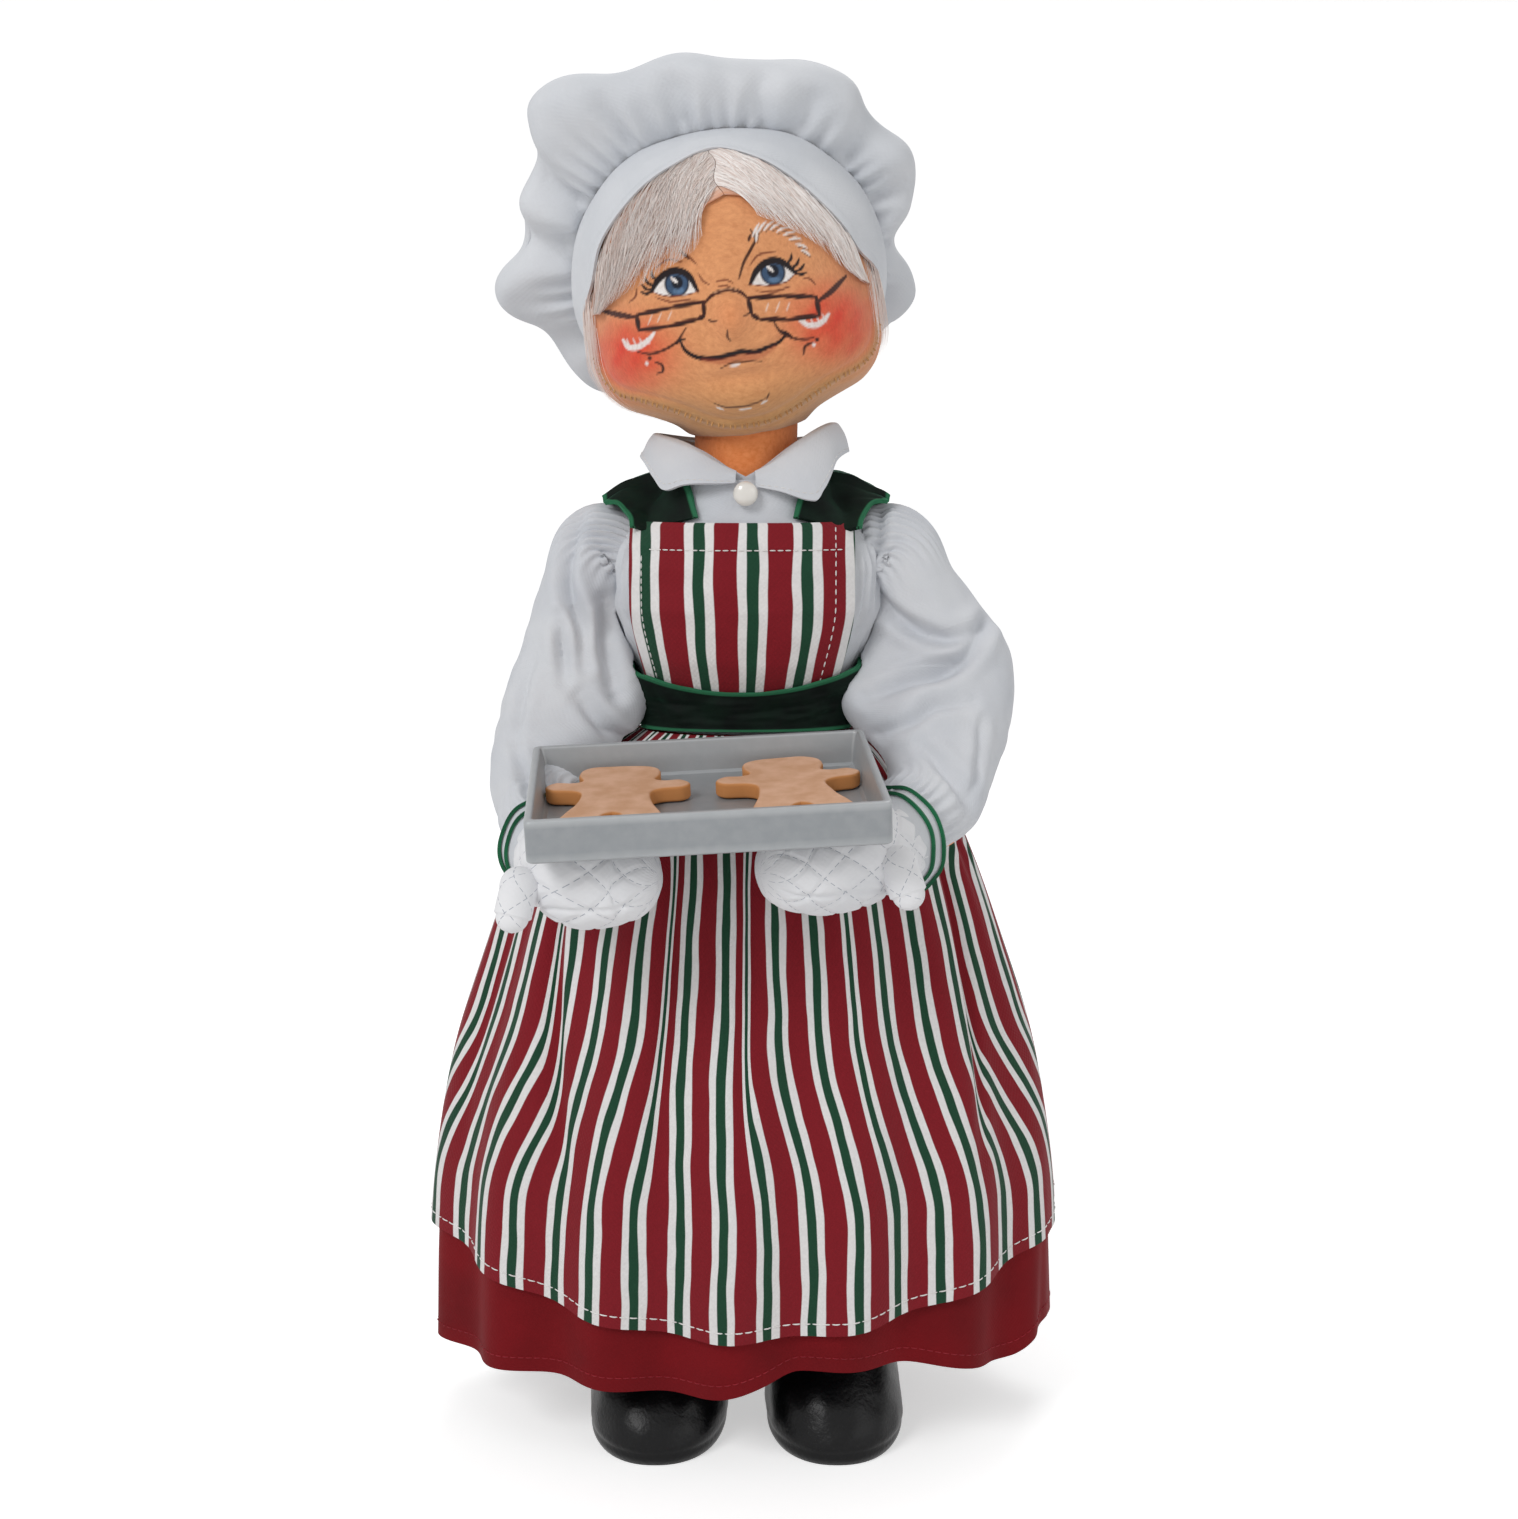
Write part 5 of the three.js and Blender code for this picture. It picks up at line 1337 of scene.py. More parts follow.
cut_row = int(SLEEVE_SPLIT * SLEEVE_ROWS)
for name, s in SIDES.items():
    grid, middle = sleeve_grid(name, s)
    uv = lengths_uv(grid, True, 105)
    upper = piece(f"{name}_sleeve_upper", [
        (patch(grid[:cut_row + 1], True, COTTON, middle[:cut_row + 1], uv[:cut_row + 1]), white_cotton)],
        None, [f"{name}_sleeve"], "white_cotton", crisp=70)
    lower = piece(f"{name}_sleeve_lower", [
        (patch(grid[cut_row:], True, COTTON, middle[cut_row:], uv[cut_row:]), white_cotton)],
        None, [f"{name}_sleeve"], "white_cotton", crisp=70)
    shoulder, elbow, wrist = (np.array(p, float) for p in arm_points[name])
    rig.blend(upper, "trunk", f"{name}_upper", at(shoulder + [-s * 4, 0, 3]), at(shoulder + [s * 4, 0, -8]))
    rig.blend(lower, f"{name}_upper", f"{name}_lower", at(elbow + [-s, 2, 10]), at(elbow + [-s, -12, -8]))
    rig.sheet(upper, flat=(0.105, 0.05), held="gathered", rests_on=[f"{name}_felt_upper_arm"])
    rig.sheet(lower, flat=(0.105, 0.062), held="gathered", rests_on=[f"{name}_felt_lower_arm"])

# %% [markdown]
# ## Collar and button
# A stand of folded cotton circles the neck, and two pointed leaves turn down from it. They
# are pressed flat, with a stitched edge, and part at the front over a half-pearl button.

# %% Collar
def around_neck(a, radius, z):
    """Points round the upright axis; angle 0 is the front."""
    return np.stack([radius * np.sin(a), -radius * np.cos(a), z + 0 * a], -1)


STAND_RADIUS = COLLAR_OPENING - 0.4
stand_foot = SHOULDER + 16
fold_line = profile([[0, 18.0, 270.8], [18, 18.6, 273.8], [45, 21.0, 279.4], [75, 22.8, 281.6],
                     [100, 22.6, 281.8], [140, 21.0, 280.6], [180, 20.0, 279.8]])
RAISED = {"left": 3.2, "right": 0.0}


def raised(name, turn):
    """How much higher the fold stands beside the cheek toward which the head does not lean."""
    return RAISED[name] * bell(turn, 72, 34)


stand_share = np.linspace(0, 1, 18)[:, None]
stand_a = full_turn(160)[None, :]
stand_degrees = np.degrees(stand_a)
radius_top, stand_top = np.moveaxis(fold_line(np.abs(stand_degrees)), -1, 0)
stand_top = stand_top + np.where(stand_a > 0, raised("left", stand_degrees), raised("right", -stand_degrees))
stand_top = stand_top - 1.6 * ease(20, 60, np.abs(stand_degrees))
stand_z = stand_foot + (stand_top - stand_foot) * stand_share
stand_radius = STAND_RADIUS + (radius_top - 0.4 - STAND_RADIUS) * stand_share**1.5
stand_grid = around_neck(stand_a + 0 * stand_share, stand_radius, stand_z)
collar_stand = piece("collar_stand_band", [(patch(stand_grid, True, COTTON, (0, 0, 275)), white_cotton)],
                     "trunk", ["collar_stand"], "white_cotton")
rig.sheet(collar_stand, flat=(0.135, 0.013), held="stretched", rests_on=["cotton_blouse"])

leaf_edges = {
    "left": profile([[7, 20.4, 267.6], [22, 22.8, 266.2], [40, 27.2, 263.8], [46, 27, 266.4],
                     [64, 26.6, 274.5], [100, 26.6, 276], [140, 25.2, 274], [178, 24.0, 272.6]]),
    "right": profile([[7, 20.6, 268.6], [20, 22.6, 268.2], [38, 25.6, 267.8], [50, 27.4, 266.6],
                      [60, 27.4, 269.6], [76, 27.2, 273.6], [100, 27.0, 275], [140, 25.4, 273.5],
                      [178, 24.0, 272.6]])}
for name, s in SIDES.items():
    turn = np.concatenate([np.linspace(7, 70, 110, endpoint=False), np.linspace(70, 178, 70)])[None, :]
    share = np.linspace(0, 1, 36)[:, None]
    top_radius, top_z = np.moveaxis(fold_line(turn), -1, 0)
    top_z = top_z + raised(name, turn)
    foot_radius, foot_z = np.moveaxis(leaf_edges[name](turn), -1, 0)
    roll = np.sin(np.pi / 2 * np.clip(share * 7, 0, 1))
    bow = 1.1 * np.sin(np.pi * share) * (1 - 0.5 * share)
    flat = np.stack([turn * 0.45 + 0 * share, share * 12 + 0 * turn, 0 * turn * share], -1)
    soft = 0.5 * ripple(31 + s, flat, 14)
    radius = top_radius + GAP + 0.8 * roll + (foot_radius - top_radius) * share + bow + soft * share
    z = top_z + 0.9 * roll + (foot_z - top_z) * share + 0.4 * soft * share
    leaf_grid = around_neck(np.radians(turn) * s, radius, z)
    leaf_out = normals(leaf_grid, False, (0, 0, 240))
    border = leaf_grid[-5, 4:-2]
    leaf = piece(f"collar_leaf_{name}", [
        (patch(leaf_grid, False, COTTON, (0, 0, 240)), white_cotton),
        (threads(border, leaf_out[-5, 4:-2], 44, 1.3, 0.1), white_thread)],
        "trunk", [f"collar_{name}"], "white_cotton")
    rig.sheet(leaf, flat=(0.08, 0.0115), held="folded", rests_on=["collar_stand_band"])

# %% Half-pearl button
button_z = SHOULDER + 14.5
pearl_turn = np.linspace(0.02, np.pi - 0.02, 24)[:, None]
pearl_a = full_turn(48)[None, :]
pearl_radius = 6.5 / 2
button_y = -float(blouse_reach(np.array(0.0), np.array(button_z), GAP + pearl_radius / 2 + 0.2))
pearl_grid = np.stack([pearl_radius * np.sin(pearl_turn) * np.cos(pearl_a),
                       button_y - 0.55 * pearl_radius * np.cos(pearl_turn) + 0 * pearl_a,
                       button_z + pearl_radius * np.sin(pearl_turn) * np.sin(pearl_a)], -1)
piece("half_pearl_button", [(patch(pearl_grid, True, core=(0, button_y, button_z)), pearl_plastic)],
      "trunk", ["pearl_button"], "pearl_plastic")

# %% [markdown]
# ## The head
# The head is a stuffed ball of felt whose face is a fine grid, so that the painted features
# can be laid on it as colours at its points, with each brush stroke a short curve with its
# own width. Its frame leans to the doll's right by seven degrees, and its foot is hollow
# where the neck enters.

# %% Head frame and size
TILT = np.radians(7)


def from_head(points):
    """Turns points of the leaning head frame into the doll's frame."""
    x, y, z = np.moveaxis(points, -1, 0)
    across = x * np.cos(TILT) - z * np.sin(TILT)
    up = x * np.sin(TILT) + z * np.cos(TILT) + HEAD_PIVOT
    return np.stack([across, y, up], -1)


HEAD_LOW, HEAD_HIGH = -6.6, 73.0
head_size = profile([
    [HEAD_LOW, 5, 8, 8], [-5, 13, 18, 16], [0, 20, 25.5, 22], [6, 32.5, 29.5, 26], [14, 38, 31.5, 28.5],
    [22, 38.6, 32.5, 29.5], [34, 37.6, 33, 30], [46, 35, 31.5, 29], [56, 30.5, 28, 27], [64, 23.5, 22.5, 22],
    [70, 14.5, 14, 14], [HEAD_HIGH, 5, 5, 5]])


def head_at(phi, z, grow=0.0):
    """A point on the head: its front and back are half ovals; -90 degrees is the front."""
    half = head_size(z)
    c, s = np.cos(phi), np.sin(phi)
    depth = np.where(s < 0, half[..., 1], half[..., 2]) + grow
    return np.stack([(half[..., 0] + grow) * c, depth * s, z + 0 * phi], -1)


def front_depth(x, z):
    """The y of the face at a place across and up."""
    half = head_size(z)
    return -half[..., 1] * np.sqrt(np.clip(1 - (x / half[..., 0]) ** 2, 0.0025, 1))


def head_ray(start, direction, grow):
    """Where rays from a point leave the grown head: halving finds the spot on all rays at once."""
    def past_head(reach):
        p = start + direction * reach[..., None]
        half = head_size(p[..., 2])
        depth = np.where(p[..., 1] < 0, half[..., 1], half[..., 2]) + grow
        level = np.hypot(p[..., 0] / (half[..., 0] + grow), p[..., 1] / depth)
        return (level > 1) | (p[..., 2] < HEAD_LOW - grow) | (p[..., 2] > HEAD_HIGH + grow)

    near = halve(np.zeros(direction.shape[:-1]), np.full(direction.shape[:-1], 80.0), past_head)[0]
    return start + direction * near[..., None]


face_turn = np.concatenate([np.linspace(-172, -8, 330), np.linspace(-8, 188, 62)[1:-1]])
phi = np.radians(face_turn)
NECK_ROOM, CONE_TOP, CONE_SLOPE = 14.3, 0.5, 0.393
HEAD_FOOT, HEAD_TOP = -5.4, 72.6


def cone_radius(z):
    """Radius of the hollow for the neck, which widens downward like a cone."""
    return NECK_ROOM + (CONE_TOP - z) * CONE_SLOPE


foot = halve(np.full_like(phi, -6.4), np.full_like(phi, 2.0),
             lambda z: np.linalg.norm(head_at(phi, z)[:, :2], axis=1) > cone_radius(z))[1]
meridian = np.linspace(HEAD_FOOT, HEAD_TOP, 800)
steps_along = np.hypot(np.diff(meridian), np.diff(head_size(meridian)[:, 1]))
run = np.concatenate([[0], np.cumsum(steps_along)])
rows_at = np.interp(np.linspace(0, run[-1], 225), run, meridian)
row_share = ((rows_at - HEAD_FOOT) / (HEAD_TOP - HEAD_FOOT))[:, None]
head_z = foot[None, :] + (HEAD_TOP - foot[None, :]) * row_share
head_grid = head_at(phi[None, :] + 0 * head_z, head_z)
print("face points:", head_grid.shape[:2])

# %% [markdown]
# ## Modelling and painting the face
# The felt mask is lightly moulded: a small nose, full cheeks, a chin and the smile's hollow.
# The paint is brushed on dry, so blush and shadow fade softly while lashes, glasses and mouth
# are thin dark strokes. Strokes are curves through three to six points in the face's own
# millimetres, across and up from the head's pivot, and they taper at both ends.

# %% Moulded relief
fx, fz = head_grid[..., 0], head_grid[..., 2]
in_front = head_grid[..., 1] < 0
flat_face = np.stack([fx, fz], -1)
# rise, place across and up, reach across and up: nose, bridge, cheeks, chin, lip, hollow, eye sockets
mounds = [(2.6, -0.6, 23.5, 4.4, 5), (0.8, -0.4, 31, 3, 6), (1.3, -24.5, 17, 10, 8.5),
          (1.3, 24, 17, 10, 8.5), (1.5, 0.5, 3.5, 9, 4.6), (0.7, 0.5, 12.5, 6, 2.2),
          (-0.8, 0.5, 9.2, 11, 2), (-0.9, -14, 34, 8, 6), (-0.9, 11.5, 34, 8, 6)]
relief = sum(rise * np.exp(-((fx - x) / wide) ** 2 - ((fz - z) / tall) ** 2)
             for rise, x, z, wide, tall in mounds)
smile = spline([(-15, 20), (-11, 15.8), (-4, 14.6), (3, 14.9), (9, 16), (12.5, 18.6)], 60)
relief -= 0.5 * bell(distance(flat_face, smile)[0], 0, 1.1)
jaw_seam = np.array([(-37.4, 21), (-35.6, 14.2), (-32, 9.8), (-26, 7.2), (-18, 3.6), (-10, -0.4), (-3, -2.3),
                     (4, -2.2), (11, -0.2), (18, 3.2), (25, 6.8), (31.5, 9.6), (35.4, 13.8), (37.4, 20.5)])
seam_line = spline(jaw_seam, 160)
seam_reach = distance(flat_face, seam_line)[0]
relief += 0.35 * bell(seam_reach, 0, 0.8) - 0.28 * bell(seam_reach, 1.5, 0.6)
relief += 0.12 * ripple(41, head_grid, 9)
head_out = normals(head_grid, True, (0, 0, 32))
shaped_head = head_grid + head_out * (relief * in_front)[..., None]
print("the nose rises by", round(float(relief[in_front].max()), 1), "mm")

# %% Painted colours
def linear(hexadecimal):
    """The first three values of a linear colour, for use in arrays."""
    return np.array(paint(hexadecimal)[:3])


def blend_in(colours, colour, amount):
    """Lays a colour over the painted ones where the amount is over 0."""
    return colours + (linear(colour) - colours) * np.clip(amount, 0, 1)[..., None]


BROWN, DARK, SOFT, WHITE = "#3a1a12", "#1c0f12", "#7a3a24", "#f6f2f0"
IRIS, NAVY, GLASSES = "#3c5778", "#141e33", "#4a1f14"
colours = np.broadcast_to(linear("#eca571"), head_grid.shape).copy()
mottle = 0.5 + 0.5 * ripple(42, head_grid, 12)
colours = blend_in(colours, "#d99260", 0.18 * mottle)
# Painted shade under the jaw: the felt turns tan below the cheeks toward the chin.
colours = blend_in(colours, "#cf9a62", 0.85 * (1 - ease(-2, 13, fz)))
for blush_x, blush_z, wide, tall in ((-27.6, 18.4, 11.8, 9.4), (25.4, 20.0, 11.6, 9.6)):
    spot = np.hypot((fx - blush_x) / wide, (fz - blush_z) / tall)
    fade = np.exp(-spot**3) * (0.92 + 0.14 * ripple(43, head_grid, 5))
    colours = blend_in(colours, "#e8452c", 0.94 * fade * in_front)
nose_tip = np.hypot(fx + 0.6, fz - 24.5)
colours = blend_in(colours, "#f0905c", 0.35 * np.exp(-(nose_tip / 4.5) ** 2))
colours = blend_in(colours, "#c79a63", 0.7 * bell(seam_reach, 0, 0.9) * in_front)
print("the jaw's seam is", round(float(length_along(seam_line)[-1])), "mm long")


def brush(colour, line, width, strength=1.0, soft=0.3):
    """A tapering stroke along a smooth curve: full within half its width, fading over the soft edge."""
    curve = spline(line, 40) if len(line) > 2 else np.array(line, float)
    low, high = curve.min(0) - width - 1, curve.max(0) + width + 1
    near = np.all((flat_face > low) & (flat_face < high), axis=-1) & in_front
    reach, share = distance(flat_face[near], curve)
    half = width / 2 * (0.4 + 0.6 * np.sin(np.pi * np.clip(share, 0.02, 0.98)) ** 0.7)
    amount = strength * (1 - ease(half - soft / 2, half + soft / 2, reach))
    colours[near] = blend_in(colours[near], colour, amount)


def dab(colour, x, z, wide, tall, strength=1.0, soft=0.35):
    """An oval dab of paint."""
    spot = np.hypot((fx - x) / wide, (fz - z) / tall)
    edge = soft / min(wide, tall)
    amount = strength * (1 - ease(1 - edge, 1 + edge * 0.4, spot)) * in_front
    colours[...] = blend_in(colours, colour, amount)


def lids(upper, lower):
    """Heights of an upper and a lower curve over each face point; past their ends they swap sides."""
    top, foot_line = spline(upper, 60), spline(lower, 60)
    above = np.interp(fx, top[:, 0], top[:, 1], left=-99, right=-99)
    below = np.interp(fx, foot_line[:, 0], foot_line[:, 1], left=99, right=99)
    return above, below


def fill_between(colour, upper, lower, strength=1.0):
    """Fills the almond between an upper and a lower curve over the same stretch across."""
    above, below = lids(upper, lower)
    inside = ease(-0.15, 0.15, above - fz) * ease(-0.15, 0.15, fz - below) * in_front
    colours[...] = blend_in(colours, colour, strength * inside)


# %% Eyes
right_upper = [(-20.0, 33.2), (-18.2, 35.6), (-15.6, 37.2), (-12.6, 37.3), (-10.2, 35.9), (-8.2, 31.6)]
right_lower = [(-20.0, 33.2), (-17.6, 31.9), (-14.6, 31.2), (-11.4, 31.0), (-8.2, 31.6)]
left_upper = [(5.2, 31.6), (7.3, 34.8), (10, 36.6), (12.8, 36.8), (15.2, 35.4), (17.2, 33.2)]
left_lower = [(5.2, 31.6), (8.2, 31.0), (11.6, 30.8), (14.8, 31.4), (17.2, 33.2)]
eyes = ((right_upper, right_lower, -13.4, 34.2), (left_upper, left_lower, 11.4, 34.0))
for upper, lower, iris_x, iris_z in eyes:
    fill_between(WHITE, upper, lower)
    kept = colours.copy()
    dab(NAVY, iris_x, iris_z, 3.35, 3.4)
    dab(IRIS, iris_x, iris_z - 0.1, 2.85, 2.9)
    dab("#6c8fb4", iris_x + 0.2, iris_z - 1.8, 1.7, 0.9, 0.6)
    dab("#0c1222", iris_x + 0.1, iris_z + 0.3, 1.6, 1.75)
    above, below = lids(upper, lower)
    outside = (fz > above) | (fz < below)
    colours[outside] = kept[outside]
    brush(WHITE, [(iris_x - 1.3, iris_z + 1.7), (iris_x + 0.1, iris_z + 0.3)], 0.85)
    brush(DARK, upper, 1.8)
    brush(SOFT, lower, 0.4)
lashes = [
    [(-19.8, 33.6), (-21.2, 34.0), (-22.2, 35.3)], [(-19.2, 34.6), (-20.6, 35.4), (-21.2, 36.9)],
    [(-18.2, 35.8), (-19.2, 36.9), (-19.3, 38.2)], [(-20.0, 33.1), (-21.4, 32.9), (-22.6, 33.5)],
    [(16.9, 33.6), (18.4, 34.0), (19.5, 35.2)], [(16.2, 34.6), (17.6, 35.3), (18.4, 36.7)],
    [(15.2, 35.8), (16.3, 36.8), (16.6, 38.0)], [(17.2, 33.1), (18.6, 32.8), (19.9, 33.2)]]
for lash in lashes:
    brush(DARK, lash, 0.8)
creases = [[(-18.3, 38.8), (-14.6, 40.4), (-11.0, 39.2)], [(5.8, 36.4), (8.2, 38.6), (12.6, 38.9)],
           [(-9.8, 41.0), (-7.6, 38.2)], [(-7.5, 35.8), (-6.4, 33.8), (-5.0, 32.8)],
           [(-23.6, 34.6), (-24.2, 32.6), (-25.9, 31.5)], [(18.6, 31.9), (20.4, 31.4), (21.6, 29.9)],
           [(-19.2, 31.6), (-15.2, 29.9), (-10.4, 29.9)], [(6.6, 29.7), (11.4, 29.2), (15.4, 30.1)],
           [(-3.2, 33.2), (-0.9, 33.4), (0.9, 32.5)], [(-2.8, 31.9), (-0.8, 31.9), (0.4, 31.2)]]
for line in creases:
    brush(SOFT, line, 0.55, 0.9)
print("lashes:", len(lashes), "and creases:", len(creases))

# %% Brows, nose and mouth
for line in ([(6.9, 45.0), (7.9, 42.6), (6.6, 40.4), (4.4, 37.4), (2.6, 33.4)],
             [(6.8, 43.8), (6.0, 42.2)], [(-11.6, 42.6), (-9.4, 39.8)]):
    brush(BROWN, line, 0.8, 0.95)
brow_hairs = [((7.2, 43.2), (9.2, 46.2)), ((8.6, 44.0), (11.0, 46.6)), ((10.2, 44.4), (12.8, 46.4)),
              ((11.8, 44.4), (14.6, 45.8)), ((13.4, 43.8), (16.4, 44.6)), ((15.0, 42.8), (18.0, 43.2)),
              ((16.4, 41.6), (19.4, 41.4)), ((17.8, 40.2), (20.6, 39.2)), ((8.0, 42.0), (8.6, 44.8)),
              ((19.0, 38.8), (21.2, 37.2))]
for (x0, z0), (x1, z1) in brow_hairs:
    brush("#5b3a30", [(x0 + 0.3, z0 - 0.5), (x1 + 0.3, z1 - 0.5)], 0.35, 0.8)
    brush(WHITE, [(x0, z0), ((x0 + x1) / 2, (z0 + z1) / 2 + 0.3), (x1, z1)], 0.62, 0.95)
for line, width in (([(-6.4, 24.4), (-5.2, 23.7), (-4.0, 23.9)], 0.6),
                    ([(2.6, 24.2), (4.0, 24.6), (4.9, 25.6)], 0.5),
                    ([(-1.8, 21.2), (-2.0, 19.5), (-1.3, 18.4)], 0.5)):
    brush(BROWN, line, width, 0.95)
brush(DARK, [(-14.2, 20.2), (-13.2, 17.6), (-10.8, 15.6), (-6.8, 14.7), (-3.0, 14.9), (1.0, 15.4),
             (4.4, 14.9), (7.6, 15.7), (10.6, 16.6), (12.6, 18.2)], 1.35)
brush("#a5402c", [(-9.2, 14.6), (-4.4, 13.6), (0.6, 14.0), (5.6, 13.9), (9.6, 15.6)], 1.5, 0.5, 0.9)
brush(DARK, [(-15.4, 19.4), (-14.0, 20.3), (-12.8, 20.2)], 0.9)
brush(DARK, [(11.0, 19.4), (12.7, 18.7), (13.9, 17.6)], 0.9)
brush(BROWN, [(-4.8, 12.0), (-1.6, 13.1), (1.6, 13.0), (5.8, 12.6)], 0.5, 0.9)
brush(WHITE, [(-2.4, 12.3), (0.2, 12.4)], 0.6, 0.9)
for line in ([(-7.4, 4.0), (-4.8, 2.9), (-0.8, 2.7), (2.9, 3.1), (5.3, 3.8)], [(5.6, 3.6), (6.6, 4.9)]):
    brush(BROWN, line, 0.45, 0.9)
for line in ([(-7.0, 3.0), (-5.2, 2.2)], [(-1.4, 1.9), (1.6, 2.1)], [(4.2, 2.8), (5.8, 3.3)]):
    brush(WHITE, line, 0.5, 0.9)
print("hairs in the brow:", len(brow_hairs))

# %% Cheeks and smile lines
for line in ([(-24.7, 18.9), (-21.6, 18.0), (-18.0, 18.5), (-14.9, 20.0), (-12.2, 23.0)],
             [(9.6, 22.6), (11.3, 19.2), (14.0, 17.4), (16.8, 16.7), (19.2, 16.9)],
             [(-20.8, 15.9), (-19.2, 14.9), (-19.2, 13.4), (-20.8, 12.9)],
             [(18.9, 15.9), (16.8, 14.9), (16.4, 13.1)]):
    brush(BROWN, line, 0.7, 0.95)
for x, z in ((-21.9, 17.0), (19.9, 16.4)):
    dab(DARK, x, z, 0.6, 0.6)
    dab(WHITE, x - 0.9, z - 1.2, 0.55, 0.55)
for line, width in (([(-28.4, 22.4), (-27.0, 20.4), (-24.6, 20.1), (-22.0, 21.2), (-20.2, 22.9)], 1.5),
                    ([(16.1, 21.7), (18.2, 20.1), (20.2, 19.9), (22.1, 20.8), (23.7, 22.3)], 1.4)):
    brush(WHITE, line, width, 0.95, 0.5)
for i in range(4):
    brush(WHITE, [(-27.4 + 1.7 * i, 22.6 - 0.2 * i), (-26.6 + 1.7 * i, 20.4)], 0.4, 0.8)
    brush(WHITE, [(17.2 + 1.6 * i, 22.2 + 0.1 * i), (17.9 + 1.6 * i, 20.2)], 0.4, 0.8)
print("brightest paint:", round(float(colours.max()), 2), "in linear light")

# %% Painted glasses
right_lens = [(-24.4, 28.0), (-24.0, 24.2), (-16.6, 24.0), (-8.8, 24.8), (-7.2, 25.4), (-7.0, 28.9),
              (-15.6, 28.6), (-24.4, 28.0)]
left_lens = [(4.2, 28.4), (4.6, 24.2), (6.4, 22.9), (13.8, 22.0), (21.3, 22.2), (21.3, 26.9), (12.6, 27.9),
             (4.2, 28.4)]
for lens in (right_lens, left_lens):
    for a, b in zip(lens[:-1], lens[1:]):
        brush(GLASSES, [a, b], 1.3, 1.0, 0.3)
        brush("#240f0a", [(a[0], a[1] - 0.3), (b[0], b[1] - 0.3)], 0.6, 0.9)
for line, width in (([(-7.0, 28.2), (-4.4, 30.2), (-0.4, 30.9), (2.6, 29.9), (4.4, 27.9)], 1.1),
                    ([(-24.4, 27.4), (-28.4, 28.6), (-33.4, 30.6)], 1.5),
                    ([(21.4, 25.6), (25.2, 27.8), (29.8, 31.4)], 1.4)):
    brush(GLASSES, line, width, 1.0, 0.3)
brush("#d9a27a", [(-4.6, 30.5), (-0.6, 31.3), (2.2, 30.4)], 0.3, 0.9)
for x, z, wide in ((-21.6, 25.2, 2.2), (-19.2, 25.4, 2.4), (-16.6, 25.4, 2.4), (8.2, 24.4, 2.2),
                   (10.8, 24.2, 2.4), (13.4, 24.0, 2.2)):
    brush("#f6e2d4", [(x, z), (x + wide * 0.5, z + 2.2)], 0.4, 0.75)
print("painted points:", int(in_front.sum()))

# %% Head mesh, seam stitches and socket
socket_share = np.linspace(0, 1, 14)[1:, None]
rim = shaped_head[0]
psi = np.arctan2(rim[:, 1], rim[:, 0])[None, :]
cone_z = rim[None, :, 2] + (CONE_TOP - rim[None, :, 2]) * np.minimum(socket_share * 2.5, 1)
dome = np.clip((socket_share - 0.4) / 0.6, 0, 1) * np.radians(88)
socket_r = np.where(socket_share > 0.4, NECK_ROOM * np.cos(dome), cone_radius(cone_z))
socket_z = np.where(socket_share > 0.4, CONE_TOP + NECK_ROOM * np.sin(dome), cone_z)
socket = np.stack([socket_r * np.cos(psi), socket_r * np.sin(psi), socket_z], -1)
full_head = np.concatenate([socket[::-1], shaped_head])
socket_paint = np.broadcast_to(linear("#d58a4e"), socket.shape)
head_paint = np.concatenate([socket_paint, colours])
seam_y = front_depth(seam_line[:, 0], seam_line[:, 1])
seam_path = np.stack([seam_line[:, 0], seam_y - 0.3, seam_line[:, 1]], -1)
across_seam = unit(np.stack([-np.gradient(seam_line[:, 1]), 0 * seam_y, np.gradient(seam_line[:, 0])], -1))
ticks = np.linspace(3, 156, 62).astype(int)
outside_seam = unit(seam_path - np.array([0, 4.0, 22.0]))
tick_path = seam_path[ticks, None] + across_seam[ticks, None] * np.linspace(-1.1, 1.1, 5)[:, None]
tick_path = tick_path + outside_seam[ticks, None] * np.array([0.0, 0.55, 0.75, 0.55, 0.0])[:, None]
tick_out = np.broadcast_to(from_head(outside_seam) - from_head(np.zeros(3)), outside_seam.shape)
stitches = tubes(from_head(tick_path), 0.24, tick_out[ticks, None])
head_core = from_head(np.array([0, 0, 32.0]))
head = piece("painted_felt_head", [
    (patch(from_head(full_head), True, core=head_core, paint=head_paint), face_felt),
    (stitches, seam_thread)],
    "head_and_cap", ["head"], "face_felt")
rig.padded(head, fill=0.95)

# %% [markdown]
# ## Cap band and crown
# The cap is a smooth band round the hairline with a full circle of cotton gathered onto it.
# The gathers are tight at the seam and run out into broad soft puffs. The crown is carried
# round the band by angle, and outward by a curve that swells over the seam and then closes
# behind the head.

# %% Cap frame
CAP_LEAN = np.radians(52)
CAP_SEAT = np.array([0, 2.0, 35.0])
CAP_OUT = np.array([0, np.sin(CAP_LEAN), np.cos(CAP_LEAN)])
CAP_FORWARD = np.array([0, -np.cos(CAP_LEAN), np.sin(CAP_LEAN)])
HAIR = 2.6
BAND_WIDTH, BAND_LIFT = 11.0, HAIR + 2 * GAP + 0.5 + COTTON


def cap_on_head(a, w, grow):
    """Points on the grown head, in the cap's leaning planes; 90 degrees is the hairline's middle."""
    direction = np.cos(a)[..., None] * np.array([1.0, 0, 0]) + np.sin(a)[..., None] * CAP_FORWARD
    return head_ray(CAP_SEAT + CAP_OUT * w[..., None], direction, grow)


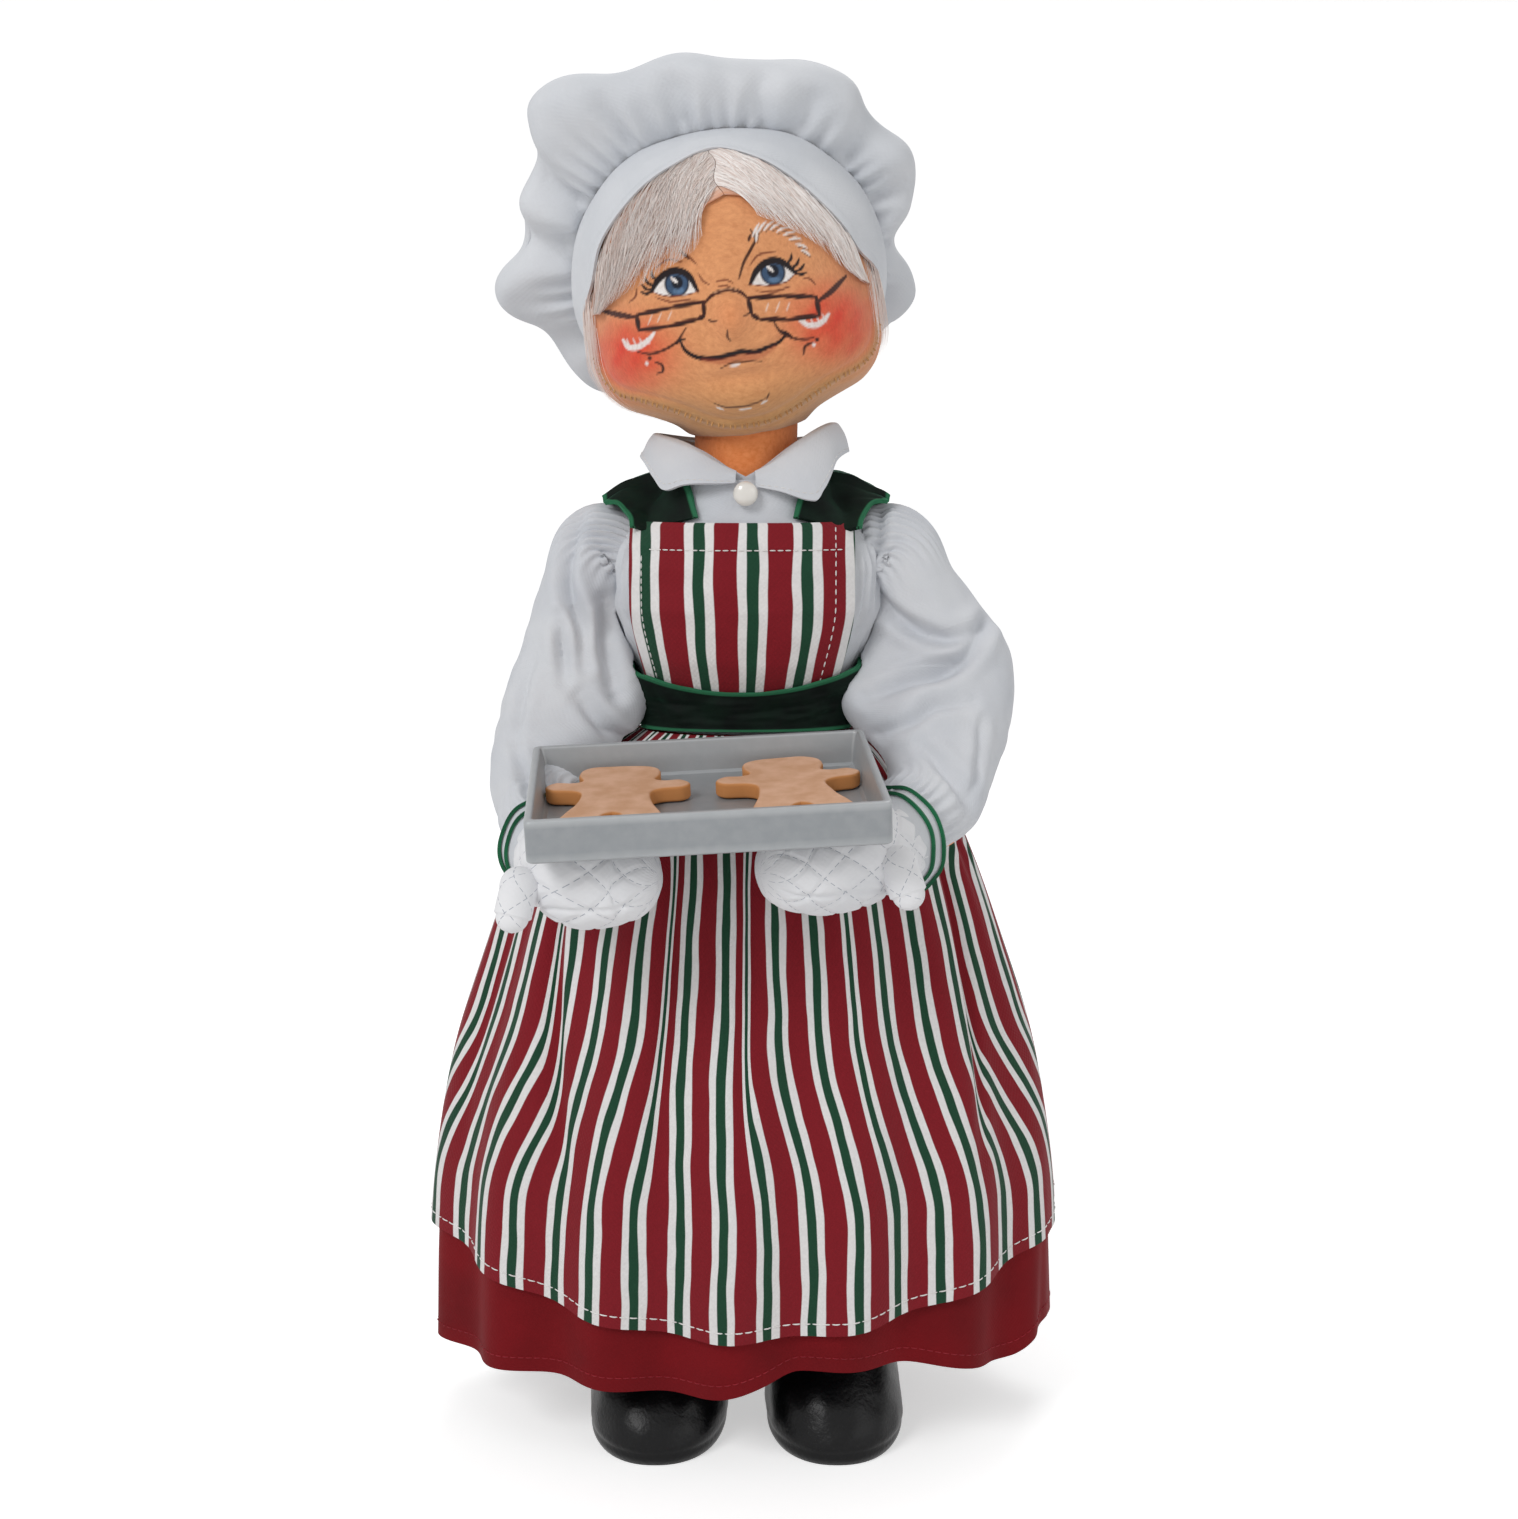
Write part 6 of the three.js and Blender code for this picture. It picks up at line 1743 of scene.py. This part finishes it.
band_turn = full_turn(360)[None, :]
band_down = np.linspace(0, 1, 34)[:, None]
inner_edge = profile([[-90, -2.75], [-30, -3], [0, -7], [22, -12.5], [43, -11.5], [60, -7.8],
                      [76, -2.9], [87, 0.6], [93, 0.6], [104, -2.3], [119, -4.2], [141, -7.6],
                      [160, -10.5], [185, -7], [215, -3], [270, -2.75]])
cap_angle = np.where(np.degrees(band_turn) < -90, np.degrees(band_turn) + 360, np.degrees(band_turn))
band_inner = inner_edge(cap_angle)[..., 0]
gather_w = BAND_WIDTH - 0.4
band_w = band_inner + (gather_w - band_inner) * band_down
at_temple = ease(55, 75, np.abs(cap_angle - 90))
flare = (1.4 + 1.6 * (1 - ease(20, 60, np.abs(cap_angle - 90)))) * ease(0.2, 1, band_down)
snug = (1.9 + 1.2 * at_temple) * (1 - ease(0, 0.45, band_down))
band_points = cap_on_head(band_turn + 0 * band_down, band_w, 0 * band_w)
hem_roll = 0.5 * bell(band_down, 0.05, 0.05)
band_lift = BAND_LIFT - snug + flare + hem_roll + 0.3 * ripple(51, band_points, 18)
band_points = cap_on_head(band_turn + 0 * band_down, band_w, band_lift)
cap_band = piece("cotton_cap_band", [
    (patch(from_head(band_points), True, COTTON, from_head(CAP_SEAT)), lit_cap_cotton)],
    "head_and_cap", ["hat_band"], "white_cotton")
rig.sheet(cap_band, flat=(0.245, 0.018), held="stretched", rests_on=["painted_felt_head"])

# %% Crown
crown_outline = np.array([
    [-26, 58], [-4, 48], [20, 58.5], [38, 56], [52, 62], [86, 59], [108, 63], [133, 72],
    [146, 60], [164, 60], [187, 68], [203, 61], [224, 62], [244, 62], [270, 56], [302, 55]], float)
outline_xy = crown_outline[:, 1:] * np.stack([np.cos(np.radians(crown_outline[:, 0])),
                                              np.sin(np.radians(crown_outline[:, 0]))], -1)
wrapped = np.vstack([outline_xy[-3:], outline_xy, outline_xy[:4]])
curve = spline(wrapped, 1200)
curve_turn = np.unwrap(np.arctan2(curve[:, 1], curve[:, 0]))
crown_turn = np.radians(np.linspace(-26, 334, 500, endpoint=False))
crown_reach = np.interp(crown_turn, curve_turn, np.hypot(curve[:, 0], curve[:, 1]))
seam_w = gather_w + GAP + 0.1
CROWN_RISE = 33.0
from_middle = np.abs((np.degrees(crown_turn) - 90 + 180) % 360 - 180)
seam_lift = BAND_LIFT - 0.9 + 1.4 + 1.6 * (1 - ease(20, 60, from_middle))
seam_points = cap_on_head(crown_turn, np.full_like(crown_turn, seam_w), seam_lift)
seam_radius = np.hypot(seam_points[:, 0], (seam_points - CAP_SEAT) @ CAP_FORWARD)
t = (np.linspace(0, 1, 96) ** 0.9)[:, None]
curve_points = [(seam_radius, np.full_like(seam_radius, seam_w)),
                (crown_reach * 1.12, np.full_like(seam_radius, seam_w - 4.5)),
                (crown_reach * 1.1, np.full_like(seam_radius, CROWN_RISE)),
                (crown_reach * 0.004, np.full_like(seam_radius, CROWN_RISE + 3))]
weights = [(1 - t) ** 3, 3 * t * (1 - t) ** 2, 3 * t**2 * (1 - t), t**3]
radial = sum(w * p[0] for w, p in zip(weights, curve_points))
height = sum(w * p[1] for w, p in zip(weights, curve_points))
crown_grid = (CAP_SEAT + np.cos(crown_turn)[None, :, None] * radial[..., None] * np.array([1.0, 0, 0])
              + np.sin(crown_turn)[None, :, None] * radial[..., None] * CAP_FORWARD
              + height[..., None] * CAP_OUT)
crown_out = normals(crown_grid, True, CAP_SEAT + 16 * CAP_OUT)
phase = 52 * crown_turn + 2.6 * np.sin(3 * crown_turn) + 1.9 * np.sin(7 * crown_turn + 2)
uneven = 0.7 + 0.45 * np.sin(5 * crown_turn + 1) * np.sin(11 * crown_turn)
pleats = np.sin(phase) * uneven * np.exp(-((t - 0.02) / 0.1) ** 2) * (0.3 + 0.7 * ease(0.0, 0.02, t))
fold_rng = np.random.default_rng(57)
# place and width in degrees, depth in mm, and the share of the way up at which the fold ends
crown_folds = [(-4, 5, 2.6, 0.5), (38, 3.5, 2.0, 0.4), (57, 2.4, 1.2, 0.22), (75, 2.2, 1.5, 0.3),
               (99, 2.8, 1.6, 0.3), (120, 2.2, 1.5, 0.26), (147, 3.4, 2.6, 0.42), (166, 4.0, 3.0, 0.5),
               (203, 4.5, 2.4, 0.45), (18, 2.6, 1.4, 0.3), (234, 4, 2.0, 0.4), (262, 4, 1.8, 0.4),
               (290, 4, 1.8, 0.4), (318, 4, 2.0, 0.4)]
valleys = np.zeros_like(radial)
for at, wide, deep, until in crown_folds:
    bend = fold_rng.uniform(-14, 14)
    off = (np.degrees(crown_turn)[None, :] - at - bend * t + 180) % 360 - 180
    along = ease(0.0, 0.05, t) * (1 - ease(until * 0.55, until * 1.25, t))
    widen = wide * (1 + 2.2 * t)
    shoulders = 0.45 * deep * bell(np.abs(off), 1.9 * widen, 1.1 * widen)
    valleys += along * (-deep * bell(off, 0, widen) + shoulders)
soft = (1.5 * ripple(55, crown_grid, 30) + 0.45 * ripple(56, crown_grid, 12)) * ease(0.06, 0.3, t)
crown_grid = crown_grid + crown_out * (pleats + valleys + soft)[..., None]
crown_width = 300.0
crown = piece("gathered_cotton_crown", [
    (patch(from_head(crown_grid), True, COTTON, from_head(CAP_SEAT + 16 * CAP_OUT), width=crown_width),
     lit_cap_cotton)],
    "head_and_cap", ["hat_crown"], "white_cotton", crisp=75)
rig.sheet(crown, flat=(0.17, 0.17), area=0.0227, held="gathered", rests_on=["cotton_cap_band"])

# %% [markdown]
# ## Hair
# Two locks of white mohair are glued under the cap at the middle parting and combed down to
# the temples. The strands are tubes of three sides on the face's surface, a thousand at once in
# one array: each runs between the lock's lower edge and the cap's edge, from a place near the
# parting toward the temple. A thin bed of the same fibre lies under them, and a few wisps
# hang down beside both cheeks.

# %% Locks and wisps
lock_edges = {
    "right": (spline([(1.0, 52.5), (-4.4, 49.6), (-9.0, 44.4), (-15, 41.2), (-22, 37.4), (-29, 33.8),
                      (-34.4, 30.0)], 80),
              spline([(-1.8, 70), (-10, 66.2), (-19.5, 60.5), (-28.5, 51.5), (-33.6, 42),
                      (-36.6, 30.0)], 80)),
    "left": (spline([(1.2, 52.5), (5.6, 52), (14.4, 47.6), (23.8, 40.8), (30.4, 33.4), (33.6, 30.4)], 80),
             spline([(-1.6, 70), (9.5, 65), (19, 57.5), (26.4, 49.5), (32.2, 41.5), (36.2, 29.0)], 80))}


def in_lock(name, along, share, grow):
    """A place in a lock, on the face: along it to the temple, and from its lower edge to the cap."""
    at = np.clip(along, 0, 1) * 79
    spots = []
    for edge in lock_edges[name]:
        spots.append(np.stack([np.interp(at, np.arange(80), edge[:, k]) for k in (0, 1)], -1))
    flat = spots[0] + (spots[1] - spots[0]) * share[..., None]
    flat[..., 0] += 0.8 * np.sin(11 * share + 1) * (1 - ease(0, 0.12, np.clip(along, 0, 1)))
    half = head_size(flat[..., 1])
    ratio = np.clip(np.abs(flat[..., 0]) / (half[..., 0] + grow), 0, 0.985)
    depth = -(half[..., 1] + grow) * np.sqrt(1 - ratio**2)
    return np.stack([flat[..., 0], depth, flat[..., 1]], -1)


def mohair(centres, radii):
    """Thin strands: tubes of three sides, tapered by the radii, drawn away from the head's middle."""
    return tubes(from_head(centres), radii, unit(from_head(centres) - from_head(CAP_SEAT)), 3)


for name, s in SIDES.items():
    rng = np.random.default_rng(60 + s)
    along, share = np.meshgrid(np.linspace(0.0, 1.0, 70), np.linspace(0.12, 1, 26), indexing="xy")
    bed = in_lock(name, along, share, GAP + 0.75 + 0.2 * np.sin(share * 60 + 6 * along))
    strands, stations = 1000, 11
    step = np.linspace(0, 1, stations)[None, :]
    start = np.maximum(rng.uniform(-0.3, 0.85, strands), 0) ** 1.2
    reach = rng.uniform(0.2, 0.5, strands)
    from_share = np.where(start < 0.05, rng.uniform(0.25, 1.0, strands), rng.uniform(0.35, 1.0, strands))
    to_share = np.clip(from_share - rng.uniform(0.15, 0.9, strands), -0.16, 1)
    a_at = np.clip(start[:, None] + reach[:, None] * step, 0, 0.998)
    s_at = from_share[:, None] + (to_share - from_share)[:, None] * step**1.4
    s_at = s_at + rng.normal(0, 0.04, strands)[:, None] * np.sin(np.pi * step)
    height_at = rng.uniform(1.3, 2.3, strands)[:, None] * (0.6 + 0.4 * np.sin(np.pi * step)) + GAP
    centres = in_lock(name, a_at, s_at, height_at)
    thickness = rng.uniform(0.07, 0.15, strands)[:, None] * np.clip(1.15 - step, 0.15, 1)
    wisps = 110
    wisp_x = rng.uniform(36, 40, wisps)
    wisp_top = rng.uniform(26, 36, wisps)
    wisp_drop = rng.uniform(8, 27, wisps) if s < 0 else rng.uniform(6, 20, wisps)
    wisp_z = wisp_top[:, None] - wisp_drop[:, None] * step
    sway = rng.uniform(-2.5, 2.0, wisps)[:, None]
    curl = sway * np.sin(np.pi * step * rng.uniform(0.6, 1.4, wisps)[:, None])
    wisp_y = -9 + 0 * wisp_z - rng.uniform(-5, 5, wisps)[:, None]
    target = np.stack([s * (wisp_x[:, None] + curl), wisp_y, wisp_z], -1)
    heart = np.stack([0 * wisp_z, 0 * wisp_z, wisp_z], -1)
    wisp_lift = GAP + rng.uniform(0.3, 1.8, wisps)[:, None] + 0 * wisp_z
    wisp_centres = head_ray(heart, unit(target - heart), wisp_lift)
    wisp_radius = rng.uniform(0.045, 0.085, wisps)[:, None] * np.clip(1.1 - step, 0.12, 1)
    piece(f"mohair_lock_{name}", [
        (patch(from_head(bed), False, 0.4, from_head(CAP_SEAT)), hair_bed),
        (mohair(centres, thickness), faux_fur), (mohair(wisp_centres, wisp_radius), faux_fur)],
        "head_and_cap", [f"hair_{name}"], "white_faux_fur")

# %% [markdown]
# ## Tray, cookies and mitts
# The tray is a thick-walled cast box with softened edges. The cookies are flat clay figures
# with rounded rims. The mitts are padded cotton, quilted in diamonds, bound in white with two
# green cords at the cuff, and flattened where the tray rests on them.

# %% Tray
def rounded_box(half_x, half_y, corner, count=12):
    """A ring of a rectangle with round corners."""
    turn = np.linspace(0, np.pi / 2, count)
    arcs = []
    for i, (sx, sy) in enumerate(((1, 1), (-1, 1), (-1, -1), (1, -1))):
        a = turn + i * np.pi / 2
        x = sx * (half_x - corner) + corner * np.cos(a)
        arcs.append(np.stack([x, sy * (half_y - corner) + corner * np.sin(a)], -1))
    return np.vstack(arcs)


edge_turn = np.radians(np.linspace(0, 90, 6))
# Rings of the tray, each with the share of its base colour; lower shares take more of the paler colour, along the
# rounded edges and, as painted light, on the inner walls and floor.
tray_profile = [(6.0, -TRAY_HEIGHT, 1.0), (1.4, -TRAY_HEIGHT, 1.0)]
tray_profile += [(0.8 * (1 - np.sin(e)), -TRAY_HEIGHT + 0.8 * (1 - np.cos(e)), 0.3) for e in edge_turn]
tray_profile += [(0, h, 1.0) for h in (-8, -5, -2)]
tray_profile += [(0.7 * (1 - np.cos(e)), -0.7 * (1 - np.sin(e)), 0.0) for e in edge_turn]
tray_profile += [(TRAY_WALL - 0.6 * (1 - np.sin(e)), -0.6 * (1 - np.cos(e)), 0.15) for e in edge_turn]
inner_foot = TRAY_FLOOR - TRAY_HEIGHT
# Inner walls and floor: painted light, paler as if lit from in front.
tray_profile += [(TRAY_WALL + 0.35 + 0.85 * k, -0.6 + (inner_foot + 1.2) * k, 0.1) for k in (0.33, 0.66, 1.0)]
tray_profile += [(TRAY_WALL + 1.3 + 0.8 * np.sin(e), inner_foot + 0.6 * (1 - np.sin(e)), 0.5)
                 for e in edge_turn[1:]]
tray_profile += [(8, inner_foot, 0.8), (18, inner_foot, 0.8), (28.5, inner_foot, 0.8)]
tray_rings, tray_base_share = [], []
for inset_by, z, shade in tray_profile:
    corner = max(1.6 - inset_by * 0.3, 0.4)
    ring_xy = rounded_box(TRAY_WIDTH / 2 - inset_by, TRAY_LENGTH / 2 - inset_by, corner)
    tray_rings.append(np.column_stack([ring_xy, np.full(len(ring_xy), z)]))
    tray_base_share.append(np.full((len(ring_xy), 1), shade))
tray_rings, tray_base_share = np.array(tray_rings), np.array(tray_base_share)
tray_core = from_tray(np.array([0, 0, -TRAY_HEIGHT]))
piece("baking_tray", [(patch(from_tray(tray_rings), True, core=tray_core, paint=tray_base_share), tray_paint)],
      "tray_and_mitts", ["tray"], "silver_paint", crisp=35)

# %% Cookies
COOKIE_SPAN, COOKIE_LENGTH, COOKIE_THICK, COOKIE_SPACING = 36.0, 43.0, 4.0, 43.0


def cookie_outline(count=140):
    """A figure with a broad head, arms out and short legs: points on one half and their mirror."""
    arm, legs, crown_y = COOKIE_SPAN / 2, -COOKIE_LENGTH / 2, COOKIE_LENGTH / 2
    half = np.array([
        [0, crown_y], [6.5, crown_y - 0.3], [9.6, crown_y - 2.6], [10.2, crown_y - 7], [9.2, crown_y - 11.4],
        [11.5, crown_y - 12.6], [arm - 2.4, crown_y - 12.2], [arm, crown_y - 15], [arm - 1.6, crown_y - 18],
        [11, crown_y - 19.2], [8.8, crown_y - 21], [9.4, crown_y - 29], [11.8, legs + 6], [12.6, legs + 2],
        [10.6, legs], [5, legs + 0.2], [2.8, legs + 1.4], [2, legs + 5.6], [0, legs + 7]])
    one = spline(half, count)
    return np.vstack([one, one[-2:0:-1] * [-1, 1]])


outline = cookie_outline()
EDGE_ROUND = 0.8
for name, s in SIDES.items():
    shape = bpy.data.curves.new("cookie cutter", "CURVE")
    shape.dimensions = "2D"
    shape.fill_mode = "BOTH"
    shape.extrude = (COOKIE_THICK / 2 - EDGE_ROUND) * MM
    shape.bevel_depth = EDGE_ROUND * MM
    shape.bevel_resolution = 4
    shape.offset = -EDGE_ROUND * MM
    run = shape.splines.new("POLY")
    run.points.add(len(outline) - 1)
    run.use_cyclic_u = True
    wobble = 1 + 0.012 * ripple(70 + s, np.column_stack([outline, 0 * outline[:, 0]]), 9)
    flat = np.column_stack([outline * wobble[:, None], np.zeros(len(outline)), np.ones(len(outline))])
    run.points.foreach_set("co", (flat * [MM, MM, 1, 1]).ravel())
    cutter = bpy.data.objects.new(f"gingerbread_cookie_{name}", shape)
    baked = bpy.data.meshes.new_from_object(cutter)
    bpy.data.objects.remove(cutter)
    points = np.empty(len(baked.vertices) * 3)
    baked.vertices.foreach_get("co", points)
    turn_by = s * np.radians(4)
    c, d = np.cos(turn_by), np.sin(turn_by)
    spun = np.array([[c, d, 0], [-d, c, 0], [0, 0, 1]])
    place = [s * COOKIE_SPACING / 2, 1, inner_foot + GAP + COOKIE_THICK / 2]
    lying = points.reshape(-1, 3) / MM @ spun + place
    baked.vertices.foreach_set("co", in_scene(from_tray(lying)).ravel())
    baked.materials.clear()
    baked.materials.append(cookie_clay)
    baked.polygons.foreach_set("material_index", np.zeros(len(baked.polygons), int))
    baked.shade_smooth()
    baked.set_sharp_from_angle(angle=np.radians(40))
    cookie = bpy.data.objects.new(f"gingerbread_cookie_{name}", baked)
    bpy.context.scene.collection.objects.link(cookie)
    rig.ride(cookie, "tray_and_mitts")
    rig.replaces(cookie, f"cookie_{name}")
    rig.slot(cookie, "cookie_clay")
print("points round a cookie:", len(outline))

# %% Mitts
MITT_START, CUFF_START = 43, 43 + 16
UNDER_TRAY = -TRAY_HEIGHT - GAP - 0.05
for name, s in SIDES.items():
    wrist = to_tray(np.array(arm_points[name][2], float))
    tip, palm = np.array([s * 12, -15, under_tray]), np.array([s * 31, -8, under_tray])
    whole_path = spline([wrist + [s * 1.5, 3, 3], wrist + (palm - wrist) * 0.45, palm,
                         palm + (tip - palm) * 0.6, tip], 140)
    mitt_path = whole_path[MITT_START:]
    share = np.linspace(0, 1, 140)[MITT_START:]
    wide, thick = MITT_WIDTH / 2, MITT_THICK / 2
    size = profile([[0, 9.6, 9.4], [0.14, 9.8, 9.6], [0.34, 10.8, thick - 1.2], [0.55, wide, thick],
                    [0.75, wide, thick - 0.2], [0.9, wide - 2.4, thick - 2.2], [0.97, 6.8, 6.4],
                    [1, 2.6, 2.4]])
    grid = limb(mitt_path, size(share), 150)
    run = length_along(mitt_path)[:, None]
    girth = np.linspace(-np.pi, np.pi, 151)[None, :] * 4 * QUILT / np.pi
    lines = [np.abs(((run + d * girth[:, :-1]) / QUILT) % 1 - 0.5) * QUILT for d in (1, -1)]
    quilt = -0.5 * np.maximum(bell(QUILT / 2 - lines[0], 0, 0.9), bell(QUILT / 2 - lines[1], 0, 0.9)) + 0.3
    plump = ease(0.05, 0.25, share[:, None]) * (1 - ease(0.9, 1.0, share[:, None]))
    seam = -0.8 * bell(np.abs(full_turn(150)[None, :] + np.pi * 0.5), 0, 0.05)
    out = normals(grid, True, mitt_path[:, None])
    grid = grid + out * ((quilt + seam) * plump + 0.3 * ripple(80 + s, grid, 14))[..., None]
    beyond = np.maximum(np.abs(grid[..., 0]) - TRAY_WIDTH / 2 - 0.4,
                        np.abs(grid[..., 1]) - TRAY_LENGTH / 2 - 0.4)
    ceiling = UNDER_TRAY + 1.6 * np.maximum(beyond, 0)
    grid[..., 2] = np.minimum(grid[..., 2], ceiling)
    quilt_uv = np.stack([girth + 0 * run, run + 0 * girth], -1)
    thumb_root = palm + [s * 14.5, -6, 0]
    thumb_tip = thumb_root + [s * 2, -3, -6.5]
    path, radii = stuffed(thumb_root, thumb_tip, 4.6, 4.8, 4.0, 40)
    thumb = limb(path, radii * [1.0, 0.85], 60, (0, 1, 0))
    thumb[..., 2] = np.minimum(thumb[..., 2], UNDER_TRAY)
    cuff_at = np.linspace(0, 1, 22)[:, None]
    axis = unit(whole_path[MITT_START] - whole_path[CUFF_START])
    cuff_path = whole_path[CUFF_START] + axis * np.linspace(0, 9.5, 22)[:, None]
    cuff_size = 11.4 + 1.6 * ease(0.1, 1, cuff_at)
    cuff_size = cuff_size + 0.35 * bell(cuff_at, 0.93, 0.05) + 0.25 * bell(cuff_at, 0.6, 0.05)
    cuff = limb(cuff_path, np.concatenate([cuff_size, cuff_size], 1), 120)
    cuff = cuff + normals(cuff, True, cuff_path[:, None]) * (0.35 * ripple(83 + s, cuff, 9))[..., None]
    cuff_out = normals(cuff, True, cuff_path[:, None])
    cuff_parts = [(patch(from_tray(cuff), True, 1.0, from_tray(cuff_path)[:, None]), white_cotton)]
    for row in (12, 19):
        ring = np.concatenate([cuff[row] + cuff_out[row] * 0.35, cuff[row, :1] + cuff_out[row, :1] * 0.35])
        ring_out = np.concatenate([cuff_out[row], cuff_out[row, :1]])
        turned_out = from_tray(ring_out) - TRAY_CENTRE
        cuff_parts.append((tubes(from_tray(ring)[None], 0.62, turned_out[None]), green_cord))
    mitt = piece(f"quilted_mitt_{name}", [
        (patch(from_tray(grid), True, core=from_tray(mitt_path)[:, None], uv=quilt_uv), quilted_cotton),
        (patch(from_tray(thumb), True, core=from_tray(path)[:, None]), quilted_cotton)] + cuff_parts,
        "tray_and_mitts", [f"{name}_mitt"], "quilted_cotton")
    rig.padded(mitt, fill=0.85)

# %% [markdown]
# ## Boots
# Plump black boots with round toes, pulled over the feet like the ones of a toy soldier. The
# leatherette is smooth, with soft creases where the upper meets the sole.

# %% Boots and soles
SOLE, BOOT_HEIGHT, BOOT_Y = 3.5, 58, -14
boot_size = profile([
    [SOLE + GAP, 18.6, 27, BOOT_Y], [10, 19.4, 28, BOOT_Y], [18, 18.6, 25.5, -12.6], [28, 16.4, 20.5, -9.6],
    [40, 13.8, 15.4, -6], [BOOT_HEIGHT, 12.8, 13.6, -4]])
for name, s in SIDES.items():
    heights = np.concatenate([[SOLE + GAP], np.linspace(SOLE + GAP + 0.3, BOOT_HEIGHT, 90)])
    size = boot_size(heights)
    grid = level_ring(heights, full_turn(160), size[:, :2], 2.2)
    grid[..., 1] += size[:, 2:3]
    grid[..., 0] += s * FOOT_X
    out = normals(grid, True, np.stack([np.full_like(heights, s * FOOT_X), size[:, 2], heights], -1)[:, None])
    tuck = -0.8 * bell(grid[..., 2], SOLE + GAP, 1.6) - 0.35 * bell(grid[..., 2], 8.5, 0.9)
    soft = 0.35 * ripple(90 + s, grid, 20) + 0.12 * ripple(91 + s, grid, 7)
    grid = grid + out * (tuck + soft * ease(5, 12, grid[..., 2]))[..., None]
    centre = np.array([s * FOOT_X, -10, 20.0])
    piece(f"{name}_leatherette_boot", [(patch(grid, True, core=centre), leatherette)],
          f"{name}_leg_and_boot", [f"{name}_boot"], "black_leatherette")
    sole_z, grow = np.array([(0, -2.5), (0, -0.6), (0.25, -0.15), (0.8, 0.1), (2.4, 0.4), (3.1, 0.35),
                             (3.4, 0.1), (3.5, -0.4), (3.5, -3)], float).T
    half = np.stack([19 + grow, 27.6 + grow], -1)
    sole = level_ring(sole_z, full_turn(160), half, 2.2) + [s * FOOT_X, BOOT_Y, 0]
    piece(f"{name}_rubber_sole", [(patch(sole, True, core=(s * FOOT_X, BOOT_Y, 1.7)), sole_rubber)],
          f"{name}_leg_and_boot", [f"{name}_sole"], "sole_rubber", crisp=40)

# %% [markdown]
# ## Finish
# The two boxes are written down, so that the visual model can be compared with the frame.

# %% Write the sizes and finish
visual_box = [list(corner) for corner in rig.bounds()]
with open("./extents.json", "w") as out_file:
    json.dump({"cad": cad_box, "visual": visual_box}, out_file)
print("cad:", cad_box, "visual:", visual_box)
